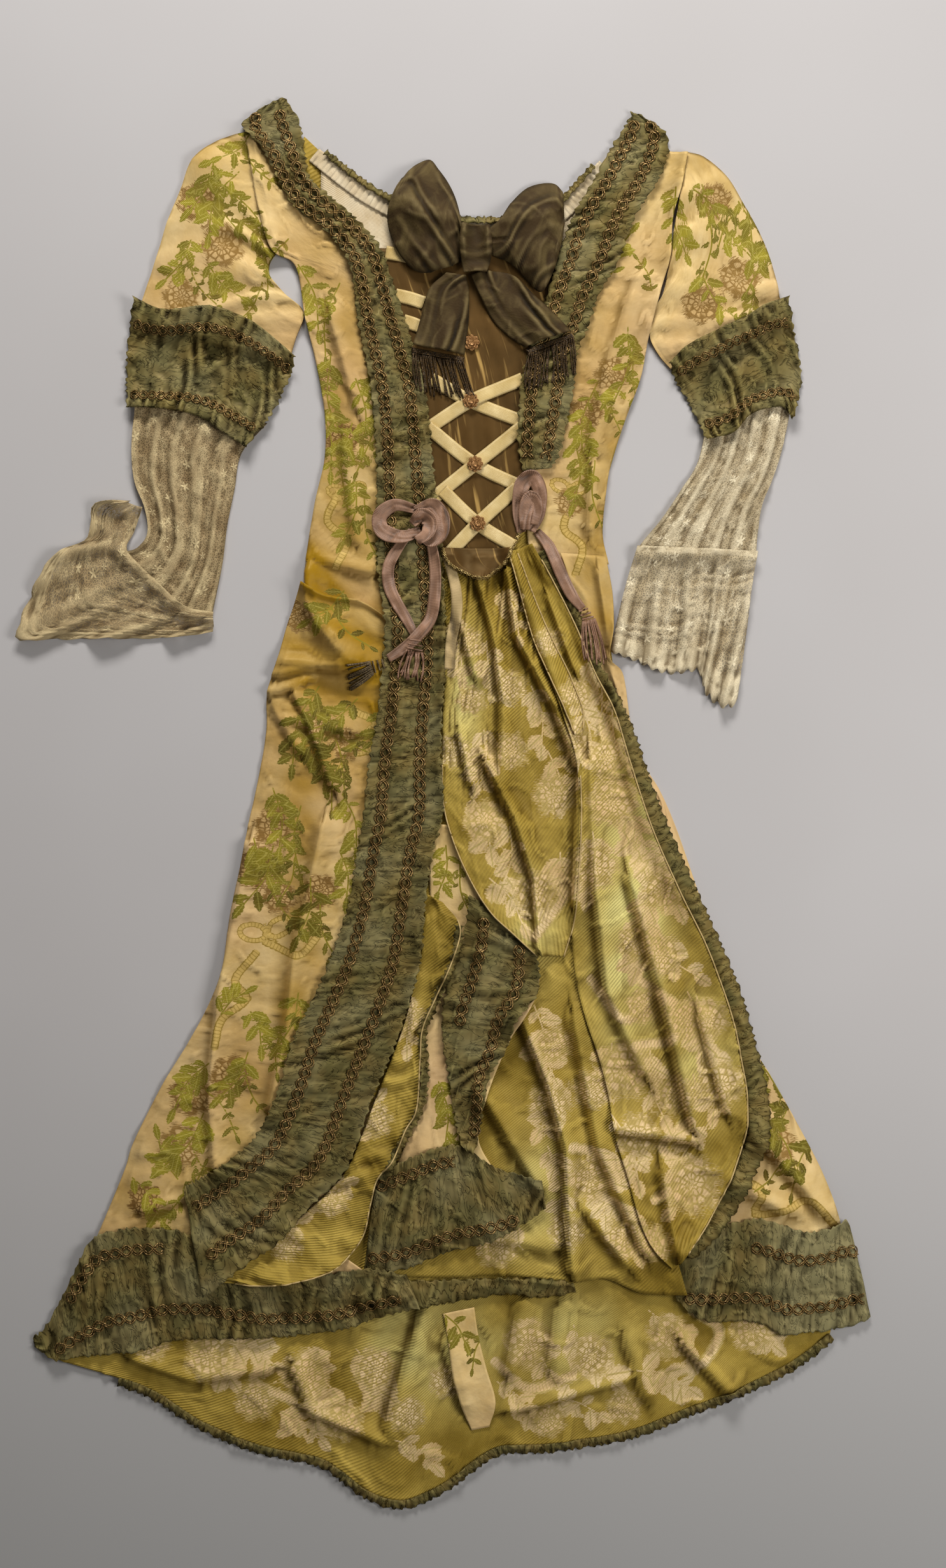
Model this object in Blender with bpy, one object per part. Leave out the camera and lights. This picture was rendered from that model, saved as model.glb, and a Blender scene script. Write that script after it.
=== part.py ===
"""Robe a la francaise laid flat on its back, built as the pieces its maker cut and sewed.

Every cloth piece is a wall laid on the pile beneath it. A piece is a short table of
stations, each with its left and right edge point in mm. The pile keeps the height of
what is already laid, and the next piece settles on it with a small gap.
X runs across the garment, Y from hem to neck, Z up. Units in the tables are mm.
"""

import math

import bmesh
import bpy
import numpy as np

MM = 0.001
WALL = 2.0
THIN_WALL = 1.2
RIBBON_WALL = 1.5
SOFT_WALL = 2.5
GAP = 0.35
REST_GAP = 0.45
CELL = 2.0
PILE_LOW_X, PILE_LOW_Y = -500.0, -830.0
PILE_COLUMNS, PILE_ROWS = 500, 830
SETTLE_ROUNDS = 40
MARGIN_CELLS = 1

BROCADE = ("brocade_face", "#DCC9A2", 0.62)
REVERSE = ("brocade_reverse", "#A79F42", 0.7)
LINEN = ("linen_lining", "#D9CDB5", 0.85)
RUCHED = ("ruched_silk_green", "#4C5443", 0.5)
BRAID = ("bronze_braid", "#7A5A3C", 0.45)
LAME = ("lame_taupe", "#55463A", 0.4)
GOLD_RIBBON = ("gold_ribbon", "#D8C983", 0.5)
COPPER = ("copper_ribbon", "#A9714A", 0.4)
VELVET = ("brown_velvet", "#3E3222", 0.8)
MAUVE = ("mauve_ribbon", "#86675C", 0.5)
LACE_GREIGE = ("lace_greige", "#B9A98D", 0.9)
LACE_CREAM = ("lace_cream", "#DCCFB2", 0.9)


def channel(value):
    return value / 12.92 if value <= 0.04045 else ((value + 0.055) / 1.055) ** 2.4


def material(finish):
    name, hex_colour, roughness = finish
    found = bpy.data.materials.get(name)
    if found:
        return found
    made = bpy.data.materials.new(name)
    made.use_nodes = True
    shader = made.node_tree.nodes["Principled BSDF"]
    colour = [channel(int(hex_colour[i:i + 2], 16) / 255) for i in (1, 3, 5)]
    shader.inputs["Base Color"].default_value = (*colour, 1)
    shader.inputs["Roughness"].default_value = roughness
    shader.inputs["Metallic"].default_value = 0.0
    return made


def smooth_curve(points, stations):
    """Points on a smooth curve through the given points; a station counts in points."""
    points = np.asarray(points, float)
    padded = np.vstack([2 * points[0] - points[1], points, 2 * points[-1] - points[-2]])
    stations = np.clip(np.asarray(stations, float), 0, len(points) - 1)
    index = np.minimum(stations.astype(int), len(points) - 2)
    t = (stations - index)[:, None]
    before, start, end, after = (padded[index + k] for k in range(4))
    return 0.5 * (
        2 * start
        + (end - before) * t
        + (2 * before - 5 * start + 4 * end - after) * t ** 2
        + (3 * start - before - 3 * end + after) * t ** 3
    )


def even_stations(points, count):
    """Stations that share a curve's length evenly."""
    fine = np.linspace(0, len(points) - 1, 40 * len(points))
    steps = np.linalg.norm(np.diff(smooth_curve(points, fine), axis=0), axis=1)
    run = np.concatenate([[0], np.cumsum(steps)])
    return np.interp(np.linspace(0, run[-1], count + 1), run, fine)


class Grid:
    """The flat layout of one piece: v runs along its stations, u from left to right."""

    def __init__(self, stations, across, along, first=None, last=None, keep=3, v_stations=None):
        rows = np.asarray(stations, float)
        middle = (rows[:, :2] + rows[:, 2:4]) / 2
        v = even_stations(middle, along) if v_stations is None else np.asarray(v_stations, float)
        self.u = np.linspace(0, 1, across + 1)
        left = smooth_curve(rows[:, :2], v)
        right = smooth_curve(rows[:, 2:4], v)
        u = self.u[None, :, None]
        self.xy = left[:, None] * (1 - u) + right[:, None] * u
        self.v = (v - v[0]) / (v[-1] - v[0])
        for edge, row, weight in ((first, 0, (1 - self.v) ** keep), (last, -1, self.v ** keep)):
            if edge is not None:
                curve = smooth_curve(edge, even_stations(edge, across))
                self.xy += weight[:, None, None] * (curve - self.xy[row])[None]
        centre = self.xy[:, across // 2]
        steps = np.linalg.norm(np.diff(centre, axis=0), axis=1)
        self.along = np.concatenate([[0], np.cumsum(steps)])
        self.across = np.linalg.norm(self.xy[:, -1] - self.xy[:, 0], axis=1)
        rows_n, cols_n = self.xy.shape[:2]
        corner = (np.arange(rows_n - 1)[:, None] * cols_n + np.arange(cols_n - 1)).ravel()
        self.quads = np.stack([corner, corner + 1, corner + cols_n + 1, corner + cols_n], axis=1)
        self.points = self.xy.reshape(-1, 2)


def ribbon_stations(path, widths, count):
    """Left and right edge points of a ribbon along a path."""
    stations = even_stations(path, count)
    centre = smooth_curve(path, stations)
    width = np.interp(stations, np.linspace(0, len(path) - 1, len(widths)), widths)
    way = np.gradient(centre, axis=0)
    way /= np.linalg.norm(way, axis=1)[:, None]
    side = np.stack([-way[:, 1], way[:, 0]], axis=1) * width[:, None] / 2
    return np.hstack([centre - side, centre + side])


def ribbon(path, widths, along, across=1):
    return Grid(ribbon_stations(path, widths, along), across, along, v_stations=range(along + 1))


def barycentric(steps):
    """Sample weights spread over a triangle."""
    pairs = [(i, j) for i in range(steps + 1) for j in range(steps + 1 - i)]
    a, b = (np.array(pairs, float) / steps).T
    return np.stack([a, b, 1 - a - b], axis=1)


def triangles_of(quads):
    """Both ways to split each quad, because either may be the one that is built."""
    quads = np.asarray(quads)
    return np.vstack([quads[:, list(way)] for way in ((0, 1, 2), (0, 2, 3), (0, 1, 3), (1, 2, 3))])


class Pile:
    """The height of what is laid so far, in cells."""

    def __init__(self):
        self.top = np.zeros((PILE_ROWS, PILE_COLUMNS))

    def cells(self, xy):
        column = ((xy[..., 0] - PILE_LOW_X) / CELL).astype(int)
        row = ((xy[..., 1] - PILE_LOW_Y) / CELL).astype(int)
        return np.clip(row, 0, PILE_ROWS - 1), np.clip(column, 0, PILE_COLUMNS - 1)

    def highest_near(self):
        padded = np.pad(self.top, MARGIN_CELLS, mode="edge")
        near = [
            padded[i:i + PILE_ROWS, j:j + PILE_COLUMNS]
            for i in range(2 * MARGIN_CELLS + 1)
            for j in range(2 * MARGIN_CELLS + 1)
        ]
        return np.max(near, axis=0)

    def samples(self, xy, faces, spacing):
        corners = xy[faces]
        longest = np.linalg.norm(corners - np.roll(corners, 1, axis=1), axis=2).max()
        weights = barycentric(max(2, math.ceil(longest / spacing)))
        return weights, np.einsum("sk,tkc->tsc", weights, corners)

    def settle(self, xy, quads):
        """Lowest underside heights that keep every face clear of the pile."""
        faces = triangles_of(quads)
        weights, spots = self.samples(xy, faces, CELL * 0.8)
        near = self.highest_near()
        need = near[self.cells(spots)]
        need = np.where(need > 0, need + GAP, 0.0)
        under = np.zeros(len(xy))
        share = weights / (weights ** 2).sum(axis=1)[:, None]
        for _ in range(SETTLE_ROUNDS):
            short = need - under[faces] @ weights.T
            worst = short.argmax(axis=1)
            lack = short[np.arange(len(faces)), worst]
            if lack.max() < 0.01:
                break
            lift = np.clip(lack, 0, None)[:, None] * share[worst]
            raised = under.copy()
            np.maximum.at(raised, faces, under[faces] + lift)
            under = raised
        lack = np.clip((need - under[faces] @ weights.T).max(axis=1), 0, None)
        raised = under.copy()
        np.maximum.at(raised, faces, under[faces] + lack[:, None])
        return raised

    def let_down(self, xy, quads, under):
        """The whole piece comes down until its nearest point rests a gap above the pile."""
        faces = triangles_of(quads)
        weights, spots = self.samples(xy, faces, CELL * 0.8)
        own = self.top[self.cells(spots)]
        laid_on = own > 0
        if not laid_on.any():
            return under
        clearance = (under[faces] @ weights.T - own)[laid_on].min()
        return np.clip(under - max(0.0, clearance - REST_GAP), 0, None)

    def add(self, xy, quads, heights):
        faces = triangles_of(quads)
        weights, spots = self.samples(xy, faces, CELL * 0.45)
        level = heights[faces] @ weights.T
        np.maximum.at(self.top, self.cells(spots), level)


PILE = Pile()
robe = bpy.data.collections.new("robe_a_la_francaise")


def solid(name, xy, quads, under, top, finish):
    """A closed wall: an upper surface, extruded down to its underside."""
    mesh = bmesh.new()
    low = mesh.verts.layers.float.new("underside")
    corners = []
    for (x, y), z_top, z_low in zip(xy, top, under):
        corner = mesh.verts.new((x * MM, y * MM, z_top * MM))
        corner[low] = z_low * MM
        corners.append(corner)
    for quad in quads:
        mesh.faces.new([corners[i] for i in quad])
    sheet_faces = list(mesh.faces)
    grown = bmesh.ops.extrude_face_region(mesh, geom=sheet_faces, use_keep_orig=True)
    for part in grown["geom"]:
        if isinstance(part, bmesh.types.BMVert):
            part.co.z = part[low]
    bmesh.ops.recalc_face_normals(mesh, faces=mesh.faces)
    data = bpy.data.meshes.new(name)
    mesh.to_mesh(data)
    mesh.free()
    data.shade_smooth()
    data.set_sharp_from_angle(angle=math.radians(50))
    return place(name, data, finish)


def place(name, data, finish):
    data.materials.append(material(finish))
    made = bpy.data.objects.new(name, data)
    robe.objects.link(made)
    return made


def lay(name, grid, finish, wall=WALL, relief=None, dome=None):
    """Lays a piece on the pile. Relief lifts the whole wall, dome thickens it upwards."""
    under = PILE.settle(grid.points, grid.quads)
    if relief is not None:
        under = under + np.maximum(relief(grid), 0).ravel()
    under = PILE.let_down(grid.points, grid.quads, under)
    top = under + wall
    if dome is not None:
        top = top + np.maximum(dome(grid), 0).ravel()
    PILE.add(grid.points, grid.quads, top)
    return solid(name, grid.points, grid.quads, under, top, finish)


def folds(table):
    """Relief of soft ridges, one row for each stretch of a fold."""
    def relief(grid):
        lift = np.zeros(grid.xy.shape[:2])
        for x0, y0, x1, y1, height, half_width in table:
            start = np.array([x0, y0], float)
            way = np.array([x1 - x0, y1 - y0], float)
            t = np.clip(((grid.xy - start) @ way) / (way @ way), 0, 1)
            away = np.linalg.norm(grid.xy - start - t[..., None] * way, axis=2)
            lift = np.maximum(lift, height * np.exp(-(away / half_width) ** 2))
        return lift
    return relief


def gathers(pitch, depth, slant=0.0, waver=0.6):
    """Relief of gathers across a band, pitch mm apart along it."""
    def relief(grid):
        along = grid.along[:, None] + slant * grid.u[None] * grid.across[:, None]
        turn = 2 * math.pi * along / pitch
        wave = np.sin(turn + waver * np.sin(0.37 * turn + 3 * grid.u[None]))
        swell = 0.7 + 0.3 * np.sin(0.23 * turn + 5 * grid.u[None])
        return depth * np.clip(0.4 + 0.6 * wave, 0, 1) * swell
    return relief


def flutes(count, depth, grow=1.0, start=0.0):
    """Relief of waves that fan out from the gathered edge to the loose one."""
    def relief(grid):
        turn = 2 * math.pi * count * grid.u[None] + start
        wave = np.sin(turn + 0.8 * np.sin(2.1 * turn / count))
        return depth * np.maximum(wave, 0) * (grid.v[:, None] ** grow)
    return relief


def rounded(height, power=0.7):
    """A dome across the width of a roll, its edges at nothing."""
    def relief(grid):
        ends = np.minimum(1, 6 * np.minimum(grid.v, 1 - grid.v) + 0.35)
        return height * (np.sin(math.pi * grid.u)[None] ** power) * ends[:, None]
    return relief


def raised_lines(places, height, half_width):
    """Braids worked along a band, as ridges at set parts of its width."""
    def relief(grid):
        lift = np.zeros(grid.xy.shape[:2])
        for u, v_first, v_last in places:
            away = np.abs(grid.u - u)[None] * grid.across[:, None]
            inside = ((grid.v >= v_first) & (grid.v <= v_last))[:, None]
            lift = np.maximum(lift, height * inside * (away < half_width))
        return lift
    return relief


def tube(name, stations, finish, along, height, relief, across=6, slit=0.8, last=None):
    """A sleeve lying flat: a wall all round a thin slit, open at both ends."""
    grid = Grid(stations, across, along, last=last)
    rise = height * np.sin(math.pi * grid.u)[None] ** 0.6 + np.maximum(relief(grid), 0)
    inner_top = WALL + slit + rise
    inner_top[:, [0, -1]] = WALL + slit * 0.4
    outer_top = inner_top + WALL
    mesh = bmesh.new()
    rings = []
    for row in range(len(grid.v)):
        at = grid.xy[row] * MM
        outer = [mesh.verts.new((*at[i], 0)) for i in range(across + 1)]
        outer += [mesh.verts.new((*at[i], outer_top[row, i] * MM)) for i in range(across, -1, -1)]
        inner = [mesh.verts.new((*at[i], WALL * MM)) for i in range(1, across)]
        inner += [mesh.verts.new((*at[i], inner_top[row, i] * MM)) for i in range(across - 1, 0, -1)]
        rings.append((outer, inner))
    for (outer_a, inner_a), (outer_b, inner_b) in zip(rings, rings[1:]):
        for ring_a, ring_b in ((outer_a, outer_b), (inner_a, inner_b)):
            for i in range(len(ring_a)):
                j = (i + 1) % len(ring_a)
                mesh.faces.new([ring_a[i], ring_a[j], ring_b[j], ring_b[i]])
    for outer, inner in (rings[0], rings[-1]):
        close_end(mesh, outer, inner, across)
    bmesh.ops.recalc_face_normals(mesh, faces=mesh.faces)
    data = bpy.data.meshes.new(name)
    mesh.to_mesh(data)
    mesh.free()
    PILE.add(grid.points, grid.quads, outer_top.ravel())
    return place(name, data, finish)


def close_end(mesh, outer, inner, across):
    """The cut end of a flat tube: a strip between its outer ring and its slit."""
    low_out, high_out = outer[:across + 1], outer[:across:-1]
    low_in, high_in = inner[:across - 1], inner[:across - 2:-1]
    for i in range(across - 2):
        mesh.faces.new([low_out[i + 1], low_out[i + 2], low_in[i + 1], low_in[i]])
        mesh.faces.new([high_out[i + 1], high_out[i + 2], high_in[i + 1], high_in[i]])
    mesh.faces.new([low_out[0], low_out[1], low_in[0]])
    mesh.faces.new([high_out[0], high_out[1], high_in[0]])
    mesh.faces.new([low_out[0], low_in[0], high_in[0], high_out[0]])
    mesh.faces.new([low_out[-1], low_out[-2], low_in[-1]])
    mesh.faces.new([high_out[-1], high_out[-2], high_in[-1]])
    mesh.faces.new([low_out[-1], low_in[-1], high_in[-1], high_out[-1]])


def comb(name, backing, strands, finish, wall=1.4, bands=2, seed=1):
    """Fringe: a narrow backing with strands cut from its lower edge.

    backing holds the two ends of its top edge and the two ends of its root line,
    strands the two ends of the line where they stop, and how many there are.
    """
    rng = np.random.default_rng(seed)
    top_a, top_b, root_a, root_b = (np.array(p, float) for p in backing)
    end_a, end_b, count = np.array(strands[0], float), np.array(strands[1], float), strands[2]
    cuts = np.linspace(0, 1, 2 * count)
    tops = [top_a + (top_b - top_a) * t for t in cuts]
    roots = [root_a + (root_b - root_a) * t for t in cuts]
    xy = tops + roots
    quads = [(i, i + 1, len(cuts) + i + 1, len(cuts) + i) for i in range(len(cuts) - 1)]
    for strand in range(count):
        left, right = 2 * strand, 2 * strand + 1
        t = (cuts[left] + cuts[right]) / 2
        tip = end_a + (end_b - end_a) * t + rng.uniform(-1, 1, 2) * (1.0, 4.0)
        rail = [len(cuts) + left, len(cuts) + right]
        width = (roots[right] - roots[left]) * 0.8
        middle = (roots[left] + roots[right]) / 2
        for band in range(1, bands + 1):
            at = middle + (tip - middle) * band / bands
            xy += [at - width / 2, at + width / 2]
            quads.append((rail[0], rail[1], len(xy) - 1, len(xy) - 2))
            rail = [len(xy) - 2, len(xy) - 1]
    xy = np.array(xy)
    under = PILE.let_down(xy, quads, PILE.settle(xy, quads))
    PILE.add(xy, quads, under + wall)
    return solid(name, xy, quads, under, under + wall, finish)


def cross_ribbon(name, centre, ends, width, finish):
    """Two ribbons that cross under a rosette, woven as one X."""
    centre = np.array(centre, float)
    ways = [np.array(end, float) - centre for end in ends]
    ways.sort(key=lambda way: math.atan2(way[1], way[0]))
    corners = []
    for a, b in zip(ways, ways[1:] + ways[:1]):
        middle = a / np.linalg.norm(a) + b / np.linalg.norm(b)
        corners.append(centre + middle / np.linalg.norm(middle) * width * 0.72)
    xy = list(corners)
    quads = [(0, 1, 2, 3)]
    for i, way in enumerate(ways):
        rail = [(i - 1) % 4, i]
        side = np.array([-way[1], way[0]]) / np.linalg.norm(way) * width / 2
        for part in (0.55, 1.0):
            xy += [centre + way * part - side, centre + way * part + side]
            quads.append((rail[0], rail[1], len(xy) - 1, len(xy) - 2))
            rail = [len(xy) - 2, len(xy) - 1]
    xy = np.array(xy)
    under = PILE.let_down(xy, quads, PILE.settle(xy, quads))
    PILE.add(xy, quads, under + THIN_WALL)
    return solid(name, xy, quads, under, under + THIN_WALL, finish)


def rosette(name, centre, radius=9.5, height=5.0, sides=14):
    """A wound ribbon rosette: a low cone that rests on what is under it."""
    angles = np.linspace(0, 2 * math.pi, 2 * sides + 1)
    ring = np.array(centre) + radius * np.stack([np.cos(angles), np.sin(angles)], axis=1)
    level = max(PILE.highest_near()[PILE.cells(ring)].max(), 0) + GAP
    mesh = bmesh.new()
    bmesh.ops.create_cone(
        mesh, cap_ends=True, segments=sides,
        radius1=radius * MM, radius2=radius * 0.4 * MM, depth=height * MM,
    )
    bmesh.ops.translate(
        mesh, verts=mesh.verts, vec=(centre[0] * MM, centre[1] * MM, (level + height / 2) * MM)
    )
    data = bpy.data.meshes.new(name)
    mesh.to_mesh(data)
    mesh.free()
    fan = np.array([(0, i, i + 1, 0) for i in range(1, 2 * sides + 1)])
    points = np.vstack([np.array(centre)[None], ring])
    PILE.add(points, fan, np.full(len(points), level + height))
    return place(name, data, COPPER)


# The sack back, one width of cloth from the neck to the train. Its lower part shows its reverse.
# columns: left x, left y, right x, right y
BACK = [
    (-160, 753, 190, 741),
    (-183, 678, 236, 670),
    (-166, 598, 242, 591),
    (-144, 519, 224, 512),
    (-130, 440, 205, 440),
    (-134, 368, 183, 368),
    (-148, 303, 177, 296),
    (-160, 217, 183, 217),
    (-184, 145, 190, 145),
    (-196, 58, 208, 58),
    (-218, -42, 255, -42),
    (-239, -136, 291, -136),
    (-256, -222, 324, -222),
    (-303, -309, 360, -309),
    (-342, -395, 399, -388),
    (-375, -482, 432, -474),
    (-424, -568, 446, -546),
    (-442, -629, 434, -601),
]
BACK_ROWS = (0, 2, 4, 6, 8, 10, 12, 14, 15, 15.5, 16, 16.33, 16.67, 17)
# columns: x, y
NECKLINE = [
    (-160, 753), (-123, 719), (-80, 686), (-29, 663), (28, 654), (93, 657), (133, 670), (190, 741),
]
# columns: x, y
TRAIN_HEM = [
    (-442, -629), (-388, -645), (-332, -665), (-275, -701), (-212, -727), (-139, -744), (-90, -778),
    (-49, -790), (-3, -771), (56, -731), (119, -726), (208, -711), (272, -686), (325, -666),
    (390, -634), (434, -601),
]
# columns: start x, start y, end x, end y, height, half width
TRAIN_FOLDS = [
    (-24, -570, -41, -630, 9, 12), (-41, -630, -65, -705, 9, 14),
    (-170, -640, -152, -687, 7, 12), (-152, -687, -72, -721, 7, 12),
    (-350, -629, -288, -651, 6, 12), (-288, -651, -202, -640, 5, 12),
    (0, -611, 21, -676, 6, 10), (86, -568, 72, -640, 6, 14),
    (72, -687, 205, -651, 6, 10), (270, -611, 316, -662, 7, 10),
    (205, -611, 226, -669, 6, 12), (129, -575, 122, -633, 5, 14),
]
# columns: left x, left y, right x, right y
BACK_LINING = [
    (-141, 732, 172, 719), (-141, 663, 208, 656), (-136, 591, 216, 591), (-121, 505, 205, 505),
    (-112, 418, 183, 418),
]
# columns: x, y
LINING_NECK = [
    (-141, 732), (-108, 703), (-69, 679), (-26, 658), (28, 650), (93, 653), (128, 665), (172, 719),
]
NECK_BAND_WIDTH = 18
# columns: x, y
NECK_BAND_PATH = [
    (-149, 732), (-116, 705), (-80, 680), (-29, 657), (28, 648), (90, 651), (126, 663), (152, 688),
    (180, 719),
]

# The stomacher, pinned under the robings, with its crossed ribbons.
# columns: left x, left y, right x, right y
STOMACHER = [
    (-90, 626, 147, 626), (-67, 562, 131, 562), (-46, 498, 109, 498), (-35, 433, 105, 433),
    (-26, 368, 99, 368), (-15, 310, 90, 318), (3, 274, 69, 277), (28, 253, 40, 253),
]
# columns: x and y of the crossing, then of the four ribbon ends
LATTICE = [
    (28, 453, -9, 474, -13, 427, 77, 474, 79, 433),
    (33, 382, -12, 417, -8, 349, 77, 417, 76, 361),
    (36, 315, 3, 346, 5, 283, 73, 349, 69, 294),
]
LATTICE_WIDTH = 15
# columns: x, y
ROSETTES = [
    (28, 453), (33, 382), (36, 315), (29, 519),
]

# Sleeves, their ruched cuffs and the lace below. The first station is the armhole.
# columns: left x, left y, right x, right y
SLEEVE_LEFT = [
    (-222, 758, -190, 623), (-258, 748, -199, 609), (-286, 726, -198, 594), (-301, 690, -180, 573),
    (-316, 652, -163, 559), (-328, 613, -161, 546), (-339, 580, -169, 526), (-349, 548, -176, 503),
]
# columns: left x, left y, right x, right y
SLEEVE_RIGHT = [
    (252, 614, 272, 735), (249, 591, 293, 729), (244, 572, 318, 706),
    (236, 559, 338, 674), (231, 541, 357, 638), (231, 523, 370, 602),
    (241, 505, 377, 571), (255, 489, 383, 548),
]
# columns: left x, left y, right x, right y
CUFF_LEFT = [
    (-351, 570, -170, 503), (-357, 537, -175, 483), (-360, 505, -185, 462), (-361, 476, -198, 436),
    (-360, 446, -225, 400),
]
# columns: x, y
CUFF_LEFT_TOP = [
    (-351, 570), (-316, 555), (-267, 559), (-231, 548), (-206, 534), (-170, 503),
]
# columns: x, y
CUFF_LEFT_FOOT = [
    (-360, 446), (-324, 444), (-281, 436), (-252, 418), (-225, 400),
]
# columns: left x, left y, right x, right y
CUFF_RIGHT = [
    (252, 496, 386, 571), (259, 477, 392, 537), (270, 460, 398, 508),
    (280, 440, 401, 472), (293, 409, 391, 431),
]
# columns: x, y
CUFF_RIGHT_TOP = [
    (252, 496), (273, 516), (309, 534), (339, 548), (358, 560), (386, 571),
]
# columns: x, y
CUFF_RIGHT_FOOT = [
    (293, 409), (324, 417), (345, 438), (378, 446), (391, 431),
]
# columns: left x, left y, right x, right y
LACE_SLEEVE_LEFT = [
    (-350, 458, -202, 429), (-355, 404, -231, 395), (-352, 364, -239, 354), (-340, 332, -247, 314),
    (-337, 303, -252, 274), (-350, 285, -258, 242), (-372, 280, -265, 208),
]
# columns: left x, left y, right x, right y
LACE_SLEEVE_RIGHT = [
    (296, 436, 393, 462), (285, 386, 381, 404), (266, 354, 370, 368),
    (244, 321, 357, 336), (224, 297, 352, 303), (214, 283, 350, 276),
]
# columns: x, y
LACE_LEFT_FOOT = [
    (-372, 283), (-357, 273), (-342, 259), (-328, 244), (-310, 227), (-288, 213), (-265, 209),
]
# columns: left x, left y, right x, right y
FLOUNCE_LEFT = [
    (-342, 333, -262, 215), (-357, 338, -262, 202), (-356, 341, -263, 193),
]
# columns: x, y
FLOUNCE_LEFT_SEAM = [
    (-342, 333), (-352, 307), (-360, 287), (-347, 270), (-323, 247), (-294, 222), (-262, 215),
]
# columns: x, y
FLOUNCE_LEFT_HEM = [
    (-356, 341), (-396, 336), (-404, 300), (-436, 283), (-460, 249), (-480, 189), (-443, 186), (-396, 186),
    (-339, 186), (-296, 188), (-263, 193),
]
# columns: left x, left y, right x, right y
FLOUNCE_RIGHT = [
    (216, 290, 352, 284), (203, 246, 345, 241), (193, 206, 339, 188), (185, 173, 329, 117),
]
# columns: x, y
FLOUNCE_RIGHT_HEM = [
    (185, 173), (216, 163), (237, 153), (259, 150), (286, 152), (293, 130),
    (313, 114), (329, 117),
]

# Bodice fronts, from the armhole to the waist. The left one ends in a loose fold at the hip.
# columns: left x, left y, right x, right y
BODICE_LEFT = [
    (-226, 754, -177, 739), (-219, 714, -154, 692), (-213, 678, -124, 649), (-197, 624, -97, 613),
    (-170, 606, -80, 584), (-159, 548, -72, 534), (-147, 498, -58, 476), (-137, 440, -44, 418),
    (-137, 390, -36, 361), (-148, 339, -36, 310), (-159, 267, -36, 260), (-157, 231, -40, 220),
    (-137, 192, -44, 184), (-110, 159, -58, 155),
]
# columns: start x, start y, end x, end y, height, half width
BODICE_LEFT_FOLDS = [
    (-157, 260, -152, 213, 8, 12), (-152, 213, -107, 163, 10, 10), (-130, 548, -101, 447, 5, 12),
    (-144, 274, -87, 260, 4, 10), (-116, 404, -101, 296, 4, 10),
]
# columns: left x, left y, right x, right y
BODICE_RIGHT = [
    (219, 739, 273, 734), (198, 699, 266, 696), (180, 663, 256, 660), (165, 624, 253, 616),
    (147, 584, 242, 577), (129, 534, 229, 526), (118, 483, 220, 480), (108, 440, 203, 433),
    (102, 390, 187, 386), (95, 346, 180, 343), (92, 303, 177, 303), (98, 271, 184, 269),
]
# columns: start x, start y, end x, end y, height, half width
BODICE_RIGHT_FOLDS = [
    (216, 591, 187, 505, 5, 12), (187, 505, 165, 404, 5, 12), (165, 375, 162, 303, 5, 10),
]

# Skirt panels, face up, and their ruched hem bands.
# columns: left x, left y, right x, right y
SKIRT_SIDE = [
    (129, 282, 180, 278), (144, 238, 188, 238), (154, 199, 189, 199), (162, 166, 185, 163),
    (176, 134, 200, 145), (190, 94, 208, 94), (205, 51, 219, 51),
    (219, 8, 241, 15), (234, -28, 260, -28), (255, -86, 280, -86),
    (277, -136, 298, -138), (301, -201, 326, -204), (313, -262, 341, -264),
    (320, -309, 367, -309), (320, -359, 396, -361), (306, -410, 424, -415),
    (284, -460, 441, -460), (273, -503, 450, -496), (266, -546, 462, -541),
]
# columns: start x, start y, end x, end y, height, half width
SKIRT_SIDE_FOLDS = [
    (172, 260, 183, 181, 5, 8), (183, 159, 198, 109, 5, 8), (352, -374, 424, -460, 8, 14),
    (331, -431, 381, -460, 7, 12),
]
# columns: left x, left y, right x, right y
HEM_RIGHT = [
    (254, -525, 260, -561), (277, -500, 280, -579), (306, -478, 302, -586),
    (327, -473, 331, -585), (355, -469, 356, -588), (383, -477, 380, -601),
    (406, -484, 404, -598), (432, -480, 433, -595), (452, -471, 462, -590),
    (459, -489, 480, -582),
]
# columns: left x, left y, right x, right y
SKIRT_LEFT = [
    (-163, 249, -44, 256), (-172, 222, -44, 228), (-180, 199, -36, 199), (-189, 166, -36, 159),
    (-202, 123, -44, 116),
    (-203, 80, -44, 73), (-213, 22, -44, 22), (-224, -28, -51, -28),
    (-232, -71, -58, -71), (-244, -129, -72, -136), (-252, -186, -87, -194),
    (-267, -226, -108, -244), (-291, -271, -130, -294), (-321, -320, -159, -348),
    (-353, -384, -188, -399), (-363, -415, -216, -431), (-383, -464, -195, -464),
    (-404, -514, -130, -503), (-422, -561, -47, -557),
]
# columns: start x, start y, end x, end y, height, half width
SKIRT_LEFT_FOLDS = [
    (-140, -28, -172, -179, 9, 13), (-172, -179, -180, -256, 9, 13), (-180, -256, -198, -341, 8, 13),
    (-222, -50, -256, -215, 7, 12), (-256, -215, -268, -334, 8, 10), (-268, -334, -260, -410, 7, 12),
    (-188, 145, -130, 159, 6, 14), (-180, 94, -116, 80, 6, 14), (-195, 109, -166, 58, 5, 12),
    (-339, -460, -296, -446, 5, 10),
]
# columns: left x, left y, right x, right y
HEM_LEFT = [
    (-467, -604, -464, -616), (-453, -593, -441, -629), (-429, -550, -411, -625), (-401, -495, -375, -622),
    (-375, -483, -346, -618), (-335, -479, -310, -608), (-293, -485, -274, -605),
    (-260, -503, -238, -605), (-216, -525, -198, -604), (-180, -532, -159, -600),
    (-137, -532, -116, -594), (-94, -525, -80, -582), (-72, -525, -54, -574),
    (-44, -532, -29, -568),
]

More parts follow.
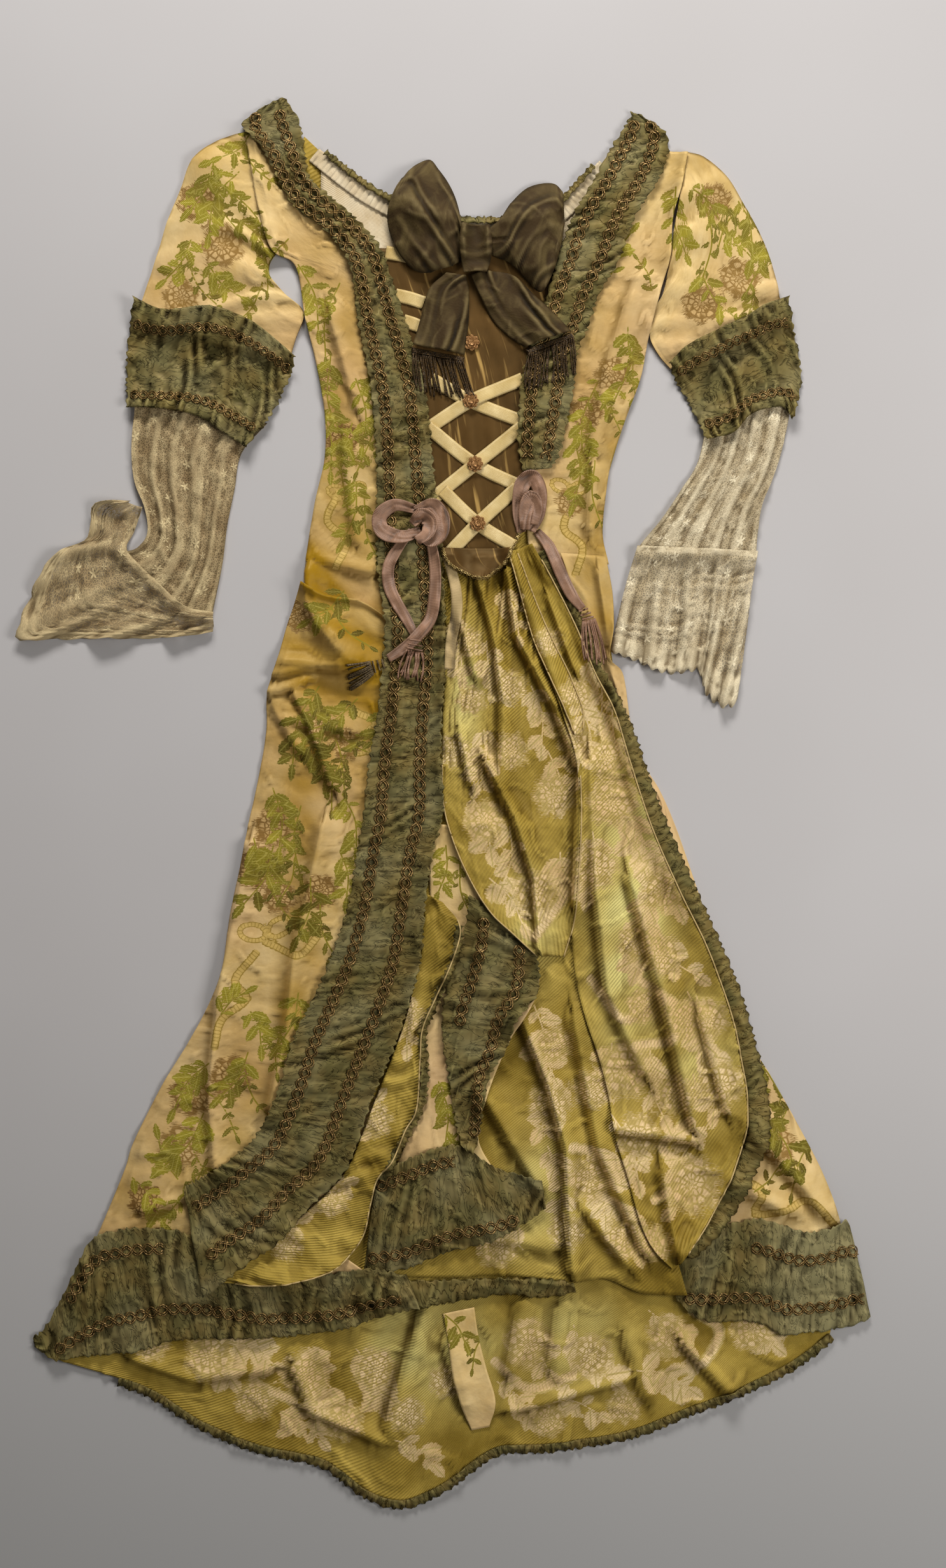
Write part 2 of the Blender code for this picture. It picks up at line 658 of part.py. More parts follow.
# Inner layers of the skirt, mostly reverse side up.
# columns: left x, left y, right x, right y
SKIRT_INNER = [
    (14, -28, 158, -28), (28, -100, 172, -100), (43, -172, 180, -172),
    (36, -244, 194, -244), (0, -316, 208, -316), (-29, -388, 223, -388),
    (-58, -460, 244, -460), (-72, -503, 259, -510), (-78, -534, 272, -555),
]
# columns: x, y
SKIRT_INNER_FOOT = [
    (-78, -534), (0, -536), (72, -534), (140, -541), (180, -538), (223, -554), (272, -555),
]
# columns: start x, start y, end x, end y, height, half width
SKIRT_INNER_FOLDS = [
    (86, -244, 115, -316, 12, 12), (115, -316, 135, -388, 14, 12), (135, -388, 141, -525, 14, 10),
    (43, -330, 100, -424, 9, 14), (144, -244, 172, -388, 9, 14), (172, -388, 223, -503, 9, 14),
    (147, -446, 205, -521, 8, 12), (57, -489, 115, -503, 6, 14),
]
# columns: left x, left y, right x, right y
SKIRT_MIDDLE = [
    (-18, -24, 46, -28), (-18, -100, 80, -114), (-8, -158, 102, -176),
    (-8, -215, 102, -217), (-28, -273, 72, -269), (-36, -330, 46, -332),
    (-44, -381, 37, -381), (-64, -431, 64, -431), (-72, -496, 72, -478),
]
# columns: left x, left y, right x, right y
MIDDLE_BAND = [
    (27, -104, 93, -145), (19, -154, 104, -178), (3, -201, 103, -215),
    (-4, -237, 80, -244), (-3, -273, 69, -276), (3, -309, 49, -309),
    (8, -345, 43, -341), (15, -377, 37, -377), (22, -392, 31, -395),
]
# columns: left x, left y, right x, right y
HEM_MIDDLE = [
    (-78, -418, -93, -531), (-40, -400, -44, -525), (-8, -388, 0, -507),
    (21, -388, 43, -496), (57, -411, 75, -482), (108, -424, 113, -457),
]
# columns: left x, left y, right x, right y
HEM_ROLL = [
    (-82, -536, -69, -578), (-36, -539, -29, -568), (14, -538, 13, -563),
    (69, -536, 72, -555), (115, -537, 111, -558), (144, -541, 147, -552),
]
# columns: left x, left y, right x, right y
FLAP = [
    (4, 274, 72, 274), (0, 224, 93, 217), (-1, 174, 111, 174), (-3, 116, 131, 116),
    (-4, 58, 147, 66), (-3, 1, 152, 8), (8, -42, 151, -50),
    (27, -86, 148, -100), (50, -123, 144, -136), (75, -147, 139, -154),
    (102, -172, 133, -174),
]
# columns: start x, start y, end x, end y, height, half width
FLAP_FOLDS = [
    (36, 249, 54, 188, 9, 7), (54, 188, 64, 116, 10, 8), (64, 116, 62, 8, 8, 9),
    (68, 260, 79, 188, 12, 7), (79, 188, 122, 109, 12, 8), (122, 109, 148, 44, 9, 10),
    (46, 44, 79, -21, 10, 8), (79, -21, 99, -86, 11, 9), (99, -86, 105, -165, 11, 8),
    (152, 44, 145, -114, 9, 8), (15, 80, 28, 22, 7, 7), (8, 238, 32, 145, 6, 8),
]
# columns: x, y
PLEAT_LOOP = [
    (75, 283), (92, 231), (109, 184), (129, 141), (145, 102), (149, 76),
]
PLEAT_LOOP_WIDTHS = (9, 14, 20, 22, 20, 9)
# columns: left x, left y, right x, right y
FRONT_TURN = [
    (-23, -102, -3, -113), (-28, -136, 16, -140), (-29, -172, 8, -176),
    (-38, -215, -10, -217), (-48, -253, -26, -254), (-58, -280, -29, -287),
    (-72, -316, -33, -345), (-83, -345, -46, -370), (-97, -381, -59, -401),
    (-110, -411, -77, -424), (-130, -437, -85, -453), (-155, -460, -95, -492),
    (-177, -480, -126, -526), (-202, -502, -170, -539), (-227, -520, -209, -543),
    (-255, -534, -251, -540),
]
EDGE_RUFFLE_WIDTH = 9
# columns: x, y
EDGE_RUFFLE_PATH = [
    (15, -138), (11, -172), (-3, -204), (-17, -237), (-26, -258), (-24, -302), (-28, -341),
    (-43, -372), (-54, -392), (-65, -415),
]

# The long shaped robing of the left front, and the shorter one of the right front.
# columns: left x, left y, right x, right y
ROBING_LEFT = [
    (-208, 786, -183, 798), (-230, 764, -166, 770), (-206, 735, -159, 732), (-189, 703, -153, 705),
    (-172, 673, -130, 684), (-141, 650, -100, 658), (-116, 621, -74, 627), (-105, 591, -62, 594),
    (-100, 548, -47, 548), (-93, 512, -35, 510), (-85, 469, -23, 467), (-80, 418, -18, 422),
    (-78, 368, -13, 368), (-78, 318, -7, 318), (-77, 260, -3, 260), (-69, 202, 0, 202),
    (-72, 152, 0, 152), (-77, 102, -4, 103), (-87, 44, -5, 48),
    (-93, -14, -3, -10), (-101, -60, -15, -60), (-110, -114, -23, -114),
    (-129, -172, -28, -176), (-149, -219, -40, -222), (-172, -267, -58, -276),
    (-190, -327, -83, -334), (-213, -374, -112, -413), (-237, -397, -152, -454),
    (-263, -415, -188, -495), (-281, -426, -227, -521), (-295, -433, -273, -558),
]
# columns: left x, left y, right x, right y
ROBING_RIGHT = [
    (210, 780, 219, 778), (201, 762, 249, 755), (185, 737, 249, 726), (165, 699, 237, 698),
    (147, 669, 218, 669), (135, 642, 205, 640), (126, 613, 194, 609), (115, 575, 172, 572),
    (105, 541, 161, 538), (93, 508, 148, 505), (85, 476, 144, 467), (82, 436, 136, 427),
    (81, 404, 129, 395), (87, 374, 118, 377),
]
BRAID_WIDTH = 12
BRAID_RISE = 1.5
BINDING_WIDTH = 8.5
BAND_PUFF = 5.0
BRAID_PLACES = (0.22, 0.70)

# The right front, turned back over its own robing so that the reverse shows.
# columns: left x, left y, right x, right y
RIGHT_TURNED = [
    (72, 283, 97, 292), (82, 238, 121, 249), (97, 195, 146, 199), (115, 145, 167, 148),
    (133, 94, 190, 102), (147, 44, 208, 44), (149, -28, 232, -28),
    (144, -100, 263, -99), (142, -149, 291, -156), (147, -201, 311, -207),
    (157, -243, 324, -248), (172, -287, 332, -287), (183, -330, 339, -330),
    (190, -374, 337, -372), (205, -424, 322, -418), (219, -474, 296, -469),
    (234, -503, 277, -496), (255, -525, 262, -518),
]
# columns: start x, start y, end x, end y, height, half width
RIGHT_TURNED_FOLDS = [
    (162, 44, 169, -100, 11, 14), (169, -100, 183, -215, 12, 14), (183, -215, 223, -302, 9, 16),
    (208, -86, 244, -215, 9, 14), (244, -215, 280, -366, 13, 16), (187, -366, 280, -381, 9, 12),
    (244, -417, 259, -503, 10, 14), (115, 231, 144, 152, 6, 8), (288, -244, 316, -345, 7, 14),
]
# columns: x, y
RIGHT_ROLL_PATH = [
    (108, 284), (126, 251), (144, 219), (159, 182), (172, 148), (187, 120), (206, 73),
    (221, 22), (239, -28), (265, -84), (289, -135), (311, -185), (326, -224),
    (337, -266), (347, -309), (352, -345), (350, -381), (335, -417), (319, -449),
    (293, -483), (270, -508),
]
RIGHT_ROLL_WIDTHS = (14, 14, 12, 12, 12, 14, 18, 22, 24, 22, 20, 20, 20, 22, 24, 26, 26, 26, 26, 26, 20)

# Small dressings.
# columns: x, y
FACING_PATH = [
    (1, 280), (11, 242), (12, 213), (6, 181), (4, 150),
]
# columns: left x, left y, right x, right y
SEAM_STRIP = [
    (-3, -577, 32, -570), (3, -611, 37, -604), (8, -647, 46, -640), (18, -683, 56, -676),
    (29, -709, 49, -705),
]
# columns: left x, left y, right x, right y
BOW_KNOT = [
    (21, 650, 44, 650), (18, 631, 47, 631), (20, 613, 46, 613), (23, 597, 41, 597),
]
# columns: left x, left y, right x, right y
BOW_LOOP_LEFT = [
    (18, 649, 18, 611), (15, 667, 0, 602), (10, 685, -29, 597), (2, 701, -49, 613),
    (-8, 715, -62, 638), (-18, 726, -66, 663), (-33, 721, -59, 688), (-42, 714, -51, 702),
]
# columns: left x, left y, right x, right y
BOW_LOOP_RIGHT = [
    (49, 647, 49, 618), (61, 657, 72, 608), (73, 676, 92, 588), (90, 693, 108, 575),
    (109, 699, 121, 598), (123, 698, 129, 624), (132, 688, 134, 652),
]
# columns: left x, left y, right x, right y
BOW_TAIL_LEFT = [
    (0, 597, 23, 594), (-18, 580, 26, 577), (-26, 555, 26, 548), (-33, 530, 23, 521),
    (-37, 516, 21, 505),
]
# columns: left x, left y, right x, right y
BOW_TAIL_RIGHT = [
    (28, 594, 46, 600), (39, 570, 76, 594), (53, 544, 105, 567), (72, 525, 128, 545),
    (89, 513, 141, 531),
]
# Fringe backings: the two ends of the top edge, then of the root line. columns: x, y
FRINGE_LEFT = [(-38, 513), (21, 502), (-39, 508), (20, 498)]
FRINGE_LEFT_ENDS = [(-35, 464), (34, 456)]
FRINGE_RIGHT = [(90, 510), (142, 528), (92, 506), (144, 524)]
FRINGE_RIGHT_ENDS = [(87, 463), (147, 483)]
# columns: left x, left y, right x, right y
MAUVE_BOW_LEFT = [
    (-74, 330, -72, 316), (-62, 341, -58, 307), (-44, 343, -40, 309), (-29, 338, -28, 320),
    (-15, 338, -16, 305), (-5, 323, -8, 299),
]
# columns: left x, left y, right x, right y
MAUVE_BOW_RIGHT = [
    (80, 303, 93, 307), (77, 332, 96, 330), (83, 359, 99, 352), (98, 374, 105, 350),
    (112, 366, 108, 339), (123, 343, 110, 326), (126, 321, 116, 313),
]
# columns: x, y
MAUVE_TAIL_SHORT = [
    (-38, 306), (-52, 289), (-64, 267), (-64, 246), (-57, 228), (-44, 206), (-35, 189),
]
# columns: x, y
MAUVE_TAIL_LONG = [
    (-25, 305), (-16, 289), (-12, 260), (-13, 231), (-18, 206), (-33, 186), (-51, 171),
    (-65, 162),
]
# columns: x, y
MAUVE_TAIL_RIGHT = [
    (103, 306), (116, 289), (129, 260), (141, 235), (154, 218),
]
TAIL_WIDTHS = (9, 13, 14, 13, 9)
# columns: x and y of the head's two ends, the root line's two ends and the tips' two ends
TASSELS = [
    (-70, 162, -67, 152, -85, 159, -81, 145, -112, 153, -107, 127),
    (-40, 185, -28, 184, -44, 172, -26, 169, -54, 142, -26, 140),
    (149, 217, 159, 221, 154, 204, 168, 208, 155, 159, 180, 159),
]
TASSEL_STRANDS = 7

# columns: place across the band, start and end along it, as parts of its width and length
HEM_BRAIDS_LEFT = ((0.18, 0.12, 0.40), (0.72, 0.05, 0.97))
HEM_BRAIDS_RIGHT = ((0.28, 0.40, 1.0), (0.76, 0.05, 1.0))
HEM_BRAIDS_MIDDLE = ((0.15, 0.0, 0.55), (0.85, 0.0, 0.85))
MIDDLE_BRAIDS = ((0.25, 0.05, 0.5), (0.75, 0.1, 0.95))


def lay_floor_pieces():
    """What lies on the table: the sack back, the sleeves and the lace."""
    back = Grid(BACK, across=16, along=0, first=NECKLINE, last=TRAIN_HEM, keep=6, v_stations=BACK_ROWS)
    lay("sack_back", back, REVERSE, relief=folds(TRAIN_FOLDS))
    lay_train_binding(back)
    for side, stations, slant in (("left", SLEEVE_LEFT, 0.5), ("right", SLEEVE_RIGHT, -0.5)):
        creases = gathers(pitch=46, depth=4, slant=slant)
        tube(f"sleeve_{side}", stations, BROCADE, along=8, height=6, relief=creases)
    for side, stations, foot, finish in (
        ("left", LACE_SLEEVE_LEFT, LACE_LEFT_FOOT, LACE_GREIGE),
        ("right", LACE_SLEEVE_RIGHT, None, LACE_CREAM),
    ):
        waves = flutes(count=3, depth=4, grow=0.5)
        tube(f"lace_sleeve_{side}", stations, finish, along=6, height=3, relief=waves, last=foot)
    for side, stations, seam, hem, finish in (
        ("left", FLOUNCE_LEFT, FLOUNCE_LEFT_SEAM, FLOUNCE_LEFT_HEM, LACE_GREIGE),
        ("right", FLOUNCE_RIGHT, None, FLOUNCE_RIGHT_HEM, LACE_CREAM),
    ):
        grid = Grid(stations, across=16, along=4, first=seam, last=hem, keep=1)
        lay(f"lace_flounce_{side}", grid, finish, relief=flutes(count=5, depth=9))


def lay_train_binding(back):
    """The dark ruffled binding, just outside the train's hem. The hem's first point has none."""
    edge = back.xy[-1]
    way = np.gradient(edge, axis=0)
    out = np.stack([way[:, 1], -way[:, 0]], axis=1) / np.linalg.norm(way, axis=1)[:, None]
    stations = np.hstack([edge + out * GAP, edge + out * BINDING_WIDTH])[1:]
    fine = np.arange(0, len(stations) - 0.5, 0.5)
    near = np.stack([np.interp(fine, range(len(stations)), stations[:, k]) for k in range(4)], axis=1)
    grid = Grid(near, across=1, along=0, v_stations=range(len(near)))
    top = WALL + gathers(pitch=60, depth=2.5)(grid).ravel()
    PILE.add(grid.points, grid.quads, top)
    solid("train_binding", grid.points, grid.quads, np.zeros(len(top)), top, RUCHED)


def lay_bodice():
    lining = Grid(BACK_LINING, across=6, along=4, first=LINING_NECK)
    lay("back_lining", lining, LINEN, wall=THIN_WALL)
    band = ribbon(NECK_BAND_PATH, (NECK_BAND_WIDTH, NECK_BAND_WIDTH), along=36)
    lay("neck_band", band, LINEN, relief=gathers(pitch=19, depth=2.0), wall=RIBBON_WALL)
    lay("stomacher", Grid(STOMACHER, across=4, along=8), LAME)
    for number, row in enumerate(LATTICE, 1):
        ends = [row[2:4], row[4:6], row[6:8], row[8:10]]
        cross_ribbon(f"lattice_ribbon_{number}", row[:2], ends, LATTICE_WIDTH, GOLD_RIBBON)
    lay("bodice_left", Grid(BODICE_LEFT, across=4, along=14), BROCADE, relief=folds(BODICE_LEFT_FOLDS))
    lay("bodice_right", Grid(BODICE_RIGHT, across=4, along=11), BROCADE, relief=folds(BODICE_RIGHT_FOLDS))


def lay_cuffs():
    for side, stations, top, foot, start in (
        ("left", CUFF_LEFT, CUFF_LEFT_TOP, CUFF_LEFT_FOOT, 0.3),
        ("right", CUFF_RIGHT, CUFF_RIGHT_TOP, CUFF_RIGHT_FOOT, 1.9),
    ):
        grid = Grid(stations, across=12, along=6, first=top, last=foot, keep=1)
        lay(f"cuff_{side}", grid, RUCHED, relief=flutes(count=3, depth=4, grow=0, start=start))


def lay_hem_band(name, grid, braids, pitch):
    """A ruched hem band: gathered across, with its braids worked on it."""
    braid_lines = raised_lines(braids, BRAID_RISE, BRAID_WIDTH)
    lay(name, grid, RUCHED, relief=gathers(pitch, BAND_PUFF), dome=braid_lines)


def lay_skirt():
    side = Grid(SKIRT_SIDE, across=3, along=18)
    lay("skirt_side_right", side, BROCADE, relief=folds(SKIRT_SIDE_FOLDS))
    lay_hem_band("hem_band_right", Grid(HEM_RIGHT, across=5, along=15), HEM_BRAIDS_RIGHT, pitch=48)
    inner = Grid(SKIRT_INNER, across=8, along=12, last=SKIRT_INNER_FOOT)
    lay("skirt_inner", inner, REVERSE, relief=folds(SKIRT_INNER_FOLDS))
    roll = Grid(HEM_ROLL, across=3, along=12)
    lay("hem_roll_middle", roll, RUCHED, relief=gathers(pitch=30, depth=1.5), dome=rounded(height=6))
    lay("skirt_middle", Grid(SKIRT_MIDDLE, across=3, along=8), BROCADE)
    lay_hem_band("hem_band_middle", Grid(HEM_MIDDLE, across=5, along=10), HEM_BRAIDS_MIDDLE, pitch=44)
    lay_hem_band("band_middle", Grid(MIDDLE_BAND, across=4, along=12), MIDDLE_BRAIDS, pitch=44)
    flap = Grid(FLAP, across=8, along=13)
    lay("front_flap", flap, REVERSE, relief=folds(FLAP_FOLDS))
    lay("skirt_left", Grid(SKIRT_LEFT, across=6, along=18), BROCADE, relief=folds(SKIRT_LEFT_FOLDS))
    lay_hem_band("hem_band_left", Grid(HEM_LEFT, across=5, along=21), HEM_BRAIDS_LEFT, pitch=50)
    lay("front_turn_left", Grid(FRONT_TURN, across=3, along=18), REVERSE, relief=gathers(pitch=60, depth=5))
    ruffle = ribbon(EDGE_RUFFLE_PATH, (EDGE_RUFFLE_WIDTH, EDGE_RUFFLE_WIDTH), along=20)
    lay("edge_ruffle", ruffle, RUCHED, wall=SOFT_WALL, relief=gathers(pitch=26, depth=2))
    roll = ribbon(RIGHT_ROLL_PATH, RIGHT_ROLL_WIDTHS, along=34, across=2)
    puffs = gathers(pitch=34, depth=2)
    lay("robing_roll_right", roll, RUCHED, wall=SOFT_WALL, relief=puffs, dome=rounded(height=5))
    turned = Grid(RIGHT_TURNED, across=7, along=16)
    lay("front_right_turned", turned, REVERSE, relief=folds(RIGHT_TURNED_FOLDS))
    loop = ribbon(PLEAT_LOOP, PLEAT_LOOP_WIDTHS, along=10, across=3)
    lay("pleat_loop", loop, REVERSE, relief=rounded(height=12))


def lay_robings():
    """Each robing and the two braids that lie on it, made from its own points."""
    for side, stations, across, along in (("left", ROBING_LEFT, 3, 72), ("right", ROBING_RIGHT, 4, 24)):
        band = Grid(stations, across, along)
        lay(f"robing_{side}", band, RUCHED, relief=gathers(pitch=62, depth=5, slant=0.2))
        for number, u in enumerate(BRAID_PLACES, 1):
            path = band.xy[::2, 0] * (1 - u) + band.xy[::2, -1] * u
            path = path[1:-1] if side == "left" else path[2:-1]
            braid = ribbon(path, (BRAID_WIDTH, BRAID_WIDTH), len(path) - 1)
            lay(f"robing_braid_{side}_{number}", braid, BRAID, wall=RIBBON_WALL)


def lay_dressings():
    lay("facing_strip", ribbon(FACING_PATH, (11, 13, 11), along=8), LINEN, wall=THIN_WALL)
    lay("seam_strip", Grid(SEAM_STRIP, across=2, along=6), BROCADE, wall=THIN_WALL)
    for number, centre in enumerate(ROSETTES, 1):
        rosette(f"rosette_{number}", centre)
    lay("bow_tail_left", Grid(BOW_TAIL_LEFT, across=3, along=5), VELVET, relief=rounded(height=5))
    lay("bow_tail_right", Grid(BOW_TAIL_RIGHT, across=3, along=5), VELVET, relief=rounded(height=5))
    comb("bow_fringe_left", FRINGE_LEFT, (*FRINGE_LEFT_ENDS, 18), VELVET, seed=3)
    comb("bow_fringe_right", FRINGE_RIGHT, (*FRINGE_RIGHT_ENDS, 17), VELVET, seed=4)
    lay("bow_loop_left", Grid(BOW_LOOP_LEFT, across=5, along=8), VELVET, relief=rounded(height=24))
    lay("bow_loop_right", Grid(BOW_LOOP_RIGHT, across=5, along=8), VELVET, relief=rounded(height=22))
    lay("bow_knot", Grid(BOW_KNOT, across=3, along=4), VELVET, wall=SOFT_WALL, dome=rounded(height=9))
    for side, stations, along in (("left", MAUVE_BOW_LEFT, 9), ("right", MAUVE_BOW_RIGHT, 10)):
        bow = Grid(stations, across=2, along=along)
        lay(f"mauve_bow_{side}", bow, MAUVE, relief=rounded(height=8), wall=RIBBON_WALL)
    for name, path, along in (
        ("mauve_tail_left_1", MAUVE_TAIL_SHORT, 12),
        ("mauve_tail_left_2", MAUVE_TAIL_LONG, 16),
        ("mauve_tail_right", MAUVE_TAIL_RIGHT, 10),
    ):
        lay(name, ribbon(path, TAIL_WIDTHS, along), MAUVE, wall=RIBBON_WALL)
    for number, row in enumerate(TASSELS, 1):
        corners = [row[i:i + 2] for i in range(0, 12, 2)]
        comb(f"tassel_{number}", corners[:4], (corners[4], corners[5], TASSEL_STRANDS), MAUVE,
             wall=SOFT_WALL, seed=10 + number)


def build():
    for old in list(bpy.data.objects):
        bpy.data.objects.remove(old, do_unlink=True)
    bpy.context.scene.collection.children.link(robe)
    lay_floor_pieces()
    lay_bodice()
    lay_cuffs()
    lay_skirt()
    lay_robings()
    lay_dressings()


build()
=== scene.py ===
# %% [markdown]
# # An eighteenth-century gown, laid flat
#
# The part is a robe a la francaise lying on its back on a table, as a costume store
# photographs it. Almost all of it is cloth: figured silk, its reverse, ruched silk
# bands, lace, velvet and braid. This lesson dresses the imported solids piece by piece.
#
# The order of the cells is the order in which a dresser would lay the gown out. The
# bottom layers come first, and each later piece settles on the pile of the earlier ones.

import math

import bpy
import numpy as np
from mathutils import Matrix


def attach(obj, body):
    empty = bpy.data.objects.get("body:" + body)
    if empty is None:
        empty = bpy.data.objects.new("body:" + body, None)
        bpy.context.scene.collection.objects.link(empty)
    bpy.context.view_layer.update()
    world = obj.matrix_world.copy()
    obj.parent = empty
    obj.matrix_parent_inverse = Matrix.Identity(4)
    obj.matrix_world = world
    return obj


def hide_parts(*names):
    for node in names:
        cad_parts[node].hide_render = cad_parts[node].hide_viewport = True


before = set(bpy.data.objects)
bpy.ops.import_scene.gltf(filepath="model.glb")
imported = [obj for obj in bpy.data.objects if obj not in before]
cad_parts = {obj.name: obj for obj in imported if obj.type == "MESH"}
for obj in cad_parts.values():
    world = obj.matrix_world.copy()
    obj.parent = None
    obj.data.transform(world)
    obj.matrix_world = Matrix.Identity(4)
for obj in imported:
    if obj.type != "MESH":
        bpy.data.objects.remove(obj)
bpy.ops.object.select_all(action="DESELECT")
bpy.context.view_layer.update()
MM = 0.001
print("pieces in the packed model:", len(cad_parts))

# %% [markdown]
# ## The camera first
#
# The photograph looks straight down, so the camera hangs three metres above the table
# with the neck at the top of the picture. Its field follows from the scale of the photo,
# 0.72 mm for each of its pixels, so nothing has to be fitted by eye.

# %% Camera
PHOTO_HEIGHT_MM = 2464 * 0.72
PHOTO_CENTRE = (0.0306, 0.0209)
CAMERA_HEIGHT = 3.0
SENSOR = 36.0
eye = bpy.data.cameras.new("eye")
eye.sensor_fit = "AUTO"
eye.sensor_width = SENSOR
eye.lens = SENSOR * CAMERA_HEIGHT / (PHOTO_HEIGHT_MM * MM)
camera = bpy.data.objects.new("eye", eye)
camera.location = (*PHOTO_CENTRE, CAMERA_HEIGHT)
bpy.context.scene.collection.objects.link(camera)
bpy.context.scene.camera = camera
print("lens:", round(eye.lens, 1), "mm")

# %% [markdown]
# ## Curves through a few points
#
# A pattern cutter marks an edge with a few points and draws a fair curve through them.
# The same is done here: every piece is a short table of stations, each with a point on
# its left and its right edge. A Catmull-Rom curve joins them, because it passes through
# every point, which a Bezier handle or a B-spline wouldn't.


# %% Curves
def smooth_curve(points, stations):
    points = np.asarray(points, float)
    padded = np.vstack([2 * points[0] - points[1], points, 2 * points[-1] - points[-2]])
    stations = np.clip(np.asarray(stations, float), 0, len(points) - 1)
    index = np.minimum(stations.astype(int), len(points) - 2)
    t = (stations - index)[:, None]
    before, start, end, after = (padded[index + k] for k in range(4))
    return 0.5 * (
        2 * start
        + (end - before) * t
        + (2 * before - 5 * start + 4 * end - after) * t**2
        + (3 * start - before - 3 * end + after) * t**3
    )


def even_stations(points, count):
    fine = np.linspace(0, len(points) - 1, 40 * len(points))
    steps = np.linalg.norm(np.diff(smooth_curve(points, fine), axis=0), axis=1)
    run = np.concatenate([[0], np.cumsum(steps)])
    return np.interp(np.linspace(0, run[-1], count + 1), run, fine)


class Cut:
    """One cut piece, flat: v runs along its stations, u from its left to its right edge."""

    def __init__(self, stations, step, first=None, last=None, keep=3, v_stations=None):
        rows = np.asarray(stations, float)
        middle = (rows[:, :2] + rows[:, 2:4]) / 2
        widest = np.linalg.norm(rows[:, 2:4] - rows[:, :2], axis=1).max()
        length = np.linalg.norm(np.diff(middle, axis=0), axis=1).sum()
        across, along = (max(2, math.ceil(size / step)) for size in (widest, length))
        v = even_stations(middle, along) if v_stations is None else np.asarray(v_stations, float)
        self.u = np.linspace(0, 1, across + 1)
        left, right = smooth_curve(rows[:, :2], v), smooth_curve(rows[:, 2:4], v)
        u = self.u[None, :, None]
        self.xy = left[:, None] * (1 - u) + right[:, None] * u
        self.v = (v - v[0]) / (v[-1] - v[0])
        for edge, row, weight in ((first, 0, (1 - self.v) ** keep), (last, -1, self.v**keep)):
            if edge is not None:
                curve = smooth_curve(edge, even_stations(edge, across))
                self.xy += weight[:, None, None] * (curve - self.xy[row])[None]
        self.measure()

    def measure(self):
        steps = np.linalg.norm(np.diff(self.xy[:, self.xy.shape[1] // 2], axis=0), axis=1)
        self.along = np.concatenate([[0], np.cumsum(steps)])
        self.across = np.linalg.norm(self.xy[:, -1] - self.xy[:, 0], axis=1)
        d1 = self.xy[1:, 1:] - self.xy[:-1, :-1]
        d2 = self.xy[1:, :-1] - self.xy[:-1, 1:]
        self.area = float(np.abs(d1[..., 0] * d2[..., 1] - d1[..., 1] * d2[..., 0]).sum() / 2)
        self.longest = float(np.linalg.norm(np.diff(self.xy, axis=0), axis=2).sum(axis=0).max())
        self.s = np.broadcast_to(self.along[:, None], self.xy.shape[:2])
        self.w = self.u[None] * self.across[:, None]

    def frill(self, amount, pitch, sides=(0, -1), seed=1):
        """Waves the raw edges in and out, as a gathered edge does."""
        for side in sides:
            away = self.xy[:, side] - self.xy[:, 1 if side == 0 else -2]
            away /= np.linalg.norm(away, axis=1)[:, None] + 1e-9
            turn = 2 * math.pi * self.along / pitch
            wave = np.sin(turn + 1.7 * np.sin(0.31 * turn + seed)) + 0.4 * np.sin(2.3 * turn + seed)
            fade = np.clip(1 - np.abs(self.u - (0 if side == 0 else 1)) * 8, 0, 1)
            self.xy += fade[None, :, None] * (wave * amount)[:, None, None] * away[:, None]
        return self


def tape(path, widths, step):
    """A strip along a path: braid, piping, ribbon or a roll."""
    path = np.asarray(path, float)
    length = np.linalg.norm(np.diff(path, axis=0), axis=1).sum()
    count = max(3, math.ceil(length / step))
    stations = even_stations(path, count)
    centre = smooth_curve(path, stations)
    width = np.interp(stations, np.linspace(0, len(path) - 1, len(widths)), widths)
    way = np.gradient(centre, axis=0)
    way /= np.linalg.norm(way, axis=1)[:, None]
    side = np.stack([-way[:, 1], way[:, 0]], axis=1) * width[:, None] / 2
    return Cut(np.hstack([centre - side, centre + side]), step, v_stations=range(count + 1))


# %% [markdown]
# ## Laying cloth on cloth
#
# Cloth simulation could drop each piece on the last, but forty layers of it would take
# far longer than this script may, and the folds would land where they like. So the pile
# is kept as a map of heights. A new piece must clear the map, and between its high spots
# it hangs like a slack skin: its heights are averaged over and over, and pushed back up
# wherever they would sink into the pile. That is a membrane over an obstacle, solved
# by relaxation, and it takes milliseconds.

# %% The pile
CELL = 2.0
LOW = np.array([-500.0, -830.0])
SHAPE = (830, 500)
GAP = 0.35


def spread(field, cells):
    """The highest value within a few cells."""
    for axis in (0, 1):
        shifted = [np.roll(field, k, axis=axis) for k in range(-cells, cells + 1)]
        field = np.max(shifted, axis=0)
    return field


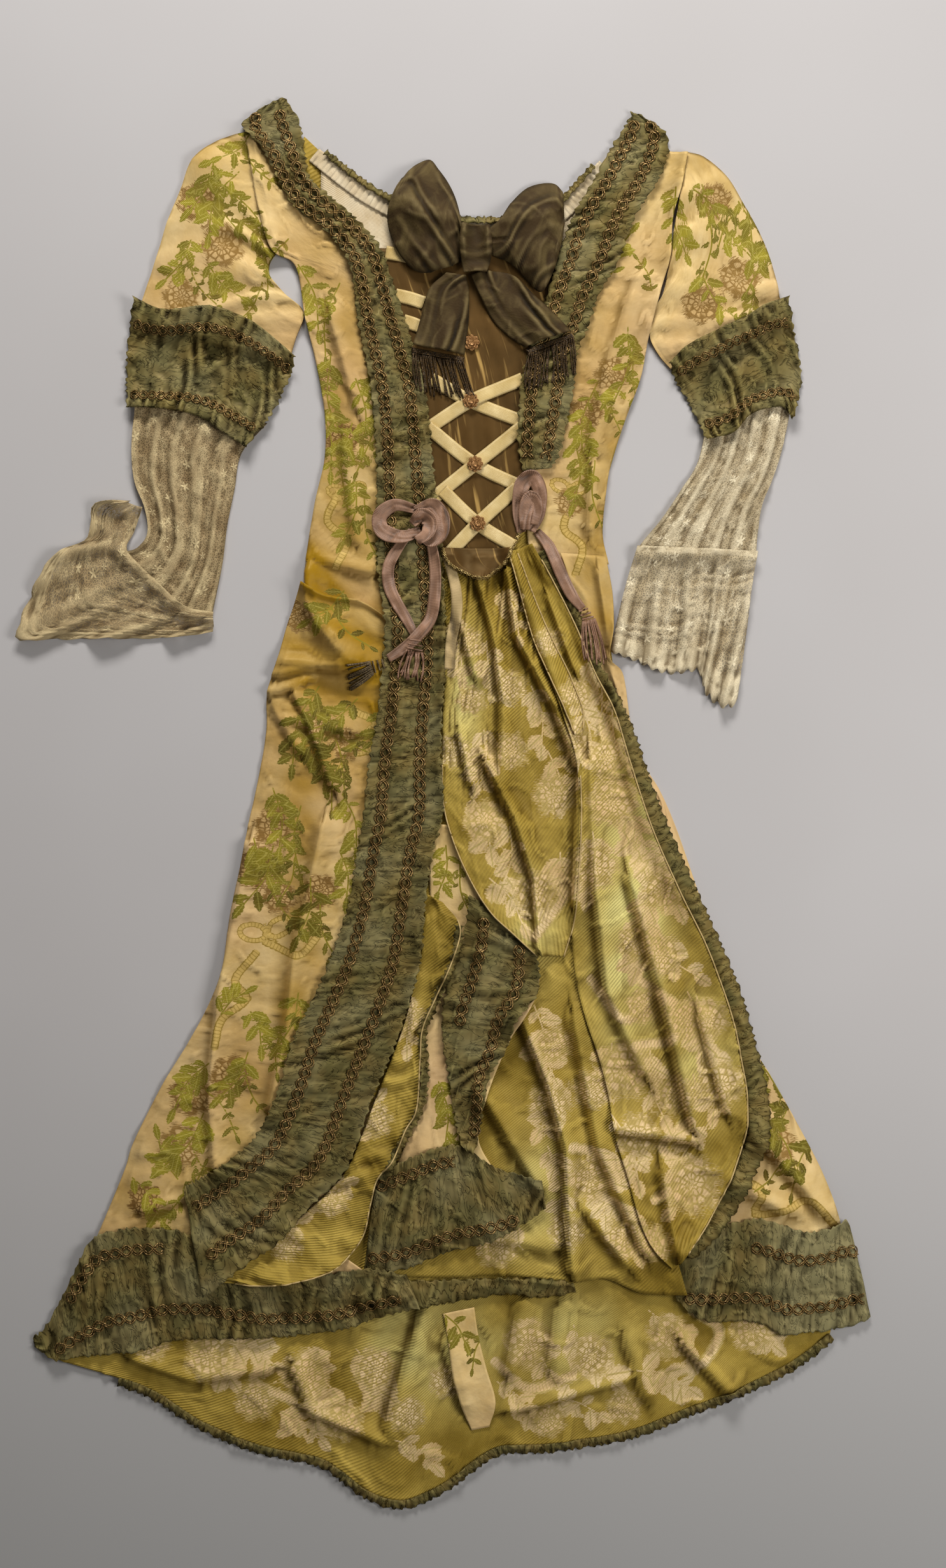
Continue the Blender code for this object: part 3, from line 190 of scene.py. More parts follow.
class Pile:
    def __init__(self):
        self.top = np.zeros(SHAPE)

    def cells(self, xy):
        at = ((xy - LOW) / CELL).astype(int)
        return np.clip(at[..., 1], 0, SHAPE[0] - 1), np.clip(at[..., 0], 0, SHAPE[1] - 1)

    def drape(self, cut, slack, margin=1):
        need = spread(self.top, margin)[self.cells(cut.xy)]
        need = np.where(need > 0, need + GAP, 0.0)
        under = need.copy()
        for _ in range(slack):
            padded = np.pad(under, 1, mode="edge")
            near = padded[:-2, 1:-1] + padded[2:, 1:-1] + padded[1:-1, :-2] + padded[1:-1, 2:]
            under = np.maximum(need, near / 4 - 0.01)
        return under

    def add(self, xy, top):
        """Raises the map to a grid of heights, sampled closer than a cell."""
        size = max(np.linalg.norm(np.diff(xy, axis=k), axis=2).max() for k in (0, 1))
        cuts = max(1, math.ceil(size / (CELL * 0.7)))
        rows, cols = top.shape
        i = np.linspace(0, rows - 1, (rows - 1) * cuts + 1)
        j = np.linspace(0, cols - 1, (cols - 1) * cuts + 1)
        a, b = np.minimum(i.astype(int), rows - 2), np.minimum(j.astype(int), cols - 2)
        s, t = (i - a)[:, None], (j - b)[None]
        parts = []
        for field in (xy[..., 0], xy[..., 1], top):
            at = field[np.ix_(a, b)] * (1 - s) * (1 - t) + field[np.ix_(a + 1, b)] * s * (1 - t)
            at += field[np.ix_(a, b + 1)] * (1 - s) * t + field[np.ix_(a + 1, b + 1)] * s * t
            parts.append(at)
        np.maximum.at(self.top, self.cells(np.stack(parts[:2], axis=-1)), parts[2])

    def height(self, xy):
        """The map's height between cell centres, smoothly."""
        at = (xy - LOW) / CELL - 0.5
        col = np.clip(at[..., 0].astype(int), 0, SHAPE[1] - 2)
        row = np.clip(at[..., 1].astype(int), 0, SHAPE[0] - 2)
        s, t = at[..., 1] - row, at[..., 0] - col
        top = self.top
        low = top[row, col] * (1 - t) + top[row, col + 1] * t
        high = top[row + 1, col] * (1 - t) + top[row + 1, col + 1] * t
        return low * (1 - s) + high * s


PILE = Pile()

# %% [markdown]
# ## From heights to a wall of cloth
#
# A sheet with no thickness shows no edge, and light leaks under it. So each piece is a
# closed wall: an upper skin, the same skin a little lower, and a rim between them. A
# Solidify modifier would do this too, but it pushes along the normals, and where cloth
# is ruched finely the inner skin would then cross itself. Lowering the copy straight
# down can't cross. Each piece also keeps a map in real millimetres, which its weave
# follows, and any painted fields as attributes.


# %% Cloth
def skin_faces(rows, cols):
    corner = (np.arange(rows - 1)[:, None] * cols + np.arange(cols - 1)).ravel()
    return np.stack([corner, corner + 1, corner + cols + 1, corner + cols], axis=1)


def rim_loop(rows, cols):
    top = np.arange(cols)
    right = np.arange(1, rows) * cols + cols - 1
    bottom = (rows - 1) * cols + np.arange(cols - 2, -1, -1)
    left = np.arange(rows - 2, 0, -1) * cols
    return np.concatenate([top, right, bottom, left])


def mesh_piece(name, cut, levels, faces, finish, fields):
    """A closed piece from skins at several heights, with its painted fields and its flat map."""
    flat = cut.xy.reshape(-1, 2)
    points = np.vstack([np.column_stack([flat, heights.ravel()]) for heights in levels])
    middle = len(cut.xy) // 2
    corner = cut.xy[middle, 0]
    if np.cross(cut.xy[middle, 1] - corner, cut.xy[middle + 1, 0] - corner) < 0:
        faces = faces[:, ::-1]
    data = bpy.data.meshes.new(name)
    data.from_pydata((points * MM).tolist(), [], faces.tolist())
    for key, values in fields.items():
        values = np.tile(np.asarray(values, float).reshape(len(flat), -1), (len(levels), 1))
        kind, part = ("FLOAT_VECTOR", "vector") if values.shape[1] == 3 else ("FLOAT", "value")
        layer = data.attributes.new(key, kind, "POINT").data
        layer.foreach_set(part, values.astype(np.float32).ravel())
    corners = np.empty(len(data.loops), np.int32)
    data.loops.foreach_get("vertex_index", corners)
    maps = np.tile(np.column_stack([cut.w.ravel(), cut.s.ravel()]), (len(levels), 1)) * MM
    layer = data.uv_layers.new(name="cloth").data
    layer.foreach_set("uv", maps[corners].astype(np.float32).ravel())
    return linked(name, data, finish)


def linked(name, data, finish):
    data.shade_smooth()
    data.materials.append(finish)
    made = bpy.data.objects.new(name, data)
    bpy.context.scene.collection.objects.link(made)
    return made


def wall_of(cut, name, under, top, finish, fields):
    upper = skin_faces(*top.shape)
    loop = rim_loop(*top.shape)
    after = np.roll(loop, -1)
    rim = np.stack([loop, loop + top.size, after + top.size, after], axis=1)
    faces = np.vstack([upper, upper[:, ::-1] + top.size, rim])
    return mesh_piece(name, cut, (top, under), faces, finish, fields)


def hollows(top, cut, deep):
    """How far each point lies below the cloth around it: under 0 on a crest. Finishes paint shade
    into the hollows and highlights onto the crests from it.
    """
    wide = max(2, round(9.0 * top.shape[0] / cut.along[-1]))
    around = top
    for _ in range(wide):
        padded = np.pad(around, 1, mode="edge")
        around = (padded[:-2, 1:-1] + padded[2:, 1:-1] + padded[1:-1, :-2] + padded[1:-1, 2:]) / 4
    return np.clip((around - top) * deep, -0.85, 0.85)


def lay(
    name, cut, finish, wall=1.6, relief=0.0, slack=30, dome=0.0, fields=None, margin=1, deep=0.5,
):
    """Lays a piece on the pile. Relief lifts the cloth, and dome thickens it. Deep sets how
    strongly the finish paints shade into its hollows and highlights onto its crests.
    """
    under = PILE.drape(cut, slack, margin) + np.maximum(relief, 0)
    top = under + wall + np.maximum(dome, 0)
    PILE.add(cut.xy, top)
    # The hollow field, from which the finishes paint shade and highlights.
    fields = {**(fields or {}), "hollow": hollows(top, cut, deep)}
    return wall_of(cut, name, under, top, finish, fields)


def on_body(piece, node):
    """Every piece rides on the one body, and most stand for the solid of their own name."""
    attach(piece, "root")
    if node:
        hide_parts(node)
    return piece


# %% [markdown]
# ## Folds, gathers and crumples
#
# Three kinds of relief cover this gown. Folds are long ridges with a place of their own.
# Gathers repeat along a band. Crumples are what silk keeps from years in a box: soft,
# aimless swells. Each is a field of heights over the piece, so they simply add up.


# %% Relief
def folds(cut, table, sharp=1.7, scale=1.7):
    """Long ridges. One side of each is steep, as on cloth that has been pressed over."""
    lift = np.zeros(cut.xy.shape[:2])
    for x0, y0, x1, y1, height, half_width in table:
        start, way = np.array([x0, y0], float), np.array([x1 - x0, y1 - y0], float)
        t = ((cut.xy - start) @ way) / (way @ way)
        off = cut.xy - start - np.clip(t, 0, 1)[..., None] * way
        side = off[..., 0] * way[1] - off[..., 1] * way[0]
        away = np.linalg.norm(off, axis=2) / (half_width * np.where(side > 0, 0.45, 1.25))
        lift = np.maximum(lift, scale * height * np.exp(-(away**sharp)))
    return lift


def swell(xy, size, seed, waves=7):
    """Soft aimless relief from 0 to 1: a few sine waves in seeded directions."""
    rng = np.random.default_rng(seed)
    total = np.zeros(xy.shape[:-1])
    for _ in range(waves):
        angle, phase, stretch = rng.uniform(0, 6.28), rng.uniform(0, 6.28), rng.uniform(0.6, 1.7)
        way = np.array([math.cos(angle), math.sin(angle)]) * 6.28 / (size * stretch)
        total += np.sin(xy @ way + phase)
    return np.clip(0.5 + total / (1.6 * math.sqrt(2 * waves)), 0, 1)


def crumple(cut, height, size, seed):
    """Creases: where two swells cross their middle, the silk has a soft edge."""
    first, second = swell(cut.xy, size, seed), swell(cut.xy, size * 0.7, seed + 50)
    crease = 1 - np.minimum(np.abs(first - 0.5) * 8, 1)
    return height * (0.5 * crease * second + 0.3 * first)


def gathers(cut, pitch, depth, waver=1.2, slant=0.0, seed=0):
    """Ruching: ridges across the band, never quite straight or even."""
    along = cut.s + slant * cut.w
    turn = 2 * math.pi * along / pitch
    bend = waver * np.sin(0.37 * turn + 3 * cut.u[None] + seed)
    bend = bend + waver * 0.8 * np.sin(5.1 * cut.u[None] + 0.11 * turn + 2 * seed)
    wave = np.sin(turn + bend)
    swing = 0.65 + 0.35 * np.sin(0.23 * turn + 5 * cut.u[None] + seed)
    return depth * np.clip(0.45 + 0.55 * wave, 0, 1) * swing


def bell(place, middle, width):
    return np.exp(-(((place - middle) / width) ** 2))


def rounded(cut, height, power):
    """A swelling across the piece, from nothing at one edge to nothing at the other."""
    return height * np.sin(math.pi * cut.u)[None] ** power * np.ones_like(cut.s)


# %% [markdown]
# ## Woven figures without an image
#
# The silk has roses, leafy sprays and curling ribbons woven into it. A picture texture
# would be the usual way, but this library keeps its finishes procedural. So each figure
# is one row of a chart: a place, a direction and a size. Every point of the cloth is then
# told where it lies in its nearest figure, measured from that figure's own middle. These
# local places change evenly across a figure, so they stay exact between the mesh's
# points, and the material can cut crisp leaves that are finer than the mesh.


# %% Charts
class Chart:
    """Leaves, blooms, ribbons and stems, and a raster of which of them lies nearest."""

    cell = 1.5
    shape = (1110, 670)

    def __init__(self):
        keys = ("leaf", "bloom", "ribbon", "stem")
        self.rows = {key: [(0, 0, 1, 0, 1, 1, 0, 50)] for key in keys}
        self.near = {key: np.full(self.shape, 8.0) for key in keys}
        self.which = {key: np.zeros(self.shape, int) for key in keys}

    def add(self, key, x, y, angle, long, wide, tone=0.0, start=0.0):
        """Records a figure by its half length and half width, and claims its cells."""
        reach = max(long, wide) + 5
        low = np.clip(
            (np.array([y, x]) - LOW[::-1] - reach) // self.cell, 0, self.shape,
        ).astype(int)
        high = np.clip(
            (np.array([y, x]) - LOW[::-1] + reach) // self.cell + 1, 0, self.shape,
        ).astype(int)
        where = slice(low[0], high[0]), slice(low[1], high[1])
        dy = LOW[1] + (np.arange(low[0], high[0])[:, None] + 0.5) * self.cell - y
        dx = LOW[0] + (np.arange(low[1], high[1])[None] + 0.5) * self.cell - x
        c, s = math.cos(angle), math.sin(angle)
        p, q = dx * c + dy * s, -dx * s + dy * c
        if key == "bloom":
            off = np.hypot(p, q) - long
        elif key == "leaf":
            off = np.maximum(
                np.abs(q) - wide * np.clip(1 - (p / long) ** 2, 0, 1) ** 0.7, np.abs(p) - long,
            )
        else:
            off = np.hypot(np.maximum(np.abs(p) - long, 0), q) - wide
        closer = off < self.near[key][where]
        self.near[key][where][closer] = off[closer]
        self.which[key][where][closer] = len(self.rows[key])
        self.rows[key].append((x, y, c, s, long, wide, tone, start))

    def line(self, key, points, wide, tone=0.0):
        """A stem or a ribbon: short straight figures along a smooth line."""
        count = max(4, int(np.linalg.norm(np.diff(points, axis=0), axis=1).sum() / 5))
        line = smooth_curve(points, even_stations(points, count))
        run = 0.0
        for (x0, y0), (x1, y1) in zip(line[:-1], line[1:]):
            half = math.hypot(x1 - x0, y1 - y0) / 2
            self.add(
                key, (x0 + x1) / 2, (y0 + y1) / 2, math.atan2(y1 - y0, x1 - x0), half, wide, tone,
                run + half,
            )
            run += 2 * half
        return line

    def spray(self, x0, y0, x1, y1, bend=0.15, leaf=15, tone=0.3, plump=1.0, gap=0.5):
        """A stem with pairs of rose leaves and one at its tip."""
        start, end = np.array([x0, y0], float), np.array([x1, y1], float)
        way = end - start
        middle = (start + end) / 2 + np.array([-way[1], way[0]]) * bend
        line = self.line("stem", [start, middle, end], 0.8, tone)
        rng = np.random.default_rng(int(abs(x0 * 7 + y0 * 13)))
        count = max(2, round(np.linalg.norm(way) / (leaf * gap)))
        for k in range(count):
            at = int((k + 0.6) / count * (len(line) - 2))
            heading = math.atan2(*(line[at + 1] - line[at])[::-1])
            side = 1 if k % 2 else -1
            for turn in (side, -side) if rng.random() < 0.45 else (side,):
                angle = heading + turn * rng.uniform(0.65, 1.15)
                size = leaf * rng.uniform(0.65, 1.25)
                x, y = line[at] + np.array([math.cos(angle), math.sin(angle)]) * size * 0.56
                self.add(
                    "leaf", x, y, angle, size / 2, size * plump * rng.uniform(0.17, 0.25),
                    np.clip(tone + rng.uniform(-0.3, 0.3), 0, 1),
                )
        heading = math.atan2(*(line[-1] - line[-2])[::-1])
        self.add(
            "leaf", x1 + math.cos(heading) * leaf / 2, y1 + math.sin(heading) * leaf / 2, heading,
            leaf * 0.5, leaf * 0.2 * plump, tone,
        )

    def rose(self, x, y, radius, tone=0.5):
        self.add("bloom", x, y, x * 0.7 + y, radius, radius, tone)

    def ribbon(self, points, width):
        self.line("ribbon", points, width / 2)

    def bow(self, x, y, size, turn=0.0):
        """A tied ribbon: two loops and a knot."""
        c, s = math.cos(turn), math.sin(turn)
        for side in (-1, 1):
            loop = []
            for a in np.linspace(0, 2 * math.pi, 7):
                p = side * size * 0.5 * (1 - math.cos(a))
                q = size * (0.32 * math.sin(a) + 0.11 * (1 - math.cos(a)))
                loop.append((x + p * c - q * s, y + p * s + q * c))
            self.ribbon(loop, size * 0.2)

    def fields(self, xy):
        """For each point: its place in the nearest figure of each kind, and how far off that is."""
        col = np.clip(((xy[..., 0] - LOW[0]) / self.cell).astype(int), 0, self.shape[1] - 1)
        row = np.clip(((xy[..., 1] - LOW[1]) / self.cell).astype(int), 0, self.shape[0] - 1)
        found = {}
        for key, rows in self.rows.items():
            x, y, c, s, long, wide, tone, start = np.moveaxis(
                np.array(rows, float)[self.which[key][row, col]], -1, 0,
            )
            dx, dy = xy[..., 0] - x, xy[..., 1] - y
            p, q = (dx * c + dy * s), (-dx * s + dy * c)
            off = self.near[key][row, col]
            first = {"leaf": p / long, "bloom": p / long}.get(key, (p + start) / 10)
            found[key] = np.stack([first, q / wide, off], axis=-1)
            if key in ("leaf", "bloom"):
                found[key + "_tone"] = tone
        return found


# %% [markdown]
# ## Finishes
#
# Each finish starts from the real material. One helper adds a shader node with its
# settings and links, and everything else is plain wiring. Colours are written as the
# sRGB codes that a paint chart gives, and one function turns them to linear light.


# %% Nodes and colours
def light(code, alpha=1.0):
    """An sRGB colour code as linear light."""
    parts = [int(code[i:i + 2], 16) / 255 for i in (1, 3, 5)]
    parts = [c / 12.92 if c <= 0.04045 else ((c + 0.055) / 1.055) ** 2.4 for c in parts]
    return (*parts, alpha)


# Of a node's outputs, the one that its wires use. For all others it is the first.
MAIN_OUTPUT = {"ShaderNodeMix": 2, "ShaderNodeTexWave": 1, "ShaderNodeAttribute": 2}


def feed(tree, node, wires):
    """Sets a node's inputs, each to a value, a socket or another node's main output."""
    for place, value in wires.items():
        if isinstance(value, bpy.types.Node):
            value = value.outputs[MAIN_OUTPUT.get(value.bl_idname, 0)]
        if isinstance(value, bpy.types.NodeSocket):
            tree.links.new(value, node.inputs[place])
        else:
            node.inputs[place].default_value = value


def put(tree, kind, wires=None, **settings):
    """Adds a node. The only mixes used here are of colours."""
    made = tree.nodes.new("ShaderNode" + kind)
    if kind == "Mix":
        made.data_type = "RGBA"
    for key, value in settings.items():
        setattr(made, key, value)
    feed(tree, made, wires or {})
    return made


def finish_start(name):
    """A new material: its tree, its shader wired to the output, and the piece's own map."""
    made = bpy.data.materials.new(name)
    made.use_nodes = True
    tree = made.node_tree
    tree.nodes.clear()
    shader = put(tree, "BsdfPrincipled")
    put(tree, "OutputMaterial", {"Surface": shader.outputs[0]})
    return made, tree, shader, put(tree, "TexCoord").outputs["UV"]


def painted_hollow_shade(tree, colour, shade):
    """The colour, turned toward a darker colour where the relief lies low: painted shade in the
    hollows.
    """
    valley = put(tree, "Attribute", attribute_name="hollow")
    return put(tree, "Mix", {0: valley, 6: colour, 7: light(shade)})


# %% [markdown]
# ### Cutting the figures out
#
# Both sides of the silk share this recipe. A leaf is where the distance from its midrib
# is less than its outline at that place, and the outline has teeth. A bloom is a disc
# with a scalloped rim. Its petals are cells that get smaller toward the heart. The weft
# frays every edge sideways, by a noise that is stretched along the weft.


# %% Figure masks
def figure_place(tree, key):
    """A point's place in its nearest figure, whole and as its three parts."""
    place = put(tree, "Attribute", attribute_name=key).outputs["Vector"]
    return place, put(tree, "SeparateXYZ", {0: place}).outputs


def ripple(tree, value, rate, heard, told):
    """A sine along a value, with one range of it mapped to another."""
    turns = put(tree, "Math", {0: value, 1: rate}, operation="MULTIPLY")
    wave = put(tree, "Math", {0: turns}, operation="SINE")
    return put(tree, "MapRange", {0: wave, 1: heard[0], 2: heard[1], 3: told[0], 4: told[1]})


def inlaid(tree, colour, layers):
    """Lays each shade over the colour where its mask is."""
    for mask, shade in layers:
        colour = put(tree, "Mix", {0: mask, 6: colour, 7: shade})
    return colour


def figure_masks(tree, uv, fray, soft):
    stretched = put(tree, "Mapping", {0: uv, 3: (170.0, 900.0, 1.0)})
    ragged = put(tree, "TexNoise", {"Vector": stretched, "Scale": 1.0, "Detail": 1.0})
    wander = put(tree, "MapRange", {0: ragged, 1: 0.3, 2: 0.7, 3: -fray, 4: fray})
    masks = {}

    _, leaf = figure_place(tree, "leaf")
    square = put(tree, "Math", {0: leaf[0], 1: leaf[0]}, operation="MULTIPLY")
    room = put(tree, "Math", {0: 1.0, 1: square}, operation="SUBTRACT", use_clamp=True)
    bulge = put(tree, "Math", {0: room, 1: 0.75}, operation="POWER")
    teeth = ripple(tree, leaf[0], 15.0, (-1.0, 1.0), (0.88, 1.08))
    outline = put(tree, "Math", {0: bulge, 1: teeth, 2: wander}, operation="MULTIPLY_ADD")
    from_rib = put(tree, "Math", {0: leaf[1]}, operation="ABSOLUTE")
    inside = put(tree, "Math", {0: outline, 1: from_rib}, operation="SUBTRACT")
    body = put(tree, "MapRange", {0: inside, 1: -soft, 2: soft})
    close = put(tree, "MapRange", {0: leaf[2], 1: 1.2, 2: 0.9})
    masks["leaf"] = put(tree, "Math", {0: body, 1: close}, operation="MULTIPLY")
    slant = put(tree, "Math", {0: from_rib, 1: -0.5, 2: leaf[0]}, operation="MULTIPLY_ADD")
    vein = ripple(tree, slant, 16.0, (0.5, 1.0), (0.0, 0.4))
    rib = put(tree, "MapRange", {0: from_rib, 1: 0.07, 2: 0.17, 3: 1.0, 4: 0.0})
    ribs = put(tree, "Math", {0: vein, 1: rib}, operation="MAXIMUM")
    masks["rib"] = put(tree, "Math", {0: ribs, 1: masks["leaf"]}, operation="MULTIPLY")

    place, bloom = figure_place(tree, "bloom")
    flat = put(tree, "VectorMath", {0: place, 1: (1.0, 1.0, 0.0)}, operation="MULTIPLY")
    out = put(tree, "VectorMath", {0: flat}, operation="LENGTH").outputs["Value"]
    turn = put(tree, "Math", {0: bloom[1], 1: bloom[0]}, operation="ARCTAN2")
    lobes = put(tree, "Math", {0: turn, 1: 3.5}, operation="MULTIPLY")
    lobes = put(tree, "Math", {0: lobes}, operation="SINE")
    lobes = put(tree, "Math", {0: lobes}, operation="ABSOLUTE")
    rim = put(tree, "Math", {0: lobes, 1: 0.22, 2: 0.8}, operation="MULTIPLY_ADD")
    rim = put(tree, "Math", {0: rim, 1: wander}, operation="ADD")
    inside = put(tree, "Math", {0: rim, 1: out}, operation="SUBTRACT")
    masks["bloom"] = put(tree, "MapRange", {0: inside, 1: -soft, 2: soft})
    ring = put(tree, "Math", {0: out, 1: 0.6}, operation="POWER")
    around = put(tree, "CombineXYZ", {0: turn, 1: ring, 2: 0.0})
    around = put(tree, "VectorMath", {0: around, 1: (2.1, 4.6, 1.0)}, operation="MULTIPLY")
    petals = put(
        tree, "TexVoronoi", {"Vector": around, "Scale": 1.0, "Randomness": 0.6},
        feature="DISTANCE_TO_EDGE",
    )
    between = put(tree, "MapRange", {0: petals, 1: 0.08, 2: 0.2, 3: 1.0, 4: 0.0})
    near_rim = put(tree, "MapRange", {0: inside, 1: 0.06, 2: 0.14, 3: 1.0, 4: 0.0})
    drawn = put(tree, "Math", {0: between, 1: near_rim}, operation="MAXIMUM")
    masks["petal"] = put(tree, "Math", {0: drawn, 1: masks["bloom"]}, operation="MULTIPLY")

    _, ribbon = figure_place(tree, "ribbon")
    across = put(tree, "Math", {0: ribbon[1], 1: wander}, operation="ADD")
    across = put(tree, "Math", {0: across}, operation="ABSOLUTE")
    body = put(tree, "MapRange", {0: across, 1: 1.0 + soft, 2: 1.0 - soft})
    close = put(tree, "MapRange", {0: ribbon[2], 1: 2.0, 2: 1.2})
    masks["ribbon"] = put(tree, "Math", {0: body, 1: close}, operation="MULTIPLY")
    hatch = ripple(tree, ribbon[0], 16.0, (0.4, 1.0), (0.0, 0.7))
    edge = put(tree, "MapRange", {0: across, 1: 0.62, 2: 0.78})
    drawn = put(tree, "Math", {0: hatch, 1: edge}, operation="MAXIMUM")
    masks["edging"] = put(tree, "Math", {0: drawn, 1: masks["ribbon"]}, operation="MULTIPLY")

    _, stem = figure_place(tree, "stem")
    across = put(tree, "Math", {0: stem[1]}, operation="ABSOLUTE")
    body = put(tree, "MapRange", {0: across, 1: 1.25, 2: 0.9})
    close = put(tree, "MapRange", {0: stem[2], 1: 1.8, 2: 1.0})
    masks["stem"] = put(tree, "Math", {0: body, 1: close}, operation="MULTIPLY")
    return masks


# %% [markdown]
# ### Brocaded silk, face up
#
# A cream silk satin with extra coloured wefts: olive leaves, dusty roses with pale
# outlines. Satin is smooth and slightly glossy. The brocading stands a hair proud and
# shows its own fine weft lines. The real threads are under 0.3 mm and would vanish in
# the render, so the ribs are drawn about 1.2 mm apart. Old mustard-yellow stains run
# down the folds, and they are a painted field too. The same field also carries painted
# shade, darkening the silk where it lies in shadow.


# %% Brocade, face
def silk_face():
    made, tree, shader, uv = finish_start("brocaded_silk_satin")
    mottle = put(tree, "TexNoise", {"Vector": uv, "Scale": 14.0, "Detail": 5.0, "Roughness": 0.65})
    mottle = put(tree, "MapRange", {0: mottle, 1: 0.35, 2: 0.65})
    blush = put(tree, "TexNoise", {"Vector": uv, "Scale": 5.0, "Detail": 2.0})
    pinked = put(tree, "MapRange", {0: blush, 1: 0.42, 2: 0.62, 4: 0.7})
    ground = put(tree, "Mix", {0: mottle, 6: light("#C4A364"), 7: light("#DABE86")})
    ground = put(tree, "Mix", {0: pinked, 6: ground, 7: light("#CBA67A")})
    # Stains, and painted shade where the silk lies in shadow, turn the ground dark mustard.
    stain_and_shading = put(tree, "Attribute", attribute_name="stain_and_shading")
    ground = put(tree, "Mix", {0: stain_and_shading, 6: ground, 7: light("#987214")})
    weft = put(
        tree, "TexWave", {"Vector": uv, "Scale": 260.0, "Distortion": 1.2, "Detail": 1.0},
        bands_direction="Y",
    )
    masks = figure_masks(tree, uv, 0.14, 0.07)
    leaf_tone = put(tree, "Attribute", attribute_name="leaf_tone")
    olive = put(tree, "Mix", {0: leaf_tone, 6: light("#9A8C28"), 7: light("#564A12")})
    pale_rib = put(tree, "Mix", {0: leaf_tone, 6: light("#B9A94E"), 7: light("#7D7230")})
    bloom_tone = put(tree, "Attribute", attribute_name="bloom_tone")
    rose = put(tree, "Mix", {0: bloom_tone, 6: light("#D2B27E"), 7: light("#B08A52")})
    rose = put(tree, "Mix", {0: weft, 6: rose, 7: light("#BF9C62")})
    petal = put(tree, "Mix", {0: bloom_tone, 6: light("#92703A"), 7: light("#6E4E24")})
    colour = inlaid(tree, ground, (
        (masks["ribbon"], light("#C2A25A")),
        (masks["edging"], light("#8F7430")),
        (masks["bloom"], rose),
        (masks["petal"], petal),
        (masks["stem"], light("#857724")),
        (masks["leaf"], olive),
        (masks["rib"], pale_rib),
    ))
    figure = put(tree, "Math", {0: masks["leaf"], 1: masks["bloom"]}, operation="MAXIMUM")
    height = put(tree, "Math", {0: weft, 1: figure}, operation="MULTIPLY")
    fine = put(tree, "TexNoise", {"Vector": uv, "Scale": 60.0, "Detail": 3.0})
    height = put(tree, "Math", {0: fine, 1: 2.4, 2: height}, operation="MULTIPLY_ADD")
    bump = put(tree, "Bump", {"Strength": 0.4, "Distance": 0.0014, "Height": height})
    sheen = put(tree, "MapRange", {0: figure, 1: 0.0, 2: 1.0, 3: 0.45, 4: 0.65})
    # Painted shade: the hollows of the relief are turned dark brown.
    colour = painted_hollow_shade(tree, colour, "#7A5C26")
    feed(
        tree, shader,
        {
            "Base Color": colour, "Roughness": sheen, "Normal": bump, "Specular IOR Level": 0.3,
            "Specular Tint": light("#F0D8A0"),
        },
    )
    return made


FACE = silk_face()

# %% [markdown]
# ### The same silk from behind
#
# Wrong side up, the wefts that make the leaves float across the back, so the ground is
# a yellow-green twill and the figures are cream. The twill's diagonal ribs are about
# 1 mm apart on the real cloth and are drawn at 3 mm. The floats fray the figures' edges
# sideways, which a noise stretched along the weft gives.


# %% Brocade, reverse
def silk_reverse():
    made, tree, shader, uv = finish_start("silk_twill_reverse")
    mottle = put(tree, "TexNoise", {"Vector": uv, "Scale": 7.0, "Detail": 4.0, "Roughness": 0.6})
    patch = put(tree, "MapRange", {0: mottle, 1: 0.38, 2: 0.62})
    ground = put(tree, "Mix", {0: patch, 6: light("#8A7026"), 7: light("#BA9E48")})
    # Stains, and a painted pool of light on the turned front, turn the ground pale yellow-green.
    stain_and_shading = put(tree, "Attribute", attribute_name="stain_and_shading")
    ground = put(tree, "Mix", {0: stain_and_shading, 6: ground, 7: light("#E2D688")})
    masks = figure_masks(tree, uv, 0.26, 0.12)
    cream = put(tree, "Mix", {0: patch, 6: light("#D4B07A"), 7: light("#EFD2A0")})
    dull = put(tree, "Mix", {0: 0.15, 6: cream, 7: light("#AE9A56")})
    colour = inlaid(tree, ground, (
        (masks["ribbon"], cream),
        (masks["edging"], light("#B7A05E")),
        (masks["stem"], dull),
        (masks["leaf"], dull),
        (masks["rib"], light("#BBA464")),
        (masks["bloom"], cream),
        (masks["petal"], light("#B59C5A")),
    ))
    twill = put(
        tree, "TexWave",
        {"Vector": uv, "Scale": 150.0, "Distortion": 0.8, "Detail": 1.0, "Detail Scale": 4.0},
        bands_direction="DIAGONAL",
    )
    shade = put(tree, "Mix", {0: twill, 6: (0.86, 0.86, 0.84, 1), 7: (1, 1, 1, 1)})
    colour = put(tree, "Mix", {0: 1.0, 6: colour, 7: shade}, blend_type="MULTIPLY")
    # Painted shade in the hollows of the relief.
    colour = painted_hollow_shade(tree, colour, "#55400F")
    fine = put(tree, "TexNoise", {"Vector": uv, "Scale": 45.0, "Detail": 4.0})
    height = put(tree, "Math", {0: fine, 1: 3.4, 2: twill}, operation="MULTIPLY_ADD")
    bump = put(tree, "Bump", {"Strength": 0.45, "Distance": 0.0014, "Height": height})
    feed(
        tree, shader,
        {
            "Base Color": colour, "Normal": bump, "Roughness": 0.55, "Specular IOR Level": 0.3,
            "Specular Tint": light("#F0D8A0"),
        },
    )
    return made


BACK_FACE = silk_reverse()
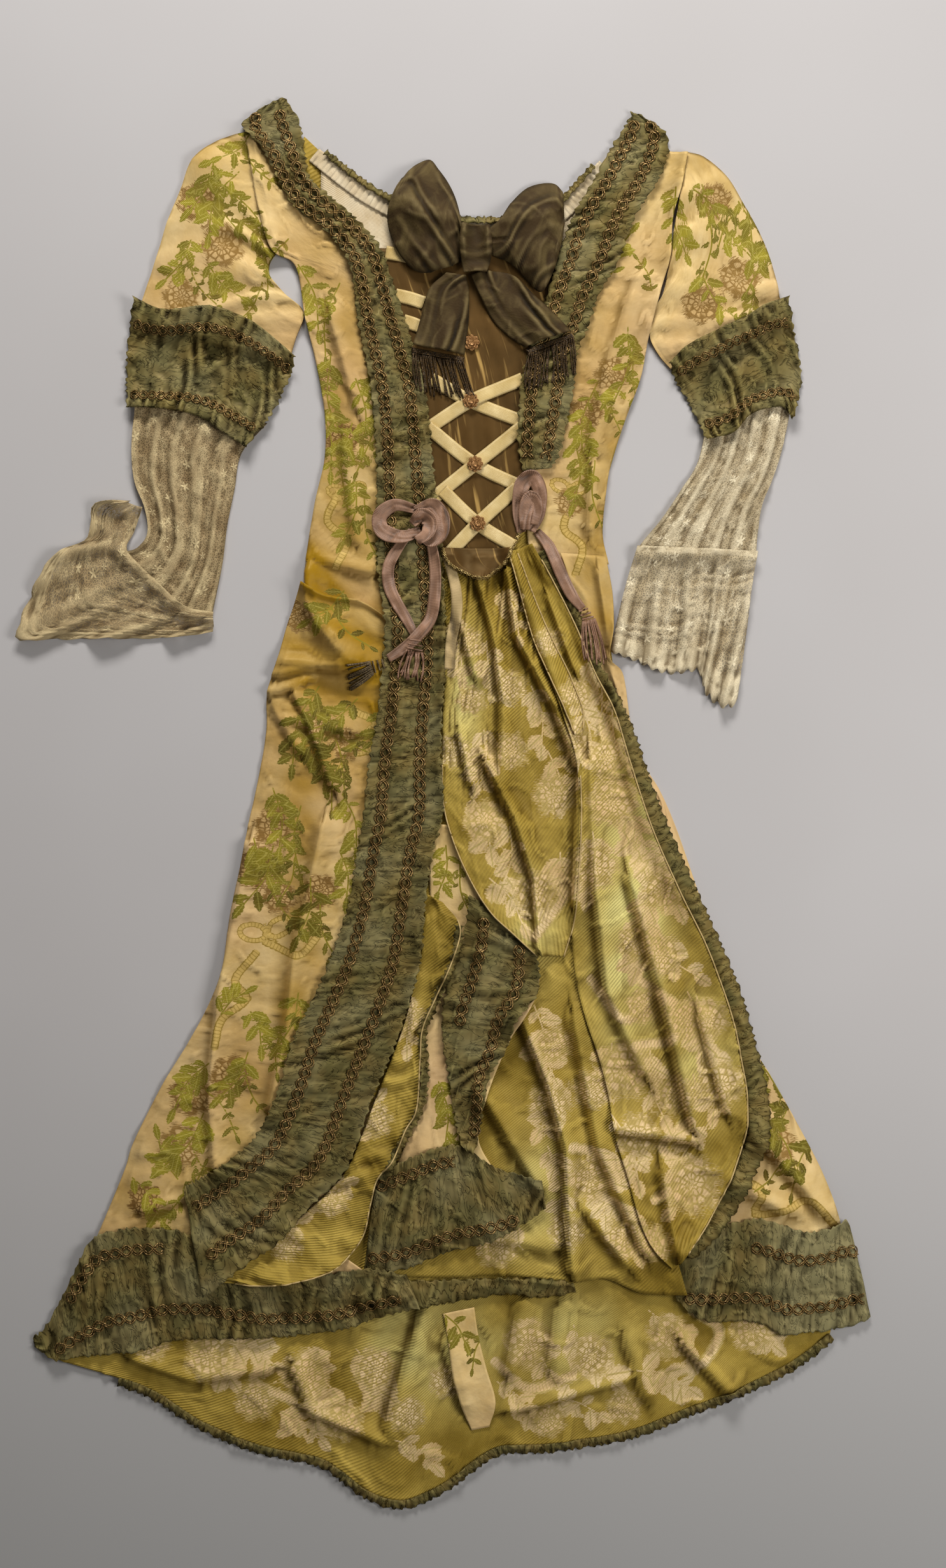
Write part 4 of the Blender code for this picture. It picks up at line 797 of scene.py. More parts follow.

# %% [markdown]
# ### Ruched silk
#
# A thin dark olive-brown silk, gathered so tightly that it is all ridges. It is shot
# with gold and grey-green, so away from its creases it shows one or the other. The mesh
# carries the larger ridges: a painted highlight lightens their crests, and painted shade
# takes the valleys nearly to black. Crinkles between them come from a distorted noise,
# with painted shade along their thin crease lines.


# %% Ruched silk
def ruched_silk(name, deep, mid, crest, glint):
    made, tree, shader, uv = finish_start(name)
    wide = put(tree, "Mapping", {0: uv, 3: (34.0, 78.0, 1.0)})
    crinkle = put(
        tree, "TexNoise",
        {"Vector": wide, "Scale": 1.0, "Detail": 3.0, "Roughness": 0.55, "Distortion": 1.6},
    )
    cloudy = put(tree, "TexNoise", {"Vector": uv, "Scale": 30.0, "Detail": 3.0})
    middle = put(tree, "Math", {0: crinkle, 1: 0.5}, operation="SUBTRACT")
    middle = put(tree, "Math", {0: middle}, operation="ABSOLUTE")
    crisp = put(tree, "MapRange", {0: middle, 1: 0.0, 2: 0.03})
    tint = put(tree, "MapRange", {0: cloudy, 1: 0.4, 2: 0.6})
    # Off the crease lines the silk shows its two shot colours; on them it takes the two dark ones,
    # as painted shade.
    high = put(tree, "Mix", {0: tint, 6: light(crest), 7: light(glint)})
    low = put(tree, "Mix", {0: tint, 6: light(deep), 7: light(mid)})
    colour = put(tree, "Mix", {0: crisp, 6: low, 7: high})
    # Painted highlight on the crests of the relief.
    valley = put(tree, "Attribute", attribute_name="hollow")
    crest_light = put(tree, "MapRange", {0: valley, 1: 0.0, 2: -0.8, 4: 0.5})
    colour = put(tree, "Mix", {0: crest_light, 6: colour, 7: light("#8C7F4C")})
    # Soft paler patches, and on one hem band a painted sheen over its right part.
    paling = put(tree, "Attribute", attribute_name="pale_patches_and_sheen")
    colour = put(tree, "Mix", {0: paling, 6: colour, 7: light("#8E8660")})
    # Painted shade in the valleys of the relief.
    colour = put(tree, "Mix", {0: valley, 6: colour, 7: light("#140D03")})
    bump = put(tree, "Bump", {"Strength": 0.6, "Distance": 0.002, "Height": crisp})
    gloss = put(tree, "MapRange", {0: crisp, 1: 0.0, 2: 1.0, 3: 0.6, 4: 0.45})
    feed(
        tree, shader,
        {
            "Base Color": colour, "Roughness": gloss, "Normal": bump, "Specular IOR Level": 0.22,
            "Specular Tint": light("#E8CC90"),
        },
    )
    return made


RUCHED = ruched_silk("ruched_shot_silk", "#2E2812", "#423616", "#5C5430", "#705F34")

# %% [markdown]
# ### Braid, lame and ribbons
#
# The braid is worked from tarnished metal thread, bronze where it is rubbed. The lame of
# the stomacher has flat gold strips between brown silk, so it shines in fine upright
# lines, painted as pale gold streaks: the strips' own gold with a painted sheen. The
# ribbons are plain satin with a faint rib across them.


# %% Metal thread and ribbon
def metal_thread(name, dark, bright, rough):
    made, tree, shader, _ = finish_start(name)
    place = put(tree, "TexCoord").outputs["Object"]
    grit = put(tree, "TexNoise", {"Vector": place, "Scale": 700.0, "Detail": 2.0})
    rub = put(tree, "MapRange", {0: grit, 1: 0.35, 2: 0.65})
    colour = put(tree, "Mix", {0: rub, 6: light(dark), 7: light(bright)})
    bump = put(tree, "Bump", {"Strength": 0.5, "Distance": 0.0006, "Height": grit})
    feed(tree, shader, {"Base Color": colour, "Normal": bump, "Roughness": rough, "Metallic": 0.5})
    return made


def ribbed_silk(name, dark, bright, rough, rib):
    """Ribs across the piece. A wave's scale of 260 draws them 1.2 mm apart."""
    made, tree, shader, uv = finish_start(name)
    ribs = put(
        tree, "TexWave", {"Vector": uv, "Scale": rib, "Distortion": 1.0, "Detail": 1.0},
        bands_direction="Y",
    )
    patch = put(tree, "TexNoise", {"Vector": uv, "Scale": 35.0, "Detail": 4.0})
    fade = put(tree, "MapRange", {0: patch, 1: 0.35, 2: 0.65, 4: 0.75})
    fade = put(tree, "Math", {0: ribs, 1: 0.3, 2: fade}, operation="MULTIPLY_ADD", use_clamp=True)
    colour = put(tree, "Mix", {0: fade, 6: light(dark), 7: light(bright)})
    # Painted shade in the hollows of the relief.
    colour = painted_hollow_shade(tree, colour, "#2A1B08")
    bump = put(tree, "Bump", {"Strength": 0.35, "Distance": 0.0006, "Height": ribs})
    feed(tree, shader, {"Base Color": colour, "Normal": bump, "Roughness": rough})
    return made


def streaked_lame():
    """Brown silk with upright gold strips. They catch the light in long broken streaks, painted as
    pale gold: their own gold with a painted sheen.
    """
    made, tree, shader, uv = finish_start("gold_shot_lame")
    upright = put(tree, "Mapping", {0: uv, 3: (150.0, 11.0, 1.0)})
    streak = put(tree, "TexNoise", {"Vector": upright, "Scale": 1.0, "Detail": 3.0})
    shine = put(tree, "MapRange", {0: streak, 1: 0.58, 2: 0.74, 4: 0.85})
    patch = put(tree, "TexNoise", {"Vector": uv, "Scale": 20.0, "Detail": 3.0})
    ground = put(tree, "Mix", {0: patch, 6: light("#2A1A08"), 7: light("#684A24")})
    # The streaks: the gold strips' own colour with a painted sheen.
    colour = put(tree, "Mix", {0: shine, 6: ground, 7: light("#C09A58")})
    # Painted shade in the hollows of the relief.
    colour = painted_hollow_shade(tree, colour, "#1E1206")
    feed(
        tree, shader,
        {
            "Base Color": colour, "Roughness": 0.58, "Metallic": 0.15,
            "Specular Tint": light("#E8CC90"),
        },
    )
    return made


LAME = streaked_lame()
BRONZE = metal_thread("tarnished_metal_braid", "#503A15", "#AC8A50", 0.4)
COPPER = metal_thread("copper_ribbon_rosette", "#6E4418", "#C0905A", 0.35)
PIPING = metal_thread("gilt_edging", "#8A6E34", "#DCC07C", 0.38)
STRAW = ribbed_silk("straw_satin_ribbon", "#B5954F", "#E2C88C", 0.42, 260.0)
MAUVE = ribbed_silk("mauve_grosgrain", "#67462E", "#AB8266", 0.5, 260.0)
LINEN = ribbed_silk("linen_lining", "#BFA67C", "#DCCBAA", 0.85, 300.0)
FACING = ribbed_silk("facing_silk", "#9A8250", "#C4A876", 0.7, 260.0)
CREAM_PIPING = ribbed_silk("cream_silk_binding", "#A88C50", "#CDB27C", 0.6, 400.0)

# %% [markdown]
# ### Velvet
#
# Silk velvet looks black face on and pale where its pile turns away, and a bow that has
# been squashed flat keeps paler bruises. The sheen layer gives the first, and a
# distorted noise gives the bruises. A painted highlight lightens the crests of the
# relief, and painted shade darkens its hollows.


# %% Velvet
def velvet():
    made, tree, shader, uv = finish_start("brown_silk_velvet")
    bruise = put(tree, "TexNoise", {"Vector": uv, "Scale": 26.0, "Detail": 3.0, "Distortion": 1.2})
    paling = put(tree, "MapRange", {0: bruise, 1: 0.42, 2: 0.62, 4: 0.9})
    colour = put(tree, "Mix", {0: paling, 6: light("#392910"), 7: light("#5C4C2A")})
    # Painted highlight on the crests of the relief.
    valley = put(tree, "Attribute", attribute_name="hollow")
    crest_light = put(tree, "MapRange", {0: valley, 1: 0.0, 2: -0.8, 4: 0.38})
    colour = put(tree, "Mix", {0: crest_light, 6: colour, 7: light("#8A784E")})
    # Painted shade in the hollows of the relief.
    colour = put(tree, "Mix", {0: valley, 6: colour, 7: light("#171004")})
    nap = put(tree, "TexNoise", {"Vector": uv, "Scale": 420.0, "Detail": 2.0})
    bump = put(tree, "Bump", {"Strength": 0.4, "Distance": 0.001, "Height": nap})
    feed(
        tree, shader,
        {
            "Base Color": colour, "Normal": bump, "Roughness": 0.8, "Specular IOR Level": 0.2,
            "Sheen Weight": 0.18, "Sheen Roughness": 0.35, "Sheen Tint": light("#A8925C"),
        },
    )
    return made


VELVET = velvet()

# %% [markdown]
# ### Lace
#
# Fine machine net with small dots and scattered flowers. The net's cells are about
# 1.5 mm and are drawn at 2.4 mm. They are far too fine for the solids, so the holes are
# made here, by letting light through between the threads. Where the net is bunched it
# closes up, so the painted field "dense" closes the holes on the ridges.


# %% Lace
def lace(name, shade, pale, open_share):
    made, tree, shader, uv = finish_start(name)
    net = put(tree, "TexVoronoi", {"Vector": uv, "Scale": 420.0}, feature="DISTANCE_TO_EDGE")
    threads = put(tree, "MapRange", {0: net, 1: 0.05, 2: 0.16, 3: 1.0, 4: open_share})
    dots = put(tree, "TexVoronoi", {"Vector": uv, "Scale": 95.0, "Randomness": 0.5}, feature="F1")
    dot = put(tree, "MapRange", {0: dots, 1: 0.16, 2: 0.22, 3: 0.7, 4: 0.0})
    spaced = put(tree, "Mapping", {0: uv, 3: (74.0, 58.0, 1.0)})
    sprigs = put(
        tree, "TexVoronoi", {"Vector": spaced, "Scale": 1.0, "Randomness": 0.8}, feature="F1",
    )
    away = put(tree, "VectorMath", {0: spaced, 1: sprigs.outputs["Position"]}, operation="SUBTRACT")
    right, up, _ = put(tree, "SeparateXYZ", {0: away}).outputs
    angle = put(tree, "Math", {0: up, 1: right}, operation="ARCTAN2")
    turns = put(tree, "Math", {0: angle, 1: 5.0}, operation="MULTIPLY")
    lobes = put(tree, "Math", {0: turns}, operation="COSINE")
    reach = put(tree, "Math", {0: lobes, 1: 0.11, 2: sprigs}, operation="MULTIPLY_ADD")
    vine = put(tree, "MapRange", {0: reach, 1: 0.2, 2: 0.28, 3: 0.95, 4: 0.0})
    dense = put(tree, "Attribute", attribute_name="dense")
    bunched = put(tree, "MapRange", {0: dense, 1: 0.0, 2: 1.0, 4: 0.8})
    cover = threads
    for more in (dot, vine, bunched):
        cover = put(tree, "Math", {0: cover, 1: more}, operation="MAXIMUM")
    stretched = put(tree, "Mapping", {0: uv, 3: (64.0, 30.0, 1.0)})
    tangle = put(tree, "TexNoise", {"Vector": stretched, "Scale": 1.0, "Detail": 3.0})
    shading = put(tree, "MapRange", {0: tangle, 1: 0.3, 2: 0.7, 3: 0.05, 4: 0.6})
    marks = put(tree, "Math", {0: vine, 1: 0.75, 2: shading}, operation="MULTIPLY_ADD")
    marks = put(
        tree, "Math", {0: dense, 1: 0.35, 2: marks}, operation="MULTIPLY_ADD", use_clamp=True,
    )
    colour = put(tree, "Mix", {0: marks, 6: light(shade), 7: light(pale)})
    # Painted shade in the hollows of the relief.
    colour = painted_hollow_shade(tree, colour, "#6A5430")
    bump = put(tree, "Bump", {"Strength": 0.5, "Distance": 0.001, "Height": vine})
    feed(tree, shader, {"Base Color": colour, "Alpha": cover, "Normal": bump, "Roughness": 0.85})
    return made


LACE_DARK = lace("greige_lace", "#866A42", "#D2BC8C", 0.35)
LACE_PALE = lace("cream_lace", "#A8926A", "#E8D8B4", 0.4)

# %% [markdown]
# ## The figures on the face
#
# The brocade's repeat is a climbing spray of rose leaves, full roses, and a tied ribbon
# that curls between them. Where each one falls on a panel was read from the photo. The
# leaves themselves are drawn from rules.

# %% Chart of the face
# columns: start x, start y, end x, end y, bend, leaf length, darkness
FACE_SPRAYS = [
    (-260, 728, -288, 670, 0.1, 19, 0.4), (-234, 710, -267, 642, -0.15, 19, 0.3),
    (-220, 753, -252, 728, 0.1, 17, 0.3), (-288, 634, -316, 591, 0.1, 17, 0.4),
    (-231, 656, -202, 606, 0.15, 17, 0.4), (-267, 606, -231, 570, -0.1, 17, 0.3),
    (277, 692, 309, 656, 0.1, 19, 0.4), (309, 634, 352, 606, 0.12, 20, 0.3),
    (288, 598, 324, 548, -0.1, 19, 0.3), (331, 678, 345, 634, 0.1, 17, 0.4),
    (259, 692, 270, 620, -0.1, 17, 0.3), (-166, 606, -144, 534, 0.1, 17, 0.3),
    (-130, 505, -112, 404, -0.12, 19, 0.4), (-144, 447, -130, 375, 0.1, 17, 0.3),
    (-101, 476, -94, 404, 0.1, 16, 0.3), (-101, 361, -116, 296, 0.1, 17, 0.5),
    (-116, 238, -152, 206, 0.1, 19, 0.6), (205, 534, 187, 447, 0.1, 19, 0.3),
    (172, 476, 154, 390, -0.1, 17, 0.4), (147, 404, 144, 339, 0.1, 17, 0.4),
    (187, 598, 208, 642, 0.1, 17, 0.3), (-101, 116, -159, 80, 0.1, 20, 0.7),
    (-144, 130, -173, 44, -0.1, 20, 0.8), (-72, 102, -101, 66, 0.2, 17, 0.5),
    (-159, 73, -137, 22, 0.1, 20, 0.8), (-195, 15, -188, -50, 0.1, 22, 0.3),
    (-216, -42, -195, -78, -0.1, 20, 0.5), (-195, -50, -227, -114, 0.1, 22, 0.6),
    (-152, -86, -166, -150, 0.1, 22, 0.8), (-119, -57, -112, -107, 0.1, 19, 0.4),
    (-220, -237, -209, -273, 0.1, 20, 0.3), (-224, -284, -252, -330, 0.1, 20, 0.5),
    (-267, -294, -306, -345, -0.1, 20, 0.4), (-274, -352, -317, -410, 0.1, 22, 0.3),
    (-303, -424, -324, -381, 0.1, 19, 0.4), (-353, -424, -321, -471, 0.1, 19, 0.3),
    (-252, -237, -227, -215, 0.1, 17, 0.3), (-166, -215, -188, -273, 0.1, 20, 0.4),
    (-116, 8, -101, -50, 0.1, 19, 0.3), (345, -291, 370, -316, 0.1, 20, 0.7),
    (334, -323, 363, -341, -0.1, 20, 0.7), (360, -359, 392, -410, 0.1, 22, 0.7),
    (345, -417, 324, -381, 0.1, 19, 0.6), (0, -579, 21, -608, 0.1, 17, 0.4),
    (0, -50, -8, -100, 0.1, 17, 0.4), (43, -57, 57, -100, 0.1, 17, 0.4),
    (-8, -316, 0, -381, 0.1, 17, 0.4), (295, -215, 309, -172, 0.1, 16, 0.4),
]
# columns: x, y, radius
FACE_ROSES = [
    (-281, 678, 16), (-252, 627, 18), (-299, 570, 15), (302, 678, 15), (331, 591, 17),
    (288, 562, 16), (-141, 476, 13), (-116, 411, 14), (187, 483, 14), (158, 440, 14),
    (140, 339, 12), (-144, 87, 16), (-112, 66, 13), (-195, -28, 16), (-216, -75, 16),
    (-188, -107, 14), (-242, -309, 17), (-288, -330, 18), (-299, -388, 18), (-339, -449, 14),
    (-141, -100, 14), (370, -384, 17), (349, -330, 12), (-166, 210, 13),
]
# a list of x, y for each
FACE_RIBBONS = [
    [(-216, -172), (-238, -201), (-225, -222), (-252, -244), (-260, -273)],
    [(-101, 102), (-72, 87), (-80, 62), (-105, 55)],
    [(331, -424), (356, -438), (349, -464), (381, -460), (410, -449), (439, -478)],
    [(144, 339), (133, 310), (154, 289), (147, 260)],
    [(-123, 346), (-134, 318), (-112, 296), (-123, 267)],
    [(-202, -158), (-166, -172), (-144, -150)],
]
RIBBON_WIDTH = 9
# columns: x, y, size, turn
FACE_BOWS = [
    (-202, -147, 30, 0.2), (-112, 350, 22, 0.1), (140, 354, 22, -0.1), (-72, 87, 20, 0.8),
]
face_chart = Chart()
for x0, y0, x1, y1, bend, leaf, tone in FACE_SPRAYS:
    face_chart.spray(x0, y0, x1, y1, bend, leaf, tone)
    face_chart.spray(
        x1 + 24, y0 - 20, x0 + 30, y1 - 30, -bend, leaf * 0.6, min(tone + 0.3, 1), gap=1.0,
    )
for x, y, radius in FACE_ROSES:
    face_chart.rose(x, y, radius * 1.4, (x * 0.13) % 1)
for points in FACE_RIBBONS:
    face_chart.ribbon(points, RIBBON_WIDTH)
for x, y, size, turn in FACE_BOWS:
    face_chart.bow(x, y, size, turn)
print("sprays on the face:", len(FACE_SPRAYS))

# %% [markdown]
# The reverse shows the same repeat, but its pale figures are bigger and closer, since
# the leaves' floats and the roses run together there.

# %% Chart of the reverse
# columns: start x, start y, end x, end y, bend, leaf length, darkness
BACK_SPRAYS = [
    (28, 8, 50, -50, 0.1, 23, 0.3), (72, -28, 64, -93, 0.1, 22, 0.3),
    (3, 199, 18, 145, 0.1, 18, 0.3), (46, 181, 64, 123, -0.1, 18, 0.3),
    (97, 130, 108, 66, 0.1, 19, 0.3), (162, 159, 176, 102, 0.1, 19, 0.3),
    (187, 102, 205, 44, -0.1, 20, 0.3), (205, -14, 226, -64, 0.1, 22, 0.3),
    (64, 238, 82, 188, 0.1, 16, 0.3), (144, 80, 147, 30, 0.1, 19, 0.3),
    (129, -57, 115, -114, 0.1, 22, 0.3), (43, 80, 36, 22, 0.1, 20, 0.3),
    (216, -64, 259, -114, 0.12, 26, 0.3), (183, 22, 198, -28, -0.1, 24, 0.3),
    (165, -35, 162, -100, 0.1, 24, 0.3), (223, -129, 216, -186, 0.1, 23, 0.3),
    (187, -273, 172, -323, 0.1, 24, 0.3), (295, -280, 302, -345, 0.1, 23, 0.3),
    (288, -402, 259, -453, 0.1, 24, 0.3), (244, -158, 280, -194, -0.1, 23, 0.3),
    (144, 116, 165, 58, 0.1, 20, 0.3), (122, -316, 108, -366, 0.1, 23, 0.3),
    (165, -388, 180, -460, 0.1, 23, 0.3), (187, -446, 216, -503, 0.1, 23, 0.3),
    (86, -503, 64, -460, 0.1, 22, 0.3), (100, -230, 108, -287, 0.1, 22, 0.3),
    (-288, -604, -245, -647, 0.1, 24, 0.3), (-180, -626, -130, -662, 0.1, 24, 0.3),
    (-101, -618, -72, -676, 0.1, 23, 0.3), (72, -590, 115, -640, 0.1, 24, 0.3),
    (144, -590, 187, -654, -0.1, 24, 0.3), (230, -575, 273, -626, 0.1, 24, 0.3),
    (324, -590, 367, -611, 0.1, 23, 0.3), (-58, -719, -15, -748, 0.1, 20, 0.3),
    (-188, -690, -144, -719, 0.1, 20, 0.3), (122, -676, 172, -690, 0.1, 20, 0.3),
    (-58, -215, -44, -273, 0.1, 20, 0.3), (-101, -381, -80, -338, 0.1, 20, 0.3),
    (172, 30, 216, -50, 0.1, 24, 0.3), (230, -50, 223, -122, 0.1, 24, 0.3),
    (273, -215, 288, -280, 0.1, 22, 0.3), (230, -280, 244, -352, -0.1, 24, 0.3),
    (280, -359, 259, -410, 0.1, 22, 0.3), (187, -352, 216, -424, 0.1, 22, 0.3),
    (115, -388, 129, -460, 0.1, 22, 0.3), (93, -273, 122, -309, 0.1, 20, 0.3),
    (50, -86, 86, -136, 0.1, 20, 0.3), (115, 58, 129, 1, 0.1, 20, 0.3),
    (-245, -611, -195, -633, 0.1, 24, 0.3), (-130, -662, -173, -705, 0.1, 22, 0.3),
    (216, -640, 273, -662, 0.1, 22, 0.3), (57, -654, 100, -698, 0.1, 22, 0.3),
    (-159, -460, -116, -431, 0.1, 20, 0.3), (-195, -503, -166, -474, 0.1, 20, 0.3),
]
# columns: x, y, radius
BACK_ROSES = [
    (25, 181, 16), (72, 130, 19), (115, 181, 16), (147, 123, 18), (180, 51, 21), (8, 58, 18),
    (244, -172, 22), (270, -244, 22), (43, -21, 23), (100, -100, 24), (122, 8, 23), (72, 58, 20),
    (28, 116, 16), (187, 1, 27), (165, -71, 27), (244, -100, 24), (216, -158, 22), (201, -302, 32),
    (165, -323, 22), (277, -431, 32), (309, -316, 26), (295, -244, 22), (259, -330, 23),
    (118, -338, 23), (162, -424, 24), (201, -489, 24), (136, -482, 20), (230, -496, 22),
    (57, -503, 22), (122, -273, 20), (-267, -626, 27), (-159, -647, 27), (-80, -640, 24),
    (-116, -698, 23), (93, -611, 27), (165, -626, 24), (252, -604, 24), (345, -597, 23),
    (-216, -676, 22), (-44, -690, 20), (115, -698, 19), (201, -683, 19), (-44, -244, 20),
    (-80, -359, 19), (-130, -446, 20), (-180, -496, 19), (216, -374, 24), (144, 73, 19),
    (223, -230, 19), (-332, -611, 19), (0, -654, 19),
]
# a list of x, y for each
BACK_RIBBONS = [
    [(165, -201), (201, -244), (252, -222), (255, -266), (216, -273)],
    [(223, -129), (244, -165), (216, -194), (241, -215)],
    [(273, -359), (244, -388), (270, -417), (237, -446)],
    [(115, -78), (140, -93), (122, -122), (100, -150)],
    [(144, -388), (187, -402), (172, -438), (208, -460)],
    [(-245, -604), (-202, -618), (-216, -654), (-173, -676)],
    [(280, -575), (309, -597), (288, -633), (244, -647)],
    [(57, -633), (93, -662), (144, -647)],
]
BACK_RIBBON_WIDTH = 12
back_chart = Chart()
for x0, y0, x1, y1, bend, leaf, tone in BACK_SPRAYS:
    back_chart.spray(x0, y0, x1, y1, bend, leaf, tone, plump=1.5)
for x, y, radius in BACK_ROSES:
    back_chart.rose(x, y, radius)
for points in BACK_RIBBONS:
    back_chart.ribbon(points, BACK_RIBBON_WIDTH)
print("roses on the reverse:", len(BACK_ROSES))


# %% [markdown]
# Stains are soft round fields, a row for each, darkest in the middle. Some rows on the face
# are painted shade where the silk lies in shadow, and a bright row on the reverse is a
# painted pool of light.


# %% Stains, painted shade and light
# columns: x, y, reach x, reach y, strength
FACE_STAINS_AND_SHADE = [
    (-166, -158, 26, 120, 0.85), (-152, -50, 24, 90, 0.75), (-180, -244, 20, 60, 0.6),
    (-130, 246, 60, 60, 0.95), (-101, 174, 60, 70, 0.95), (-144, 102, 70, 60, 0.7),
    (-101, 44, 50, 60, 0.6), (-166, 159, 50, 50, 0.6), (-123, 318, 40, 60, 0.6),
    (-123, 447, 26, 80, 0.5), (-159, 562, 26, 60, 0.35), (-72, 217, 40, 80, 0.8),
    (180, 447, 22, 90, 0.45), (169, 289, 24, 60, 0.7), (180, 217, 26, 60, 0.7),
    (-274, 735, 30, 30, 0.45), (295, 721, 40, 30, 0.4), (-324, 577, 26, 26, 0.3),
    (-263, -316, 16, 80, 0.35), (-288, -424, 40, 20, 0.3), (-144, 260, 80, 90, 1.0),
    (-116, 152, 110, 110, 1.0), (-166, 44, 80, 100, 0.75), (-80, 80, 40, 120, 0.9),
    (-72, 361, 40, 120, 0.55), (-101, 404, 60, 150, 0.5), (-80, 548, 60, 150, 0.4),
    (-324, -460, 120, 120, 0.45), (-231, -352, 60, 160, 0.45), (187, 361, 50, 150, 0.6),
    (165, 505, 50, 150, 0.45), (-112, 584, 60, 140, 0.5), (-324, -532, 120, 60, 0.5),
]
# columns: x, y, reach x, reach y, strength
BACK_STAINS_AND_LIGHT = [
    (208, -122, 40, 130, 0.9), (216, -28, 40, 60, 0.6), (100, -136, 30, 60, 0.4),
    (21, 116, 18, 60, 0.7), (0, -618, 60, 60, 0.5), (144, -604, 60, 50, 0.4),
    (-44, -611, 40, 50, 0.7), (288, -280, 40, 60, 0.4), (108, -446, 40, 60, 0.5),
]


# Real stains, painted shade and painted light are all soft round fields.
def stain_and_shading_amount(xy, table, seed=3):
    amount = np.zeros(xy.shape[:-1])
    for x, y, reach_x, reach_y, strength in table:
        away = ((xy[..., 0] - x) / reach_x) ** 2 + ((xy[..., 1] - y) / reach_y) ** 2
        amount = np.maximum(amount, strength * np.exp(-away))
    return np.clip(amount * (0.55 + 0.75 * swell(xy, 60, seed)), 0, 1)


def face_fields(cut):
    return {**face_chart.fields(cut.xy), "stain_and_shading": stain_and_shading_amount(cut.xy, FACE_STAINS_AND_SHADE)}


def back_fields(cut):
    return {**back_chart.fields(cut.xy), "stain_and_shading": stain_and_shading_amount(cut.xy, BACK_STAINS_AND_LIGHT, 5)}


# %% [markdown]
# Each cloth is listed with a slot name, and the two sides of the brocade also with the
# fields that were painted for them. With that known, one call lays a piece and settles it
# on the body in place of its solid.


# %% Dressing a solid
CLOTHS = {
    FACE: ("brocade_face", face_fields),
    BACK_FACE: ("brocade_reverse", back_fields),
    RUCHED: ("ruched_silk", None),
    LINEN: ("linen", None),
    FACING: ("linen", None),
    LAME: ("lame", None),
    STRAW: ("gold_ribbon", None),
    VELVET: ("velvet", None),
    MAUVE: ("mauve_ribbon", None),
    LACE_DARK: ("lace_greige", None),
    LACE_PALE: ("lace_cream", None),
}


def dress(name, node, cut, finish, held, rests_on, fullness=1.0, fields=None, **how):
    slot, painted = CLOTHS[finish]
    fields = painted(cut) if painted else fields
    made = on_body(lay(name, cut, finish, fields=fields, **how), node)


# %% [markdown]
# ## The sack back and its train
#
# One long width of silk lies against the table, wrong side up, since the gown is seen
# from the front and the train is turned up to the camera. Only the train shows, so the
# rows are close together there and far apart under the rest.

# %% Sack back
# columns: left x, left y, right x, right y
BACK = [
    (-160, 753, 190, 741), (-183, 678, 236, 670), (-166, 598, 242, 591), (-144, 519, 224, 512),
    (-130, 440, 205, 440), (-134, 368, 183, 368), (-148, 303, 177, 296), (-160, 217, 183, 217),
    (-184, 145, 190, 145), (-196, 58, 208, 58), (-218, -42, 255, -42), (-239, -136, 291, -136),
    (-256, -222, 324, -222), (-303, -309, 360, -309), (-342, -395, 399, -388),
    (-375, -482, 432, -474), (-424, -568, 446, -546), (-442, -629, 434, -601),
]
# columns: x, y
NECKLINE = [
    (-160, 753), (-123, 719), (-80, 686), (-29, 663), (28, 654), (93, 657), (133, 670), (190, 741),
]
TRAIN_HEM = [
    (-442, -629), (-388, -645), (-332, -665), (-275, -701), (-212, -727), (-139, -744), (-90, -778),
    (-49, -790), (-3, -771), (56, -731), (119, -726), (208, -711), (272, -686), (325, -666),
    (390, -634), (434, -601),
]
# columns: start x, start y, end x, end y, height, half width
TRAIN_FOLDS = [
    (-24, -570, -41, -630, 9, 12), (-41, -630, -65, -705, 9, 14), (-170, -640, -152, -687, 7, 12),
    (-152, -687, -72, -721, 7, 12), (-350, -629, -288, -651, 6, 12),
    (-288, -651, -202, -640, 5, 12), (0, -611, 21, -676, 6, 10), (86, -568, 72, -640, 6, 14),
    (72, -687, 205, -651, 6, 10), (270, -611, 316, -662, 7, 10), (205, -611, 226, -669, 6, 12),
    (129, -575, 122, -633, 5, 14),
]
FINE_FROM = 13
hidden_rows = np.linspace(0, FINE_FROM, 30)
train_rows = np.linspace(FINE_FROM, len(BACK) - 1, 120)[1:]
back = Cut(
    BACK, 5.0, NECKLINE, TRAIN_HEM, keep=6, v_stations=np.concatenate([hidden_rows, train_rows]),
)
relief = folds(back, TRAIN_FOLDS) + crumple(back, 8.0, 44, 4) * (back.xy[..., 1] < -380)
dress("sack_back_silk", "sack_back", back, BACK_FACE, "laid", [], relief=relief)
print("train hem:", round(float(np.linalg.norm(np.diff(back.xy[-1], axis=0), axis=1).sum())), "mm")

# %% [markdown]
# A narrow ruffle of the dark silk binds the train's hem. It is made from the hem's own
# points, moved out, so it can't leave a gap.

# %% Train binding
BINDING_WIDTH = 8.5
hem = back.xy[-1]
way = np.gradient(hem, axis=0)
out = np.stack([way[:, 1], -way[:, 0]], axis=1) / np.linalg.norm(way, axis=1)[:, None]
stations = np.hstack([hem - out * 2.0, hem + out * BINDING_WIDTH])[14:]
binding = Cut(stations, 2.5, v_stations=np.linspace(0, len(stations) - 1, 3 * len(stations)))
binding.frill(1.3, 11, sides=(-1,))
relief = gathers(binding, 7.5, 2.6) + 0.6
dress(
    "train_binding_ruffle", "train_binding", binding, RUCHED, "gathered", ["sack_back_silk"],
    fullness=1.2, relief=relief, slack=4,
)

# %% [markdown]
# ## Sleeves
#
# A sleeve is a tube, pressed flat by its own weight. It is cut as a ring of points at
# each station: an outer and an inner ring, so the silk has a real thickness all round.


